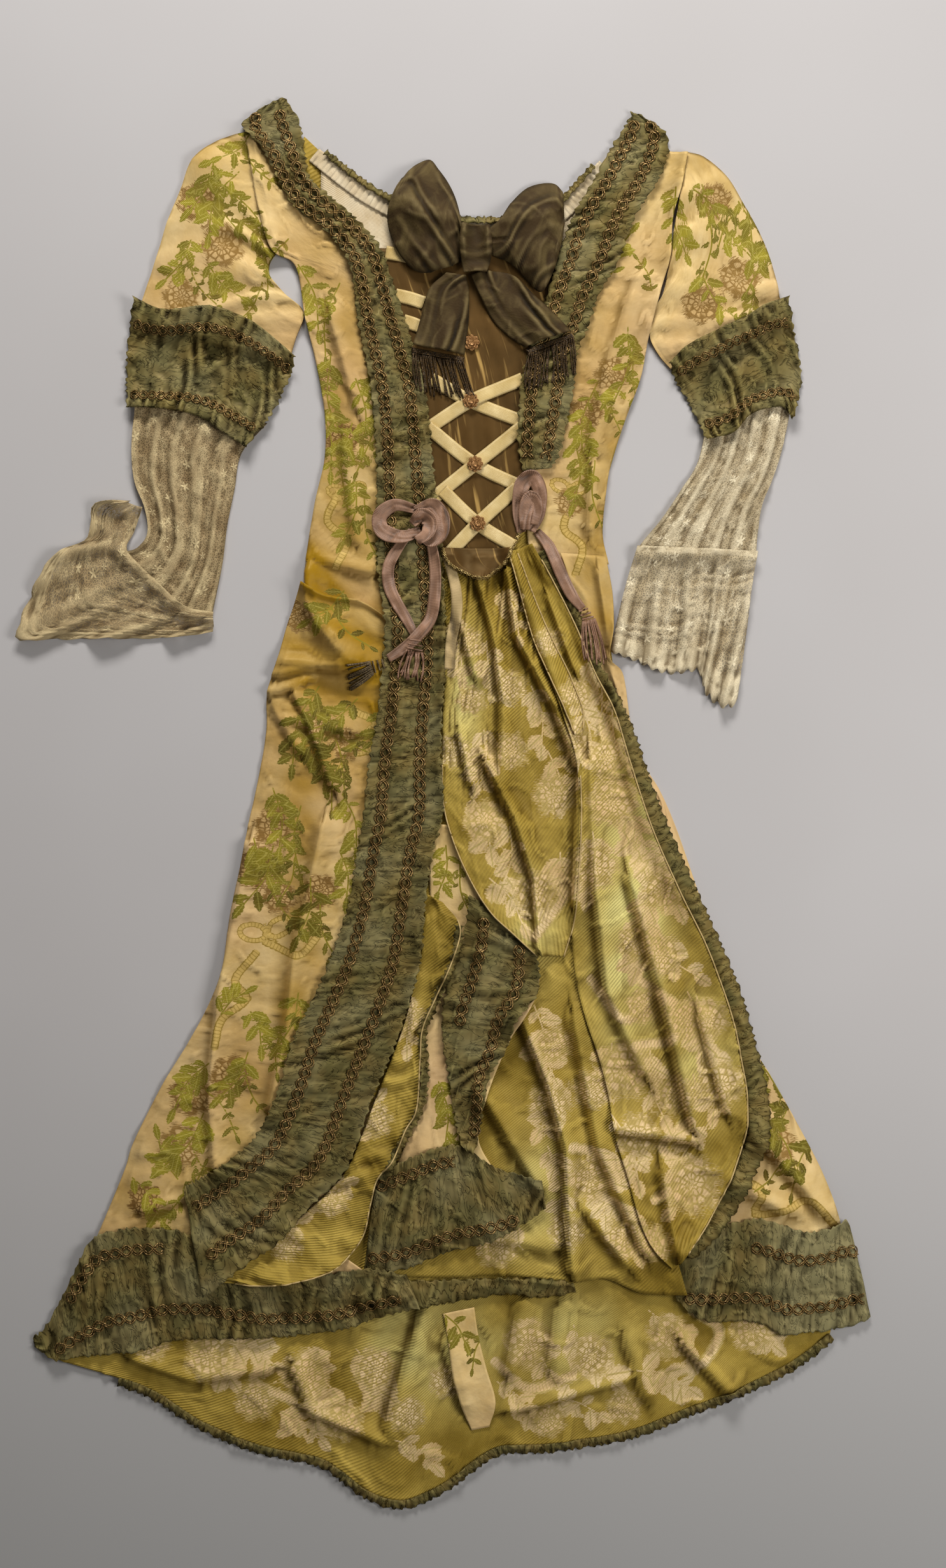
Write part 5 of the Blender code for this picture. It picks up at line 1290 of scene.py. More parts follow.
# %% A flattened tube
def flat_tube(name, cut, finish, height, relief, fields, wall=1.2, slit=1.0):
    rows, cols = cut.xy.shape[:2]
    base = PILE.drape(cut, 25)
    swollen = height * np.sin(math.pi * cut.u)[None] ** 0.55 + np.maximum(relief, 0)
    low_in = base + wall
    high_in = low_in + slit * np.sin(math.pi * cut.u)[None] ** 0.4 + swollen
    high_out = high_in + wall
    count = rows * cols
    base_at, high_out_at, low_in_at, high_in_at = (level * count for level in range(4))
    upper = skin_faces(rows, cols)
    sides = []
    for col in (0, cols - 1):
        run = np.arange(rows) * cols + col
        sides.append(np.stack([run[:-1], run[1:], run[1:] + count, run[:-1] + count], axis=1))
    left, right = sides
    faces = [upper[:, ::-1], upper + high_out_at, left, right[:, ::-1]]
    for row in (0, rows - 1):
        run = np.arange(cols) + row * cols
        for outer, inner in ((base_at, low_in_at), (high_in_at, high_out_at)):
            end = [run[:-1] + outer, run[1:] + outer, run[1:] + inner, run[:-1] + inner]
            end = np.stack(end, axis=1)
            faces.append(end if row == 0 else end[:, ::-1])
    faces += [upper + low_in_at, upper[:, ::-1] + high_in_at]
    faces += [left[:, ::-1] + low_in_at, right + low_in_at]
    PILE.add(cut.xy, high_out)
    levels = (base, high_out, low_in, high_in)
    # The hollow field, from which the finish paints shade into the hollows.
    fields = {**fields, "hollow": hollows(high_out, cut, 0.5)}
    return mesh_piece(name, cut, levels, np.vstack(faces), finish, fields)


# %% [markdown]
# Each sleeve has slanting drag lines from the shoulder, and soft crumples.

# %% Sleeves of brocade
# columns: left x, left y, right x, right y
SLEEVE_LEFT = [
    (-222, 758, -190, 623), (-258, 748, -199, 609), (-286, 726, -198, 594), (-301, 690, -180, 573),
    (-316, 652, -163, 559), (-328, 613, -161, 546), (-339, 580, -169, 526), (-349, 548, -176, 503),
]
SLEEVE_RIGHT = [
    (252, 614, 272, 735), (249, 591, 293, 729), (244, 572, 318, 706), (236, 559, 338, 674),
    (231, 541, 357, 638), (231, 523, 370, 602), (241, 505, 377, 571), (255, 489, 383, 548),
]
for side, table, slant in (("left", SLEEVE_LEFT, 0.5), ("right", SLEEVE_RIGHT, -0.5)):
    cut = Cut(table, 3.8)
    relief = gathers(cut, 44, 6.0, slant=slant) + crumple(
        cut, 5.5, 44, 12 if side == "left" else 23,
    )
    made = flat_tube(f"sleeve_{side}_silk", cut, FACE, 5.0, relief, face_fields(cut))
    on_body(made, f"sleeve_{side}")

# %% [markdown]
# ## Lace below the cuffs
#
# An inner sleeve of net falls from each cuff, and a deep flounce is gathered to its end.
# The net is crushed into long folds, so the tube gets many narrow flutes, and the
# material is told where the folds bunch it.

# %% Lace sleeves
# columns: left x, left y, right x, right y
LACE_SLEEVE_LEFT = [
    (-350, 458, -202, 429), (-355, 404, -231, 395), (-352, 364, -239, 354), (-340, 332, -247, 314),
    (-337, 303, -252, 274), (-350, 285, -258, 242), (-372, 280, -265, 208),
]
LACE_SLEEVE_RIGHT = [
    (296, 436, 393, 462), (285, 386, 381, 404), (266, 354, 370, 368), (244, 321, 357, 336),
    (224, 297, 352, 303), (214, 283, 350, 276),
]
# columns: x, y
LACE_LEFT_FOOT = [
    (-372, 283), (-357, 273), (-342, 259), (-328, 244), (-310, 227), (-288, 213), (-265, 209),
]


def flutes(cut, count, depth, grow=1.0, start=0.0, split=1.0):
    """Waves that fan out from the gathered edge, dividing as they go."""
    turn = 2 * math.pi * count * cut.u[None] + start
    turn = turn + 0.9 * np.sin(3.1 * cut.v[:, None] + 4 * cut.u[None])
    wave = np.sin(turn) + 0.45 * split * np.sin(2.3 * turn + 5 * cut.v[:, None])
    return depth * np.clip(0.35 + 0.5 * wave, 0, 1.3) * cut.v[:, None] ** grow


for side, table, foot, finish, tone in (
    ("left", LACE_SLEEVE_LEFT, LACE_LEFT_FOOT, LACE_DARK, "lace_greige"),
    ("right", LACE_SLEEVE_RIGHT, None, LACE_PALE, "lace_cream"),
):
    cut = Cut(table, 3.5, last=foot)
    relief = flutes(cut, 5, 5.0, grow=0.1, start=1.0) + crumple(cut, 6.0, 22, 31)
    dense = np.clip(relief / 4.5, 0, 1) ** 2 * 0.8
    made = flat_tube(
        f"lace_sleeve_{side}_net", cut, finish, 3.0, relief, {"dense": dense}, wall=0.6,
    )
    on_body(made, f"lace_sleeve_{side}")

# %% [markdown]
# The flounces are wider than the sleeves that carry them, so they stand in loose waves,
# and their outer edge is scalloped.

# %% Lace flounces
# columns: left x, left y, right x, right y
FLOUNCE_LEFT = [
    (-342, 333, -262, 215), (-357, 338, -262, 202), (-356, 341, -263, 193),
]
FLOUNCE_RIGHT = [
    (216, 290, 352, 284), (203, 246, 345, 241), (193, 206, 339, 188), (185, 173, 329, 117),
]
# columns: x, y
FLOUNCE_LEFT_SEAM = [
    (-342, 333), (-352, 307), (-360, 287), (-347, 270), (-323, 247), (-294, 222), (-262, 215),
]
FLOUNCE_LEFT_HEM = [
    (-356, 341), (-396, 336), (-404, 300), (-436, 283), (-460, 249), (-480, 189), (-443, 186),
    (-396, 186), (-339, 186), (-296, 188), (-263, 193),
]
FLOUNCE_RIGHT_HEM = [
    (185, 173), (216, 163), (237, 153), (259, 150), (286, 152), (293, 130), (313, 114), (329, 117),
]
for side, table, seam, foot, finish, tone in (
    ("left", FLOUNCE_LEFT, FLOUNCE_LEFT_SEAM, FLOUNCE_LEFT_HEM, LACE_DARK, "lace_greige"),
    ("right", FLOUNCE_RIGHT, None, FLOUNCE_RIGHT_HEM, LACE_PALE, "lace_cream"),
):
    rows = np.linspace(0, len(table) - 1, 46)
    cut = Cut(table, 2.6 if side == "left" else 2.4, seam, foot, keep=1, v_stations=rows)
    scallop = np.abs(np.sin(np.linspace(0, math.pi * 15, cut.xy.shape[1])))
    outward = (cut.xy[-1] - cut.xy[-4])[None] * (scallop * 0.6)[None, :, None]
    cut.xy[-3:] += outward * np.array([0.3, 0.6, 1.0])[:, None, None]
    cut.measure()
    relief = flutes(cut, 4.5, 12.0, grow=0.7) + crumple(cut, 7.0, 24, 41)
    relief = relief + gathers(cut, 19, 2.0, waver=2.8)
    edge_band = (cut.v[:, None] > 0.86) * 0.8 + (cut.v[:, None] < 0.06) * 0.7
    dense = np.clip(relief / 10, 0, 1) * 0.8 + edge_band
    dress(
        f"lace_flounce_{side}_net", f"lace_flounce_{side}", cut, finish, "gathered",
        [f"lace_sleeve_{side}_net"], fullness=1.25, wall=0.8, relief=relief,
        fields={"dense": np.clip(dense, 0, 1)},
    )

# %% [markdown]
# ## Inside the neck
#
# Between the robings the linen lining of the back shows, with a drawn-up band along the
# neck and a dark ruffle standing behind it.

# %% Lining, neck band
# columns: left x, left y, right x, right y
BACK_LINING = [
    (-141, 732, 172, 719), (-141, 663, 208, 656), (-136, 591, 216, 591), (-121, 505, 205, 505),
    (-112, 418, 183, 418),
]
# columns: x, y
LINING_NECK = [
    (-141, 732), (-108, 703), (-69, 679), (-26, 658), (28, 650), (93, 653), (128, 665), (172, 719),
]
NECK_BAND_PATH = [
    (-149, 732), (-116, 705), (-80, 680), (-29, 657), (28, 648), (90, 651), (126, 663), (152, 688),
    (180, 719),
]
NECK_BAND_WIDTH = 18
cut = Cut(BACK_LINING, 6.5, first=LINING_NECK)
dress(
    "back_lining_linen", "back_lining", cut, LINEN, "laid", ["sack_back_silk"], wall=1.0,
    relief=crumple(cut, 2.0, 60, 51),
)
cut = tape(NECK_BAND_PATH, (NECK_BAND_WIDTH, NECK_BAND_WIDTH), 2.2)
dress(
    "neck_band_linen", "neck_band", cut, LINEN, "gathered", ["back_lining_linen"], fullness=1.2,
    wall=1.2, relief=gathers(cut, 6.5, 1.8, waver=0.3), slack=4,
)
below, above = cut.xy[:, 0], cut.xy[:, -1]
up = (above - below) / np.linalg.norm(above - below, axis=1)[:, None]
cut = tape((above + up)[4:-4:4], (6, 8, 6), 2.0).frill(1.2, 9)
dress(
    "neck_ruffle", None, cut, RUCHED, "gathered", ["neck_band_linen"], fullness=1.2,
    relief=gathers(cut, 5.5, 2.0) + 1.0, slack=3,
)

# %% [markdown]
# ## The stomacher
#
# A stiff pointed front of brown silk shot with gold, pinned under the robings and
# bordered with gilt braid. Straw-coloured ribbons cross on it under copper rosettes.

# %% Stomacher
# columns: left x, left y, right x, right y
STOMACHER = [
    (-90, 626, 147, 626), (-67, 562, 131, 562), (-46, 498, 109, 498), (-35, 433, 105, 433),
    (-26, 368, 99, 368), (-15, 310, 90, 318), (3, 274, 69, 277), (28, 253, 40, 253),
]
cut = Cut(STOMACHER, 4.8)
upright = 0.9 * np.clip(np.sin(cut.w * 2 * math.pi / 26), 0, 1)
dress(
    "stomacher_lame", "stomacher", cut, LAME, "laid", ["back_lining_linen"],
    relief=upright + crumple(cut, 1.0, 50, 61), slack=60,
)


# %% [markdown]
# Cords that are sewn down are swept along a path that keeps to the height map. A ring of
# three or five points, turned a little at each step, is enough for a thread this thin, and
# it gives the twist for free.


# %% Sewn-down cord
def laid_cord(path, radius, lift=0.0, sides=5, twist=0.0):
    """Points and faces of a thin tube that follows the pile."""
    path = np.asarray(path, float)
    heights = PILE.height(path) + radius * 0.8 + lift
    centre = np.column_stack([path, heights])
    way = np.gradient(centre, axis=0)
    way /= np.linalg.norm(way, axis=1)[:, None] + 1e-9
    side = np.column_stack([-way[:, 1], way[:, 0], np.zeros(len(way))])
    side /= np.linalg.norm(side, axis=1)[:, None] + 1e-9
    over = np.cross(way, side)
    points = []
    for k in range(sides):
        a = 2 * math.pi * k / sides + twist * np.arange(len(path))
        points.append(centre + radius * (np.cos(a)[:, None] * side + np.sin(a)[:, None] * over))
    points = np.stack(points, axis=1).reshape(-1, 3)
    ring = np.arange(len(path) - 1)[:, None] * sides
    k = np.arange(sides)[None]
    after = (k + 1) % sides
    faces = np.stack(
        [ring + k, ring + after, ring + sides + after, ring + sides + k], axis=2,
    ).reshape(-1, 4)
    caps = [list(range(sides))[::-1], [(len(path) - 1) * sides + i for i in range(sides)]]
    return points, faces.tolist() + caps


def joined(name, parts, finish):
    points, faces, start = [], [], 0
    for some, those in parts:
        points.append(some)
        faces += [[i + start for i in face] for face in those]
        start += len(some)
    data = bpy.data.meshes.new(name)
    data.from_pydata((np.vstack(points) * MM).tolist(), [], faces)
    return linked(name, data, finish)


def resampled(path, step):
    path = np.asarray(path, float)
    run = np.concatenate([[0], np.cumsum(np.linalg.norm(np.diff(path, axis=0), axis=1))])
    at = np.linspace(0, run[-1], max(3, int(run[-1] / step)))
    return np.stack([np.interp(at, run, path[:, k]) for k in (0, 1)], axis=1), at


def sideways(path):
    way = np.gradient(path, axis=0)
    way /= np.linalg.norm(way, axis=1)[:, None] + 1e-9
    return np.stack([-way[:, 1], way[:, 0]], axis=1)


def line_along(cut, u, first=0.0, last=1.0):
    """The line down a piece at the share u of its width, from a first share of it to a last."""
    steps = len(cut.v) - 1
    rows = slice(int(first * steps), int(last * steps) + 1)
    col = u * (len(cut.u) - 1)
    a, t = int(col), col - int(col)
    return cut.xy[rows, a] * (1 - t) + cut.xy[rows, a + 1] * t


def guilloche(name, paths, finish=BRONZE, node=None, width=15.5, pitch=12.5, thread=1.0):
    """Braid of two double cords that weave round each other in a chain of rings."""
    parts = []
    for path in paths:
        path, at = resampled(path, 1.9)
        side = sideways(path)
        for start in (0, math.pi):
            turn = math.pi * at / pitch + start
            for ply in (-1, 1):
                beside = ply * thread * (1.1 + 0.5 * np.abs(np.cos(turn)))
                off = np.sin(turn) * width * 0.33 + beside
                over = 0.4 + 0.5 * np.cos(turn) * (1 if start else -1)
                cord = path + side * off[:, None]
                parts.append(laid_cord(cord, thread, lift=over, sides=3, twist=0.7))
    return on_body(joined(name, parts, finish), node)


# %% Gilt edge of the stomacher
edges = [np.vstack([cut.xy[4:, 1], cut.xy[-1, 1:-1], cut.xy[:3:-1, -2]])]
guilloche("stomacher_edging", edges, PIPING, width=4.5, pitch=4.0, thread=0.6)

# %% [markdown]
# Each crossing is four satin ribbon ends. They pass under the rosette, so a plain strip
# for each diagonal is right, the second lying on the first.

# %% Lattice ribbons
# columns: x and y of the crossing, then of the four ribbon ends
LATTICE = [
    (28, 453, -9, 474, -13, 427, 77, 474, 79, 433), (33, 382, -12, 417, -8, 349, 77, 417, 76, 361),
    (36, 315, 3, 346, 5, 283, 73, 349, 69, 294),
]
LATTICE_WIDTH = 15
for number, row in enumerate(LATTICE, 1):
    centre, ends = row[:2], [row[2:4], row[4:6], row[6:8], row[8:10]]
    for a, b, node in ((0, 3, f"lattice_ribbon_{number}"), (1, 2, None)):
        tips = [np.add(ends[k], np.subtract(ends[k], centre) * 0.2) for k in (a, b)]
        cut = tape([tips[0], centre, tips[1]], (LATTICE_WIDTH,) * 3, 3.0)
        bow_up = rounded(cut, 0.5, 1.0)
        name = f"lattice_{number}_{a + 1}"
        dress(name, node, cut, STRAW, "laid", ["stomacher_lame"], wall=0.7, relief=bow_up, slack=12)

# %% Ribbon ends behind the bow
# a list of x, y for each
HIDDEN_ENDS = [
    [(-68.0, 621.0), (-46.0, 617.0), (-23.0, 611.0)],
    [(-57.0, 573.0), (-40.0, 569.0), (-25.0, 564.0)],
    [(-48.0, 544.0), (-36.0, 540.0), (-23.0, 534.0)],
]
for number, path in enumerate(HIDDEN_ENDS, 1):
    cut = tape(path, (LATTICE_WIDTH,) * 2, 3.0)
    dress(f"ribbon_end_{number}", None, cut, STRAW, "laid", ["stomacher_lame"], wall=0.7, slack=12)

# %% [markdown]
# ## Bodice fronts
#
# The brocade fronts run from the armhole to the waist. The left one ends in a loose fold
# over the hip, where it has yellowed and also lies in painted shade.

# %% Bodice
# columns: left x, left y, right x, right y
BODICE_LEFT = [
    (-226, 754, -177, 739), (-219, 714, -154, 692), (-213, 678, -124, 649), (-197, 624, -97, 613),
    (-170, 606, -80, 584), (-159, 548, -72, 534), (-147, 498, -58, 476), (-137, 440, -44, 418),
    (-137, 390, -36, 361), (-148, 339, -36, 310), (-159, 267, -36, 260), (-157, 231, -40, 220),
    (-137, 192, -44, 184), (-110, 159, -58, 155),
]
# columns: start x, start y, end x, end y, height, half width
BODICE_LEFT_FOLDS = [
    (-157, 260, -152, 213, 8, 12), (-152, 213, -107, 163, 10, 10), (-130, 548, -101, 447, 5, 12),
    (-144, 274, -87, 260, 4, 10), (-116, 404, -101, 296, 4, 10),
]
# columns: left x, left y, right x, right y
BODICE_RIGHT = [
    (219, 739, 273, 734), (198, 699, 266, 696), (180, 663, 256, 660), (165, 624, 253, 616),
    (147, 584, 242, 577), (129, 534, 229, 526), (118, 483, 220, 480), (108, 440, 203, 433),
    (102, 390, 187, 386), (95, 346, 180, 343), (92, 303, 177, 303), (98, 271, 184, 269),
]
# columns: start x, start y, end x, end y, height, half width
BODICE_RIGHT_FOLDS = [
    (216, 591, 187, 505, 5, 12), (187, 505, 165, 404, 5, 12), (165, 375, 162, 303, 5, 10),
]
BODICE_DROOP = 76
for side, table, ridges, seed in (
    ("left", BODICE_LEFT, BODICE_LEFT_FOLDS, 71),
    ("right", BODICE_RIGHT, BODICE_RIGHT_FOLDS, 73),
):
    cut = Cut(table, 3.4)
    if side == "left":
        droop = np.clip((cut.v - 0.8) / 0.2, 0, 1) ** 1.4
        cut.xy[..., 1] -= droop[:, None] * (BODICE_DROOP * cut.u)[None]
        cut.measure()
    relief = folds(cut, ridges) + crumple(cut, 7.0, 40, seed)
    dress(
        f"bodice_{side}_silk", f"bodice_{side}", cut, FACE, "laid",
        [f"sleeve_{side}_silk", "back_lining_linen"], relief=relief, deep=0.55,
    )

# %% [markdown]
# ## Ruched cuffs
#
# Each cuff is a wide band of the dark silk, ruched between two rows of braid, with a
# puffed heading above and below.


# %% Cuffs
# columns: left x, left y, right x, right y
CUFF_LEFT = [
    (-351, 570, -170, 503), (-357, 537, -175, 483), (-360, 505, -185, 462), (-361, 476, -198, 436),
    (-360, 446, -225, 400),
]
# columns: x, y
CUFF_LEFT_TOP = [
    (-351, 570), (-316, 555), (-267, 559), (-231, 548), (-206, 534), (-170, 503),
]
CUFF_LEFT_FOOT = [
    (-360, 446), (-324, 444), (-281, 436), (-252, 418), (-225, 400),
]
# columns: left x, left y, right x, right y
CUFF_RIGHT = [
    (252, 496, 386, 571), (259, 477, 392, 537), (270, 460, 398, 508), (280, 440, 401, 472),
    (293, 409, 391, 431),
]
# columns: x, y
CUFF_RIGHT_TOP = [
    (252, 496), (273, 516), (309, 534), (339, 548), (358, 560), (386, 571),
]
CUFF_RIGHT_FOOT = [
    (293, 409), (324, 417), (345, 438), (378, 446), (391, 431),
]


def crossways(cut, pitch, depth, seed=0, waver=1.0):
    """Ridges that run down the piece, side by side across it."""
    turn = 2 * math.pi * cut.w / pitch
    bend = waver * np.sin(0.05 * cut.s + seed)
    bend = bend + waver * np.sin(0.031 * cut.s + 0.6 * turn + 2 * seed)
    wave = np.sin(turn + 1.6 * bend)
    swing = 0.6 + 0.4 * np.sin(0.27 * turn + 0.04 * cut.s + seed)
    return depth * np.clip(0.45 + 0.55 * wave, 0, 1) * swing


def pale_patches_and_sheen(cut, seed, bright=None):
    """Where the dark silk is paler: soft patches, and beyond x = bright a painted sheen all over.
    """
    paling = 0.4 * swell(cut.xy, 70, seed) ** 2
    if bright is not None:
        paling = np.maximum(paling, 0.7 * np.clip((cut.xy[..., 0] - bright) / 60, 0, 1))
    return {"pale_patches_and_sheen": paling}


cuff_braids = []
for side, table, top, foot, start in (
    ("left", CUFF_LEFT, CUFF_LEFT_TOP, CUFF_LEFT_FOOT, 0.3),
    ("right", CUFF_RIGHT, CUFF_RIGHT_TOP, CUFF_RIGHT_FOOT, 1.9),
):
    cut = Cut(table, 2.6, top, foot, keep=1).frill(1.5, 10)
    puff = (bell(cut.v, 0.02, 0.06) + bell(cut.v, 0.97, 0.07))[:, None]
    relief = crossways(cut, 27, 6.0, start, 1.6) + crumple(cut, 8.0, 20, 81)
    relief = relief + puff * crossways(cut, 12, 6.0, start + 1)
    dress(
        f"cuff_{side}_ruched", f"cuff_{side}", cut, RUCHED, "gathered", [f"sleeve_{side}_silk"],
        fullness=1.25, relief=relief, fields=pale_patches_and_sheen(cut, 83),
    )
    rows = len(cut.v)
    cuff_braids += [cut.xy[int(rows * 0.2), 2:-2], cut.xy[int(rows * 0.83), 2:-2]]
guilloche("cuff_braid", cuff_braids, width=12.0, pitch=10.0, thread=0.9)

# %% [markdown]
# ## The skirt
#
# The skirt is laid as its maker sewed it: side panels face up, the inner layers wrong
# side up, the hem bands over their lower edges, and the turned-back fronts on top. A hem
# band is ruched across, with its braids sewn over the gathers.


# %% Hem bands
# columns: place across the band, start and end along it, as parts of its width and length
HEM_BRAIDS_LEFT = ((0.18, 0.12, 0.40), (0.72, 0.05, 0.97))
HEM_BRAIDS_RIGHT = ((0.28, 0.40, 1.0), (0.76, 0.05, 1.0))
HEM_BRAIDS_MIDDLE = ((0.15, 0.0, 0.55), (0.85, 0.0, 0.85))
MIDDLE_BRAIDS = ((0.25, 0.05, 0.5), (0.75, 0.1, 0.95))


def ruched_band(node, table, braids, rests_on, seed, bright=None):
    """A ruched hem band with its braids, along its length."""
    cut = Cut(table, 2.9).frill(1.4, 10, seed=seed)
    relief = gathers(cut, 30, 4.5, waver=2.4, seed=seed)
    relief = relief + gathers(cut, 9.5, 2.0, waver=3.0, seed=seed + 2)
    relief = relief + crumple(cut, 6.5, 30, 90 + seed)
    name = node + "_ruched"
    fields = pale_patches_and_sheen(cut, seed, bright)
    dress(
        name, node, cut, RUCHED, "gathered", rests_on, fullness=1.25, relief=relief, fields=fields,
    )
    guilloche(name + "_braid", [line_along(cut, *braid)[1:-1] for braid in braids])


# %% Right side panel and its band
# columns: left x, left y, right x, right y
SKIRT_SIDE = [
    (129, 282, 180, 278), (144, 238, 188, 238), (154, 199, 189, 199), (162, 166, 185, 163),
    (176, 134, 200, 145), (190, 94, 208, 94), (205, 51, 219, 51), (219, 8, 241, 15),
    (234, -28, 260, -28), (255, -86, 280, -86), (277, -136, 298, -138), (301, -201, 326, -204),
    (313, -262, 341, -264), (320, -309, 367, -309), (320, -359, 396, -361), (306, -410, 424, -415),
    (284, -460, 441, -460), (273, -503, 450, -496), (266, -546, 462, -541),
]
# columns: start x, start y, end x, end y, height, half width
SKIRT_SIDE_FOLDS = [
    (172, 260, 183, 181, 5, 8), (183, 159, 198, 109, 5, 8), (352, -374, 424, -460, 8, 14),
    (331, -431, 381, -460, 7, 12),
]
# columns: left x, left y, right x, right y
HEM_RIGHT = [
    (254, -525, 260, -561), (277, -500, 280, -579), (306, -478, 302, -586), (327, -473, 331, -585),
    (355, -469, 356, -588), (383, -477, 380, -601), (406, -484, 404, -598), (432, -480, 433, -595),
    (452, -471, 462, -590), (459, -489, 480, -582),
]
cut = Cut(SKIRT_SIDE, 5.0)
relief = folds(cut, SKIRT_SIDE_FOLDS) + crumple(cut, 5.0, 50, 101)
dress("skirt_side_silk", "skirt_side_right", cut, FACE, "laid", ["sack_back_silk"], relief=relief)
# Beyond x = 335 mm the band is paler all over: a painted sheen.
ruched_band("hem_band_right", HEM_RIGHT, HEM_BRAIDS_RIGHT, ["skirt_side_silk"], seed=1, bright=335)

# %% Inner skirt, wrong side up
# columns: left x, left y, right x, right y
SKIRT_INNER = [
    (14, -28, 158, -28), (28, -100, 172, -100), (43, -172, 180, -172), (36, -244, 194, -244),
    (0, -316, 208, -316), (-29, -388, 223, -388), (-58, -460, 244, -460), (-72, -503, 259, -510),
    (-78, -534, 272, -555),
]
# columns: x, y
SKIRT_INNER_FOOT = [
    (-78, -534), (0, -536), (72, -534), (140, -541), (180, -538), (223, -554), (272, -555),
]
# columns: start x, start y, end x, end y, height, half width
SKIRT_INNER_FOLDS = [
    (86, -244, 115, -316, 12, 12), (115, -316, 135, -388, 14, 12), (135, -388, 141, -525, 14, 10),
    (43, -330, 100, -424, 9, 14), (144, -244, 172, -388, 9, 14), (172, -388, 223, -503, 9, 14),
    (147, -446, 205, -521, 8, 12), (57, -489, 115, -503, 6, 14),
]
# columns: left x, left y, right x, right y
HEM_ROLL = [
    (-82, -536, -69, -578), (-36, -539, -29, -568), (14, -538, 13, -563), (69, -536, 72, -555),
    (115, -537, 111, -558), (144, -541, 147, -552),
]
cut = Cut(SKIRT_INNER, 4.3, last=SKIRT_INNER_FOOT)
relief = folds(cut, SKIRT_INNER_FOLDS) + crumple(cut, 8.0, 56, 111)
dress("skirt_inner_silk", "skirt_inner", cut, BACK_FACE, "laid", ["sack_back_silk"], relief=relief)
cut = Cut(HEM_ROLL, 2.4).frill(1.4, 12)
swelling = rounded(cut, 5.0, 0.7)
relief = gathers(cut, 13, 2.6, waver=1.8) + 0.4
dress(
    "hem_roll_ruched", "hem_roll_middle", cut, RUCHED, "gathered", ["skirt_inner_silk"],
    fullness=1.2, relief=relief, dome=swelling,
)

# %% Middle panel and its bands
# columns: left x, left y, right x, right y
SKIRT_MIDDLE = [
    (-18, -24, 46, -28), (-18, -100, 80, -114), (-8, -158, 102, -176), (-8, -215, 102, -217),
    (-28, -273, 72, -269), (-36, -330, 46, -332), (-44, -381, 37, -381), (-64, -431, 64, -431),
    (-72, -496, 72, -478),
]
HEM_MIDDLE = [
    (-78, -418, -93, -531), (-40, -400, -44, -525), (-8, -388, 0, -507), (21, -388, 43, -496),
    (57, -411, 75, -482), (108, -424, 113, -457),
]
MIDDLE_BAND = [
    (27, -104, 93, -145), (19, -154, 104, -178), (3, -201, 103, -215), (-4, -237, 80, -244),
    (-3, -273, 69, -276), (3, -309, 49, -309), (8, -345, 43, -341), (15, -377, 37, -377),
    (22, -392, 31, -395),
]
cut = Cut(SKIRT_MIDDLE, 4.0)
dress(
    "skirt_middle_silk", "skirt_middle", cut, FACE, "laid", ["skirt_inner_silk"],
    relief=crumple(cut, 6.0, 40, 121),
)
ruched_band("hem_band_middle", HEM_MIDDLE, HEM_BRAIDS_MIDDLE, ["skirt_middle_silk"], seed=2)
ruched_band("band_middle", MIDDLE_BAND, MIDDLE_BRAIDS, ["skirt_middle_silk"], seed=3)

# %% [markdown]
# A front flap hangs from the waist, wrong side up, gathered at the top and falling in
# long curved folds. Its edge has a thin cream binding.

# %% Front flap
# columns: left x, left y, right x, right y
FLAP = [
    (4, 274, 72, 274), (0, 224, 93, 217), (-1, 174, 111, 174), (-3, 116, 131, 116),
    (-4, 58, 147, 66), (-3, 1, 152, 8), (8, -42, 151, -50), (27, -86, 148, -100),
    (50, -123, 144, -136), (75, -147, 139, -154), (102, -172, 133, -174),
]
# columns: start x, start y, end x, end y, height, half width
FLAP_FOLDS = [
    (36, 249, 54, 188, 9, 7), (54, 188, 64, 116, 10, 8), (64, 116, 62, 8, 8, 9),
    (68, 260, 79, 188, 12, 7), (79, 188, 122, 109, 12, 8), (122, 109, 148, 44, 9, 10),
    (46, 44, 79, -21, 10, 8), (79, -21, 99, -86, 11, 9), (99, -86, 105, -165, 11, 8),
    (152, 44, 145, -114, 9, 8), (15, 80, 28, 22, 7, 7), (8, 238, 32, 145, 6, 8),
]
cut = Cut(FLAP, 3.0)
waist = bell(cut.v, 0, 0.22)[:, None]
caught = bell(cut.u, 0.1, 0.3)[None] * bell(cut.v, 0.3, 0.25)[:, None]
relief = folds(cut, FLAP_FOLDS) + crumple(cut, 6.5, 40, 131) + waist * crossways(cut, 12, 6.5, 2.0)
relief += caught * (crossways(cut, 12, 3.5, 5.0, waver=1.6) + crumple(cut, 5.0, 30, 133))
dress(
    "front_flap_silk", "front_flap", cut, BACK_FACE, "laid",
    ["skirt_inner_silk", "skirt_middle_silk"], relief=relief, deep=0.6,
)
flap_edge = cut.xy

# %% Left panel and its band
# columns: left x, left y, right x, right y
SKIRT_LEFT = [
    (-163, 249, -44, 256), (-172, 222, -44, 228), (-180, 199, -36, 199), (-189, 166, -36, 159),
    (-202, 123, -44, 116), (-203, 80, -44, 73), (-213, 22, -44, 22), (-224, -28, -51, -28),
    (-232, -71, -58, -71), (-244, -129, -72, -136), (-252, -186, -87, -194),
    (-267, -226, -108, -244), (-291, -271, -130, -294), (-321, -320, -159, -348),
    (-353, -384, -188, -399), (-363, -415, -216, -431), (-383, -464, -195, -464),
    (-404, -514, -130, -503), (-422, -561, -47, -557),
]
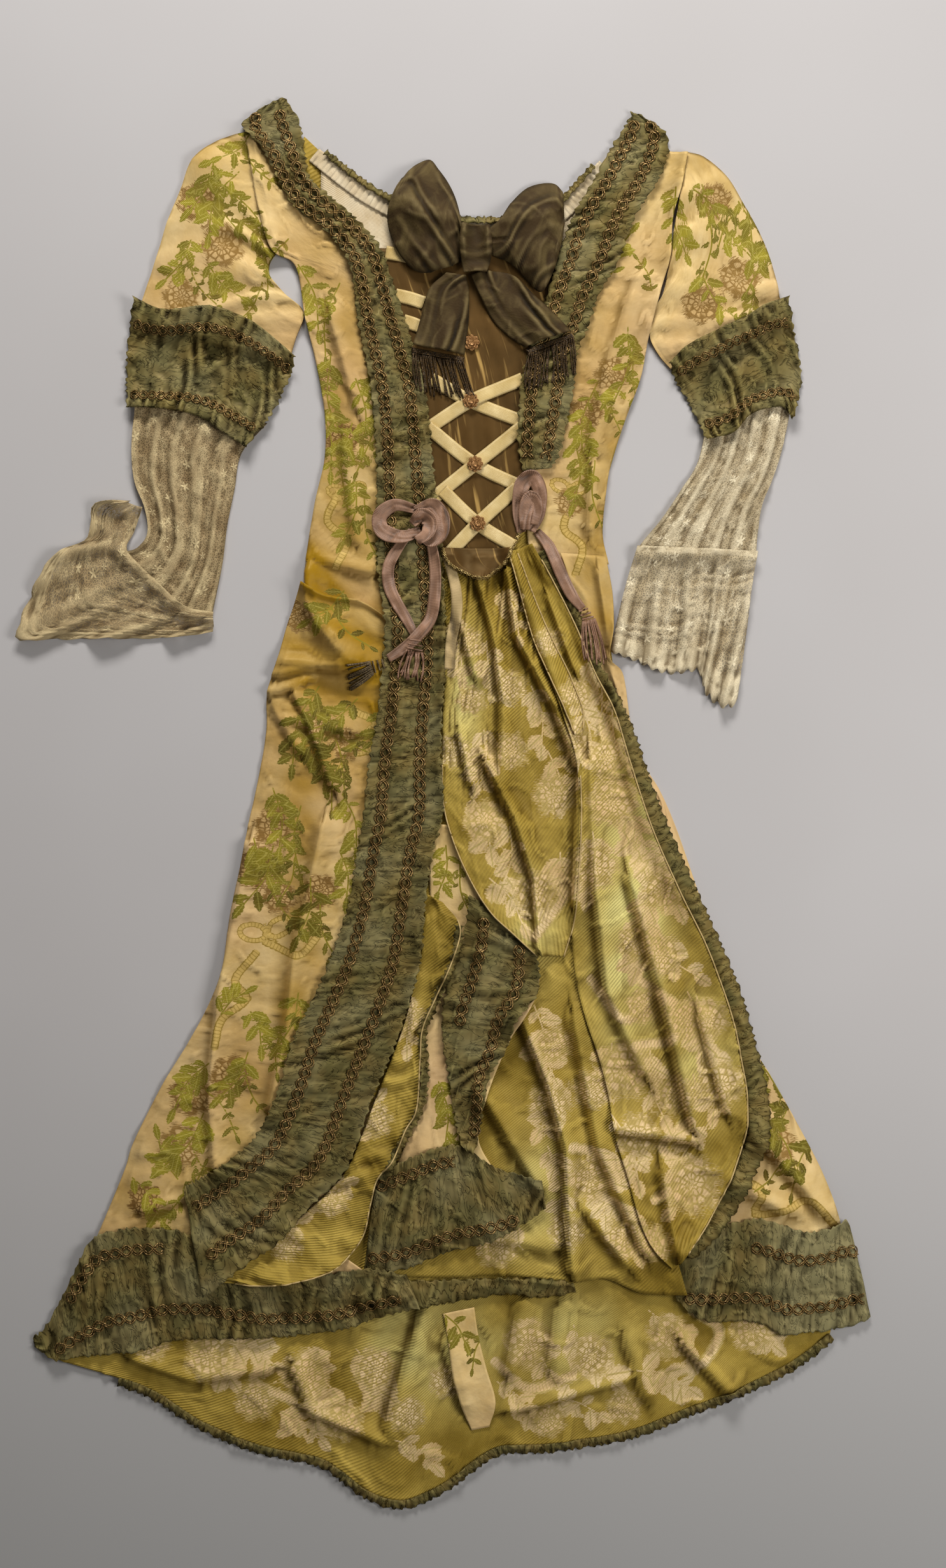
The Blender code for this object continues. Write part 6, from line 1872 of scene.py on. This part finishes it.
# columns: start x, start y, end x, end y, height, half width
SKIRT_LEFT_FOLDS = [
    (-140, -28, -172, -179, 9, 13), (-172, -179, -180, -256, 9, 13),
    (-180, -256, -198, -341, 8, 13), (-222, -50, -256, -215, 7, 12),
    (-256, -215, -268, -334, 8, 10), (-268, -334, -260, -410, 7, 12), (-188, 145, -130, 159, 6, 14),
    (-180, 94, -116, 80, 6, 14), (-195, 109, -166, 58, 5, 12), (-339, -460, -296, -446, 5, 10),
]
# columns: left x, left y, right x, right y
HEM_LEFT = [
    (-467, -604, -464, -616), (-453, -593, -441, -629), (-429, -550, -411, -625),
    (-401, -495, -375, -622), (-375, -483, -346, -618), (-335, -479, -310, -608),
    (-293, -485, -274, -605), (-260, -503, -238, -605), (-216, -525, -198, -604),
    (-180, -532, -159, -600), (-137, -532, -116, -594), (-94, -525, -80, -582),
    (-72, -525, -54, -574), (-44, -532, -29, -568),
]
HIP_DROP = 58
cut = Cut(SKIRT_LEFT, 3.9)
lowered = np.clip(1 - cut.v / 0.16, 0, 1) ** 1.2
cut.xy[..., 1] -= lowered[:, None] * (HIP_DROP * cut.u**1.1 + 5 * np.sin(8 * cut.u))[None]
cut.measure()
# columns: start x, start y, end x, end y, height, half width
HIP_FOLDS = [
    (-183, 158, -120, 152, 8, 11), (-198, 123, -160, 134, 6, 9), (-170, 120, -140, 60, 8, 12),
    (-150, 80, -128, 20, 8, 14),
]
relief = folds(cut, SKIRT_LEFT_FOLDS + HIP_FOLDS) + crumple(cut, 7.0, 46, 141)
relief = relief + 5 * bell(cut.v, 0, 0.012)[:, None]
dress("skirt_left_silk", "skirt_left", cut, FACE, "laid", ["sack_back_silk"], relief=relief)
ruched_band("hem_band_left", HEM_LEFT, HEM_BRAIDS_LEFT, ["skirt_left_silk"], seed=4)

# %% [markdown]
# Beside the long robing the left front's own edge turns back, and shows its reverse in
# short cross folds, with a small dark ruffle.

# %% Left turned edge
# columns: left x, left y, right x, right y
FRONT_TURN = [
    (-23, -102, -3, -113), (-28, -136, 16, -140), (-29, -172, 8, -176), (-38, -215, -10, -217),
    (-48, -253, -26, -254), (-58, -280, -29, -287), (-72, -316, -33, -345), (-83, -345, -46, -370),
    (-97, -381, -59, -401), (-110, -411, -77, -424), (-130, -437, -85, -453),
    (-155, -460, -95, -492), (-177, -480, -126, -526), (-202, -502, -170, -539),
    (-227, -520, -209, -543), (-255, -534, -251, -540),
]
# columns: x, y
EDGE_RUFFLE_PATH = [
    (15, -138), (11, -172), (-3, -204), (-17, -237), (-26, -258), (-24, -302), (-28, -341),
    (-43, -372), (-54, -392), (-65, -415),
]
EDGE_RUFFLE_WIDTH = 9
cut = Cut(FRONT_TURN, 2.9)
relief = gathers(cut, 42, 6.0, waver=1.6) + crumple(cut, 6.0, 30, 151)
dress(
    "front_turn_silk", "front_turn_left", cut, BACK_FACE, "folded", ["skirt_left_silk"],
    relief=relief,
)
turn_edge = cut.xy
cut = tape(EDGE_RUFFLE_PATH, (EDGE_RUFFLE_WIDTH,) * 2, 2.0).frill(1.6, 9)
dress(
    "edge_ruffle_ruched", "edge_ruffle", cut, RUCHED, "gathered", ["front_turn_silk"], fullness=1.2,
    relief=gathers(cut, 7, 2.2) + 0.4, slack=4,
)

# %% [markdown]
# ## The right front, turned back
#
# The right front is folded over on itself from the waist down, so its reverse is the
# largest surface of the gown. Its robing is rolled under, and only a dark roll shows
# along the edge.

# %% Right roll and turned front
# columns: x, y
RIGHT_ROLL_PATH = [
    (108, 284), (126, 251), (144, 219), (159, 182), (172, 148), (187, 120), (206, 73), (221, 22),
    (239, -28), (265, -84), (289, -135), (311, -185), (326, -224), (337, -266), (347, -309),
    (352, -345), (350, -381), (335, -417), (319, -449), (293, -483), (270, -508),
]
RIGHT_ROLL_WIDTHS = (
    14, 14, 12, 12, 12, 14, 18, 22, 24, 22, 20, 20, 20, 22, 24, 26, 26, 26, 26, 26, 20,
)
# columns: left x, left y, right x, right y
RIGHT_TURNED = [
    (72, 283, 97, 292), (82, 238, 121, 249), (97, 195, 146, 199), (115, 145, 167, 148),
    (133, 94, 190, 102), (147, 44, 208, 44), (149, -28, 232, -28), (144, -100, 263, -99),
    (142, -149, 291, -156), (147, -201, 311, -207), (157, -243, 324, -248), (172, -287, 332, -287),
    (183, -330, 339, -330), (190, -374, 337, -372), (205, -424, 322, -418), (219, -474, 296, -469),
    (234, -503, 277, -496), (255, -525, 262, -518),
]
# columns: start x, start y, end x, end y, height, half width
RIGHT_TURNED_FOLDS = [
    (162, 44, 169, -100, 11, 14), (169, -100, 183, -215, 12, 14), (183, -215, 223, -302, 9, 16),
    (208, -86, 244, -215, 9, 14), (244, -215, 280, -366, 13, 16), (187, -366, 280, -381, 9, 12),
    (244, -417, 259, -503, 10, 14), (115, 231, 144, 152, 6, 8), (288, -244, 316, -345, 7, 14),
]
cut = tape(RIGHT_ROLL_PATH, RIGHT_ROLL_WIDTHS, 2.4).frill(1.5, 11)
swelling = rounded(cut, 4.5, 0.7)
relief = gathers(cut, 15, 2.6, waver=1.5) + gathers(cut, 6.5, 1.2, seed=3)
dress(
    "robing_roll_ruched", "robing_roll_right", cut, RUCHED, "folded", ["skirt_side_silk"], wall=2.0,
    relief=relief, dome=swelling,
)
cut = Cut(RIGHT_TURNED, 3.5)
relief = folds(cut, RIGHT_TURNED_FOLDS) + crumple(cut, 7.5, 58, 161)
dress(
    "front_right_silk", "front_right_turned", cut, BACK_FACE, "folded", ["robing_roll_ruched"],
    relief=relief,
)
right_edge = cut.xy

# %% Pleat loop at the waist
# columns: x, y
PLEAT_LOOP = [
    (75, 283), (92, 231), (109, 184), (129, 141), (145, 102), (149, 76),
]
PLEAT_LOOP_WIDTHS = (9, 14, 20, 22, 20, 9)
cut = tape(PLEAT_LOOP, PLEAT_LOOP_WIDTHS, 2.4)
swelling = 8.0 * np.sin(math.pi * cut.u)[None] ** 0.8
swelling = swelling * np.sin(math.pi * np.clip(cut.v, 0.02, 0.98))[:, None] ** 0.5
dress(
    "pleat_loop_silk", "pleat_loop", cut, BACK_FACE, "folded", ["front_flap_silk"], fullness=1.25,
    relief=swelling,
)
loop_edge = cut.xy

# %% [markdown]
# Bindings finish the turned edges: a thin cream cord on the fold of each.

# %% Cream bindings
parts = []
for edge in (
    right_edge[6:-4, -1], flap_edge[int(len(flap_edge) * 0.55):, -1],
    flap_edge[int(len(flap_edge) * 0.5):, 0], turn_edge[8:-4, -1], loop_edge[2:-2, 0],
    loop_edge[2:-2, -1],
):
    path, _ = resampled(edge, 2.4)
    parts.append(laid_cord(path, 0.9))
on_body(joined("front_bindings", parts, CREAM_PIPING), None)

# %% [markdown]
# ## Robings
#
# The long ruched robing is the gown's main trimming. It runs from the shoulder to the
# hem as one band, with two rows of braid, and the silk puffs up between them. Each braid
# holds the gathers down, so the relief drops under it.

# %% Robings and their braids
# columns: left x, left y, right x, right y
ROBING_LEFT = [
    (-208, 786, -183, 798), (-230, 764, -166, 770), (-206, 735, -159, 732), (-189, 703, -153, 705),
    (-172, 673, -130, 684), (-141, 650, -100, 658), (-116, 621, -74, 627), (-105, 591, -62, 594),
    (-100, 548, -47, 548), (-93, 512, -35, 510), (-85, 469, -23, 467), (-80, 418, -18, 422),
    (-78, 368, -13, 368), (-78, 318, -7, 318), (-77, 260, -3, 260), (-69, 202, 0, 202),
    (-72, 152, 0, 152), (-77, 102, -4, 103), (-87, 44, -5, 48), (-93, -14, -3, -10),
    (-101, -60, -15, -60), (-110, -114, -23, -114), (-129, -172, -28, -176),
    (-149, -219, -40, -222), (-172, -267, -58, -276), (-190, -327, -83, -334),
    (-213, -374, -112, -413), (-237, -397, -152, -454), (-263, -415, -188, -495),
    (-281, -426, -227, -521), (-295, -433, -273, -558),
]
ROBING_RIGHT = [
    (210, 780, 219, 778), (201, 762, 249, 755), (185, 737, 249, 726), (165, 699, 237, 698),
    (147, 669, 218, 669), (135, 642, 205, 640), (126, 613, 194, 609), (115, 575, 172, 572),
    (105, 541, 161, 538), (93, 508, 148, 505), (85, 476, 144, 467), (82, 436, 136, 427),
    (81, 404, 129, 395), (87, 374, 118, 377),
]
BRAID_PLACES = (0.22, 0.70)
for side, table, seed in (("left", ROBING_LEFT, 5), ("right", ROBING_RIGHT, 8)):
    cut = Cut(table, 2.95).frill(1.6, 9.5, seed=seed)
    tied = sum(bell((cut.u - u) * cut.across.mean(), 0, 5.5) for u in BRAID_PLACES)
    held_down = 1 - 0.75 * tied[None]
    relief = gathers(
        cut, 32, 3.6, waver=2.6, slant=0.2, seed=seed,
    ) + gathers(cut, 10.0, 2.2, waver=3.2, seed=seed + 1)
    relief = (relief + crumple(cut, 5.5, 27, 170 + seed)) * held_down
    dress(
        f"robing_{side}_ruched", f"robing_{side}", cut, RUCHED, "gathered", [f"bodice_{side}_silk"],
        fullness=1.25, relief=relief, fields=pale_patches_and_sheen(cut, seed),
    )
    for number, u in enumerate(BRAID_PLACES, 1):
        node = f"robing_braid_{side}_{number}"
        guilloche(node + "_cords", [line_along(cut, u)[4:-4]], node=node)

# %% [markdown]
# ## Small dressings
#
# A strip of linen facing shows beside the left robing at the waist, and a strip of the
# brocade's right side covers the train's seam.

# %% Facing and seam strip
# columns: x, y
FACING_PATH = [
    (1, 280), (11, 242), (12, 213), (6, 181), (4, 150),
]
# columns: left x, left y, right x, right y
SEAM_STRIP = [
    (-3, -577, 32, -570), (3, -611, 37, -604), (8, -647, 46, -640), (18, -683, 56, -676),
    (29, -709, 49, -705),
]
cut = tape(FACING_PATH, (11, 13, 11), 2.6)
dress(
    "facing_strip_linen", "facing_strip", cut, FACING, "laid", ["robing_left_ruched"], wall=1.0,
    slack=6,
)
cut = Cut(SEAM_STRIP, 2.6)
dress(
    "seam_strip_silk", "seam_strip", cut, FACE, "laid", ["sack_back_silk"], wall=1.0,
    relief=crumple(cut, 1.5, 30, 181),
)

# %% [markdown]
# Rosettes are wound ribbon. One is modelled as a stack of shrinking petals
# round a knot and then copied to its places, each copy with its own mesh.


# %% Rosettes
# columns: x, y
ROSETTES = [
    (28, 453), (33, 382), (36, 315), (29, 519),
]


def petal_ring(radius, height, petals, lift):
    bpy.ops.mesh.primitive_cylinder_add(
        vertices=petals * 6, radius=radius * MM, depth=height * MM,
        location=(0, 0, (lift + height / 2) * MM),
    )
    ring = bpy.context.object
    for corner in ring.data.vertices:
        x, y, z = corner.co
        turn = math.atan2(y, x)
        share = 0.8 + 0.2 * abs(math.cos(turn * petals / 2))
        corner.co = (
            x * share, y * share, z if z < 0 else z + 0.4 * MM * abs(math.cos(turn * petals / 2)),
        )
    bpy.ops.object.mode_set(mode="EDIT")
    bpy.ops.mesh.select_all(action="DESELECT")
    bpy.ops.object.mode_set(mode="OBJECT")
    for face in ring.data.polygons:
        face.select = face.normal.z > 0.9
    bpy.ops.object.mode_set(mode="EDIT")
    bpy.ops.mesh.inset(thickness=radius * 0.3 * MM, depth=-0.5 * MM)
    bpy.ops.object.mode_set(mode="OBJECT")
    bevel = ring.modifiers.new("soft", "BEVEL")
    bevel.width, bevel.segments = 0.25 * MM, 2
    bpy.ops.object.modifier_apply(modifier=bevel.name)
    bpy.ops.object.transform_apply(location=True, rotation=False, scale=False)
    return ring


rings = [petal_ring(9.3, 1.6, 8, 0.0), petal_ring(6.6, 1.6, 6, 1.5), petal_ring(3.6, 1.6, 5, 2.9)]
for ring in rings:
    ring.select_set(True)
bpy.context.view_layer.objects.active = rings[0]
bpy.ops.object.join()
pattern = bpy.context.object
pattern.data.materials.clear()
pattern.data.materials.append(COPPER)
bpy.ops.object.shade_smooth_by_angle(angle=math.radians(40))
for number, centre in enumerate(ROSETTES, 1):
    around = [(math.cos(a), math.sin(a)) for a in np.linspace(0, 6.28, 12)]
    spots = np.array(centre) + 8 * np.array(around)
    level = float(PILE.height(spots).max()) + GAP
    made = bpy.data.objects.new(f"rosette_{number}_wound", pattern.data.copy())
    for corner in made.data.vertices:
        corner.co = (
            corner.co.x + centre[0] * MM, corner.co.y + centre[1] * MM, corner.co.z + level * MM,
        )
    bpy.context.scene.collection.objects.link(made)
    on_body(made, f"rosette_{number}")
bpy.data.objects.remove(pattern, do_unlink=True)
bpy.ops.object.select_all(action="DESELECT")

# %% [markdown]
# ## The velvet bow
#
# A big soft bow sits at the neck: two loops, a knot and two tails with fringed ends. A
# loop is a tube of velvet that has been pressed, so its relief is a swelling with
# creases that run in to the knot.

# %% Velvet tails
# columns: left x, left y, right x, right y
BOW_TAIL_LEFT = [
    (0, 597, 23, 594), (-18, 580, 26, 577), (-26, 555, 26, 548), (-33, 530, 23, 521),
    (-37, 516, 21, 505),
]
BOW_TAIL_RIGHT = [
    (28, 594, 46, 600), (39, 570, 76, 594), (53, 544, 105, 567), (72, 525, 128, 545),
    (89, 513, 141, 531),
]
BOW_LOOP_LEFT = [
    (18, 649, 18, 611), (15, 667, 0, 602), (10, 685, -29, 597), (2, 701, -49, 613),
    (-8, 715, -62, 638), (-18, 726, -66, 663), (-33, 721, -59, 688), (-42, 714, -51, 702),
]
BOW_LOOP_RIGHT = [
    (49, 647, 49, 618), (61, 657, 72, 608), (73, 676, 92, 588), (90, 693, 108, 575),
    (109, 699, 121, 598), (123, 698, 129, 624), (132, 688, 134, 652),
]
BOW_KNOT = [
    (21, 650, 44, 650), (18, 631, 47, 631), (20, 613, 46, 613), (23, 597, 41, 597),
]
for side, table in (("left", BOW_TAIL_LEFT), ("right", BOW_TAIL_RIGHT)):
    cut = Cut(table, 2.2)
    relief = rounded(cut, 4.5, 0.6) + crossways(cut, 20, 6.0, 1.0) + crumple(cut, 3.5, 50, 191)
    dress(
        f"bow_tail_{side}_velvet", f"bow_tail_{side}", cut, VELVET, "folded", ["stomacher_lame"],
        relief=relief,
    )


# %% [markdown]
# Fringe: each strand is a twisted cord that starts in a narrow band and lies down over
# what is below it. Its tip hangs free and ends just above the cloth.


# %% Fringes
# columns: x, y
FRINGE_LEFT = [
    (-38, 513), (21, 502), (-39, 508), (20, 498),
]
FRINGE_LEFT_ENDS = [
    (-35, 464), (34, 456),
]
FRINGE_RIGHT = [
    (90, 510), (142, 528), (92, 506), (144, 524),
]
FRINGE_RIGHT_ENDS = [
    (87, 463), (147, 483),
]


def fringe(name, node, heading, ends, count, finish, radius=1.1, seed=1):
    rng = np.random.default_rng(seed)
    top_a, top_b, root_a, root_b = (np.array(p, float) for p in heading)
    end_a, end_b = (np.array(p, float) for p in ends)
    parts = []
    for t in np.linspace(0.02, 0.98, count):
        root, end = root_a + (root_b - root_a) * t, end_a + (end_b - end_a) * t
        end = end + rng.uniform(-1, 1, 2) * (1.5, 4.0)
        bend = rng.uniform(-1, 1) * 3
        s = np.linspace(0, 1, 16)[:, None]
        path = root * (1 - s) + end * s + np.array([bend, 0]) * np.sin(math.pi * s)
        parts.append(laid_cord(path, radius, lift=0.5 + rng.uniform(0, 0.8), sides=5, twist=0.8))
    for share in (0.15, 0.5, 0.85):
        line = np.linspace(top_a + (root_a - top_a) * share, top_b + (root_b - top_b) * share, 30)
        parts.append(laid_cord(line, 1.1, lift=1.4, twist=0.9))
    made = joined(name, parts, finish)
    return on_body(made, node)


for side, heading, ends, count in (
    ("left", FRINGE_LEFT, FRINGE_LEFT_ENDS, 30),
    ("right", FRINGE_RIGHT, FRINGE_RIGHT_ENDS, 28),
):
    fringe(
        f"bow_fringe_{side}_cords", f"bow_fringe_{side}", heading, ends, count,
        metal_thread(f"velvet_fringe_{side}", "#1E1407", "#57401F", 0.5), seed=7,
    )

# %% Velvet loops and knot
for side, table, height in (("left", BOW_LOOP_LEFT, 20), ("right", BOW_LOOP_RIGHT, 18)):
    cut = Cut(table, 2.2)
    swelling = height * np.sin(math.pi * np.clip(cut.u, 0.01, 0.99))[None] ** 0.6
    swelling = swelling * np.sin(math.pi * np.clip(cut.v * 0.86 + 0.1, 0, 1))[:, None] ** 0.7
    pull = np.exp(-cut.v / 0.45)[:, None]
    creases = crossways(cut, 23, 8.0, 2.0 if side == "left" else 3.4, waver=0.9) * (0.15 + pull)
    relief = swelling + creases + crumple(cut, 5.0, 64, 201)
    dress(
        f"bow_loop_{side}_velvet", f"bow_loop_{side}", cut, VELVET, "folded", ["back_lining_linen"],
        relief=relief,
    )
cut = Cut(np.array(BOW_KNOT) + np.array([-3, 0, 5, 0]), 1.8)
swelling = 8.0 * np.sin(math.pi * np.clip(cut.u, 0.02, 0.98))[None] ** 0.6
swelling = swelling * np.sin(math.pi * np.clip(cut.v, 0.05, 0.95))[:, None] ** 0.4
dress(
    "bow_knot_velvet", "bow_knot", cut, VELVET, "folded",
    ["bow_loop_left_velvet", "bow_loop_right_velvet"], relief=swelling + gathers(cut, 15, 2.0),
)

# %% [markdown]
# The stomacher's rounded point hangs free over the gathered waist of the front flap. It
# is the same lame, laid here as its own small piece because the flap was laid after it.

# %% Stomacher point
# columns: left x, left y, right x, right y
STOMACHER_POINT = [
    (-4, 287, 74, 287), (0, 274, 70, 274), (8, 265, 62, 265), (21, 258, 54, 258),
    (32, 252, 46, 252),
]
cut = Cut(STOMACHER_POINT, 2.0)
dress(
    "stomacher_point_lame", None, cut, LAME, "laid", ["front_flap_silk"], wall=0.9,
    relief=crumple(cut, 1.2, 22, 91) + 0.4,
)
rim = np.vstack([cut.xy[:, 0], cut.xy[-1, 1:-1], cut.xy[::-1, -1]])
guilloche("stomacher_point_edging", [rim], PIPING, width=4.0, pitch=4.0, thread=0.6)

# %% [markdown]
# ## Mauve ribbon bows
#
# Two limp bows of faded mauve ribbon tie the fronts at the waist. Their tails end in
# small tassels.

# %% Mauve bows
# a list of x, y for each
MAUVE_LOOPS_LEFT = [
    [(-28, 306), (-49, 299), (-71, 306), (-74, 323), (-57, 335), (-33, 330)],
    [(-35, 328), (-16, 335), (-5, 323), (-5, 305), (-16, 294), (-29, 302)],
    [(-38, 313), (-28, 323), (-18, 316), (-21, 302), (-33, 294)],
]
# a list of x, y for each
MAUVE_LOOPS_RIGHT = [
    [(85, 305), (82, 330), (86, 358), (98, 366), (106, 351), (105, 325), (96, 306)],
    [(89, 307), (90, 328), (96, 343), (102, 332), (99, 313)],
]
# columns: x, y
MAUVE_TAIL_SHORT = [
    (-38, 306), (-52, 289), (-64, 267), (-64, 246), (-57, 228), (-44, 206), (-35, 189),
]
MAUVE_TAIL_LONG = [
    (-25, 305), (-16, 289), (-12, 260), (-13, 231), (-18, 206), (-33, 186), (-51, 171), (-65, 162),
]
MAUVE_TAIL_RIGHT = [
    (103, 306), (116, 289), (129, 260), (141, 235), (154, 218),
]
TAIL_WIDTHS = (9, 13, 14, 13, 9)
# columns: x and y of the head's two ends, the root line's two ends and the tips' two ends
TASSELS = [
    (-70, 162, -67, 152, -85, 159, -81, 145, -112, 153, -107, 127),
    (-40, 185, -28, 184, -44, 172, -26, 169, -54, 142, -26, 140),
    (149, 217, 159, 221, 154, 204, 168, 208, 155, 159, 180, 159),
]
for name, path in (
    ("mauve_tail_left_1", MAUVE_TAIL_SHORT),
    ("mauve_tail_left_2", MAUVE_TAIL_LONG),
    ("mauve_tail_right", MAUVE_TAIL_RIGHT),
):
    cut = tape(path, TAIL_WIDTHS, 2.2)
    relief = 3.0 * cut.u[None] * np.abs(np.sin(cut.s / 19)) + crossways(cut, 5.5, 1.6, 1.0)
    dress(
        name + "_ribbon", name, cut, MAUVE, "draped",
        ["robing_left_ruched" if "left" in name else "front_right_silk"], wall=0.9, relief=relief,
    )


def ribbon_bow(name, node, loops):
    """Loops of one ribbon, each laid over the last and joined to one piece."""
    bpy.ops.object.select_all(action="DESELECT")
    for number, path in enumerate(loops):
        cut = tape(path, (10.0, 18.0, 16.0, 10.0), 1.7)
        rise = np.sin(math.pi * np.clip(cut.v, 0, 1))[:, None] * (0.6 + 3.0 * cut.u)[None]
        loop = lay(
            f"{name}_{number}", cut, MAUVE, wall=0.9,
            relief=rise + crossways(cut, 7.5, 2.0, number + 0.4), slack=8, deep=0.6,
        )
        loop.select_set(True)
        bpy.context.view_layer.objects.active = loop
    bpy.ops.object.join()
    made = bpy.context.object
    made.name = name
    bpy.ops.object.select_all(action="DESELECT")
    on_body(made, node)


ribbon_bow("mauve_bow_left_ribbon", "mauve_bow_left", MAUVE_LOOPS_LEFT)
ribbon_bow("mauve_bow_right_ribbon", "mauve_bow_right", MAUVE_LOOPS_RIGHT)
for number, row in enumerate(TASSELS, 1):
    corners = [row[i:i + 2] for i in range(0, 12, 2)]
    finish = metal_thread(
        f"tassel_silk_{number}", "#3A2E1E", "#7A6644", 0.6,
    ) if number == 1 else MAUVE
    fringe(
        f"tassel_{number}_cords", f"tassel_{number}", corners[:4], corners[4:], 12, finish,
        radius=1.2, seed=20 + number,
    )

# %% [markdown]
# ## Table, light and air
#
# The photograph has one large soft light beyond the neck, so every fold has its shadow
# toward the hem. A weaker one on the right stands for the room. The table is a plain pale
# grey, with painted shade that darkens it toward the hem, where the light falls off.

# %% Table and lights
TABLE_SIZE, TABLE_TOP = 9.0, -0.0004
SHADE_FROM, SHADE_TO = -0.2, -0.95
AMBIENT = 0.165
bpy.ops.mesh.primitive_plane_add(size=TABLE_SIZE, location=(0, 0, TABLE_TOP))
table_top = bpy.context.object
table_top.name = "table_top"
paper, tree, shader, _ = finish_start("pale_grey_paper")
place = put(tree, "TexCoord").outputs["Object"]
grain = put(tree, "TexNoise", {"Vector": place, "Scale": 3.0, "Detail": 2.0})
tint = put(tree, "Mix", {0: grain, 6: light("#B2ADAA"), 7: light("#BAB6B4")})
along = put(tree, "SeparateXYZ", {0: place}).outputs["Y"]
# Painted shade: the table darkens toward the hem.
falloff_shade = put(tree, "MapRange", {0: along, 1: SHADE_FROM, 2: SHADE_TO})
tint = put(tree, "Mix", {0: falloff_shade, 6: tint, 7: light("#9E9C99")})
feed(tree, shader, {"Base Color": tint, "Roughness": 0.9})
table_top.data.materials.append(paper)

world = bpy.data.worlds.new("studio")
bpy.context.scene.world = world
world.use_nodes = True
background = world.node_tree.nodes["Background"]
feed(world.node_tree, background, {"Color": (1.0, 0.985, 0.965, 1), "Strength": AMBIENT})
bpy.context.scene.view_settings.view_transform = "Standard"


def softbox(name, place, aim, size, power):
    lamp = bpy.data.lights.new(name, "AREA")
    lamp.shape, lamp.size, lamp.size_y, lamp.energy = "RECTANGLE", size[0], size[1], power
    holder = bpy.data.objects.new(name, lamp)
    holder.location = place
    way = [a - b for a, b in zip(aim, place)]
    flat = math.hypot(way[0], way[1])
    holder.rotation_euler = (math.atan2(flat, -way[2]), 0, math.atan2(way[1], way[0]) - math.pi / 2)
    bpy.context.scene.collection.objects.link(holder)


softbox("key", (-0.05, 2.6, 1.45), (0, 0.15, 0), (1.2, 0.6), 78)
softbox("over", (1.6, -0.1, 1.7), (0.45, -0.05, 0), (1.0, 1.0), 29)
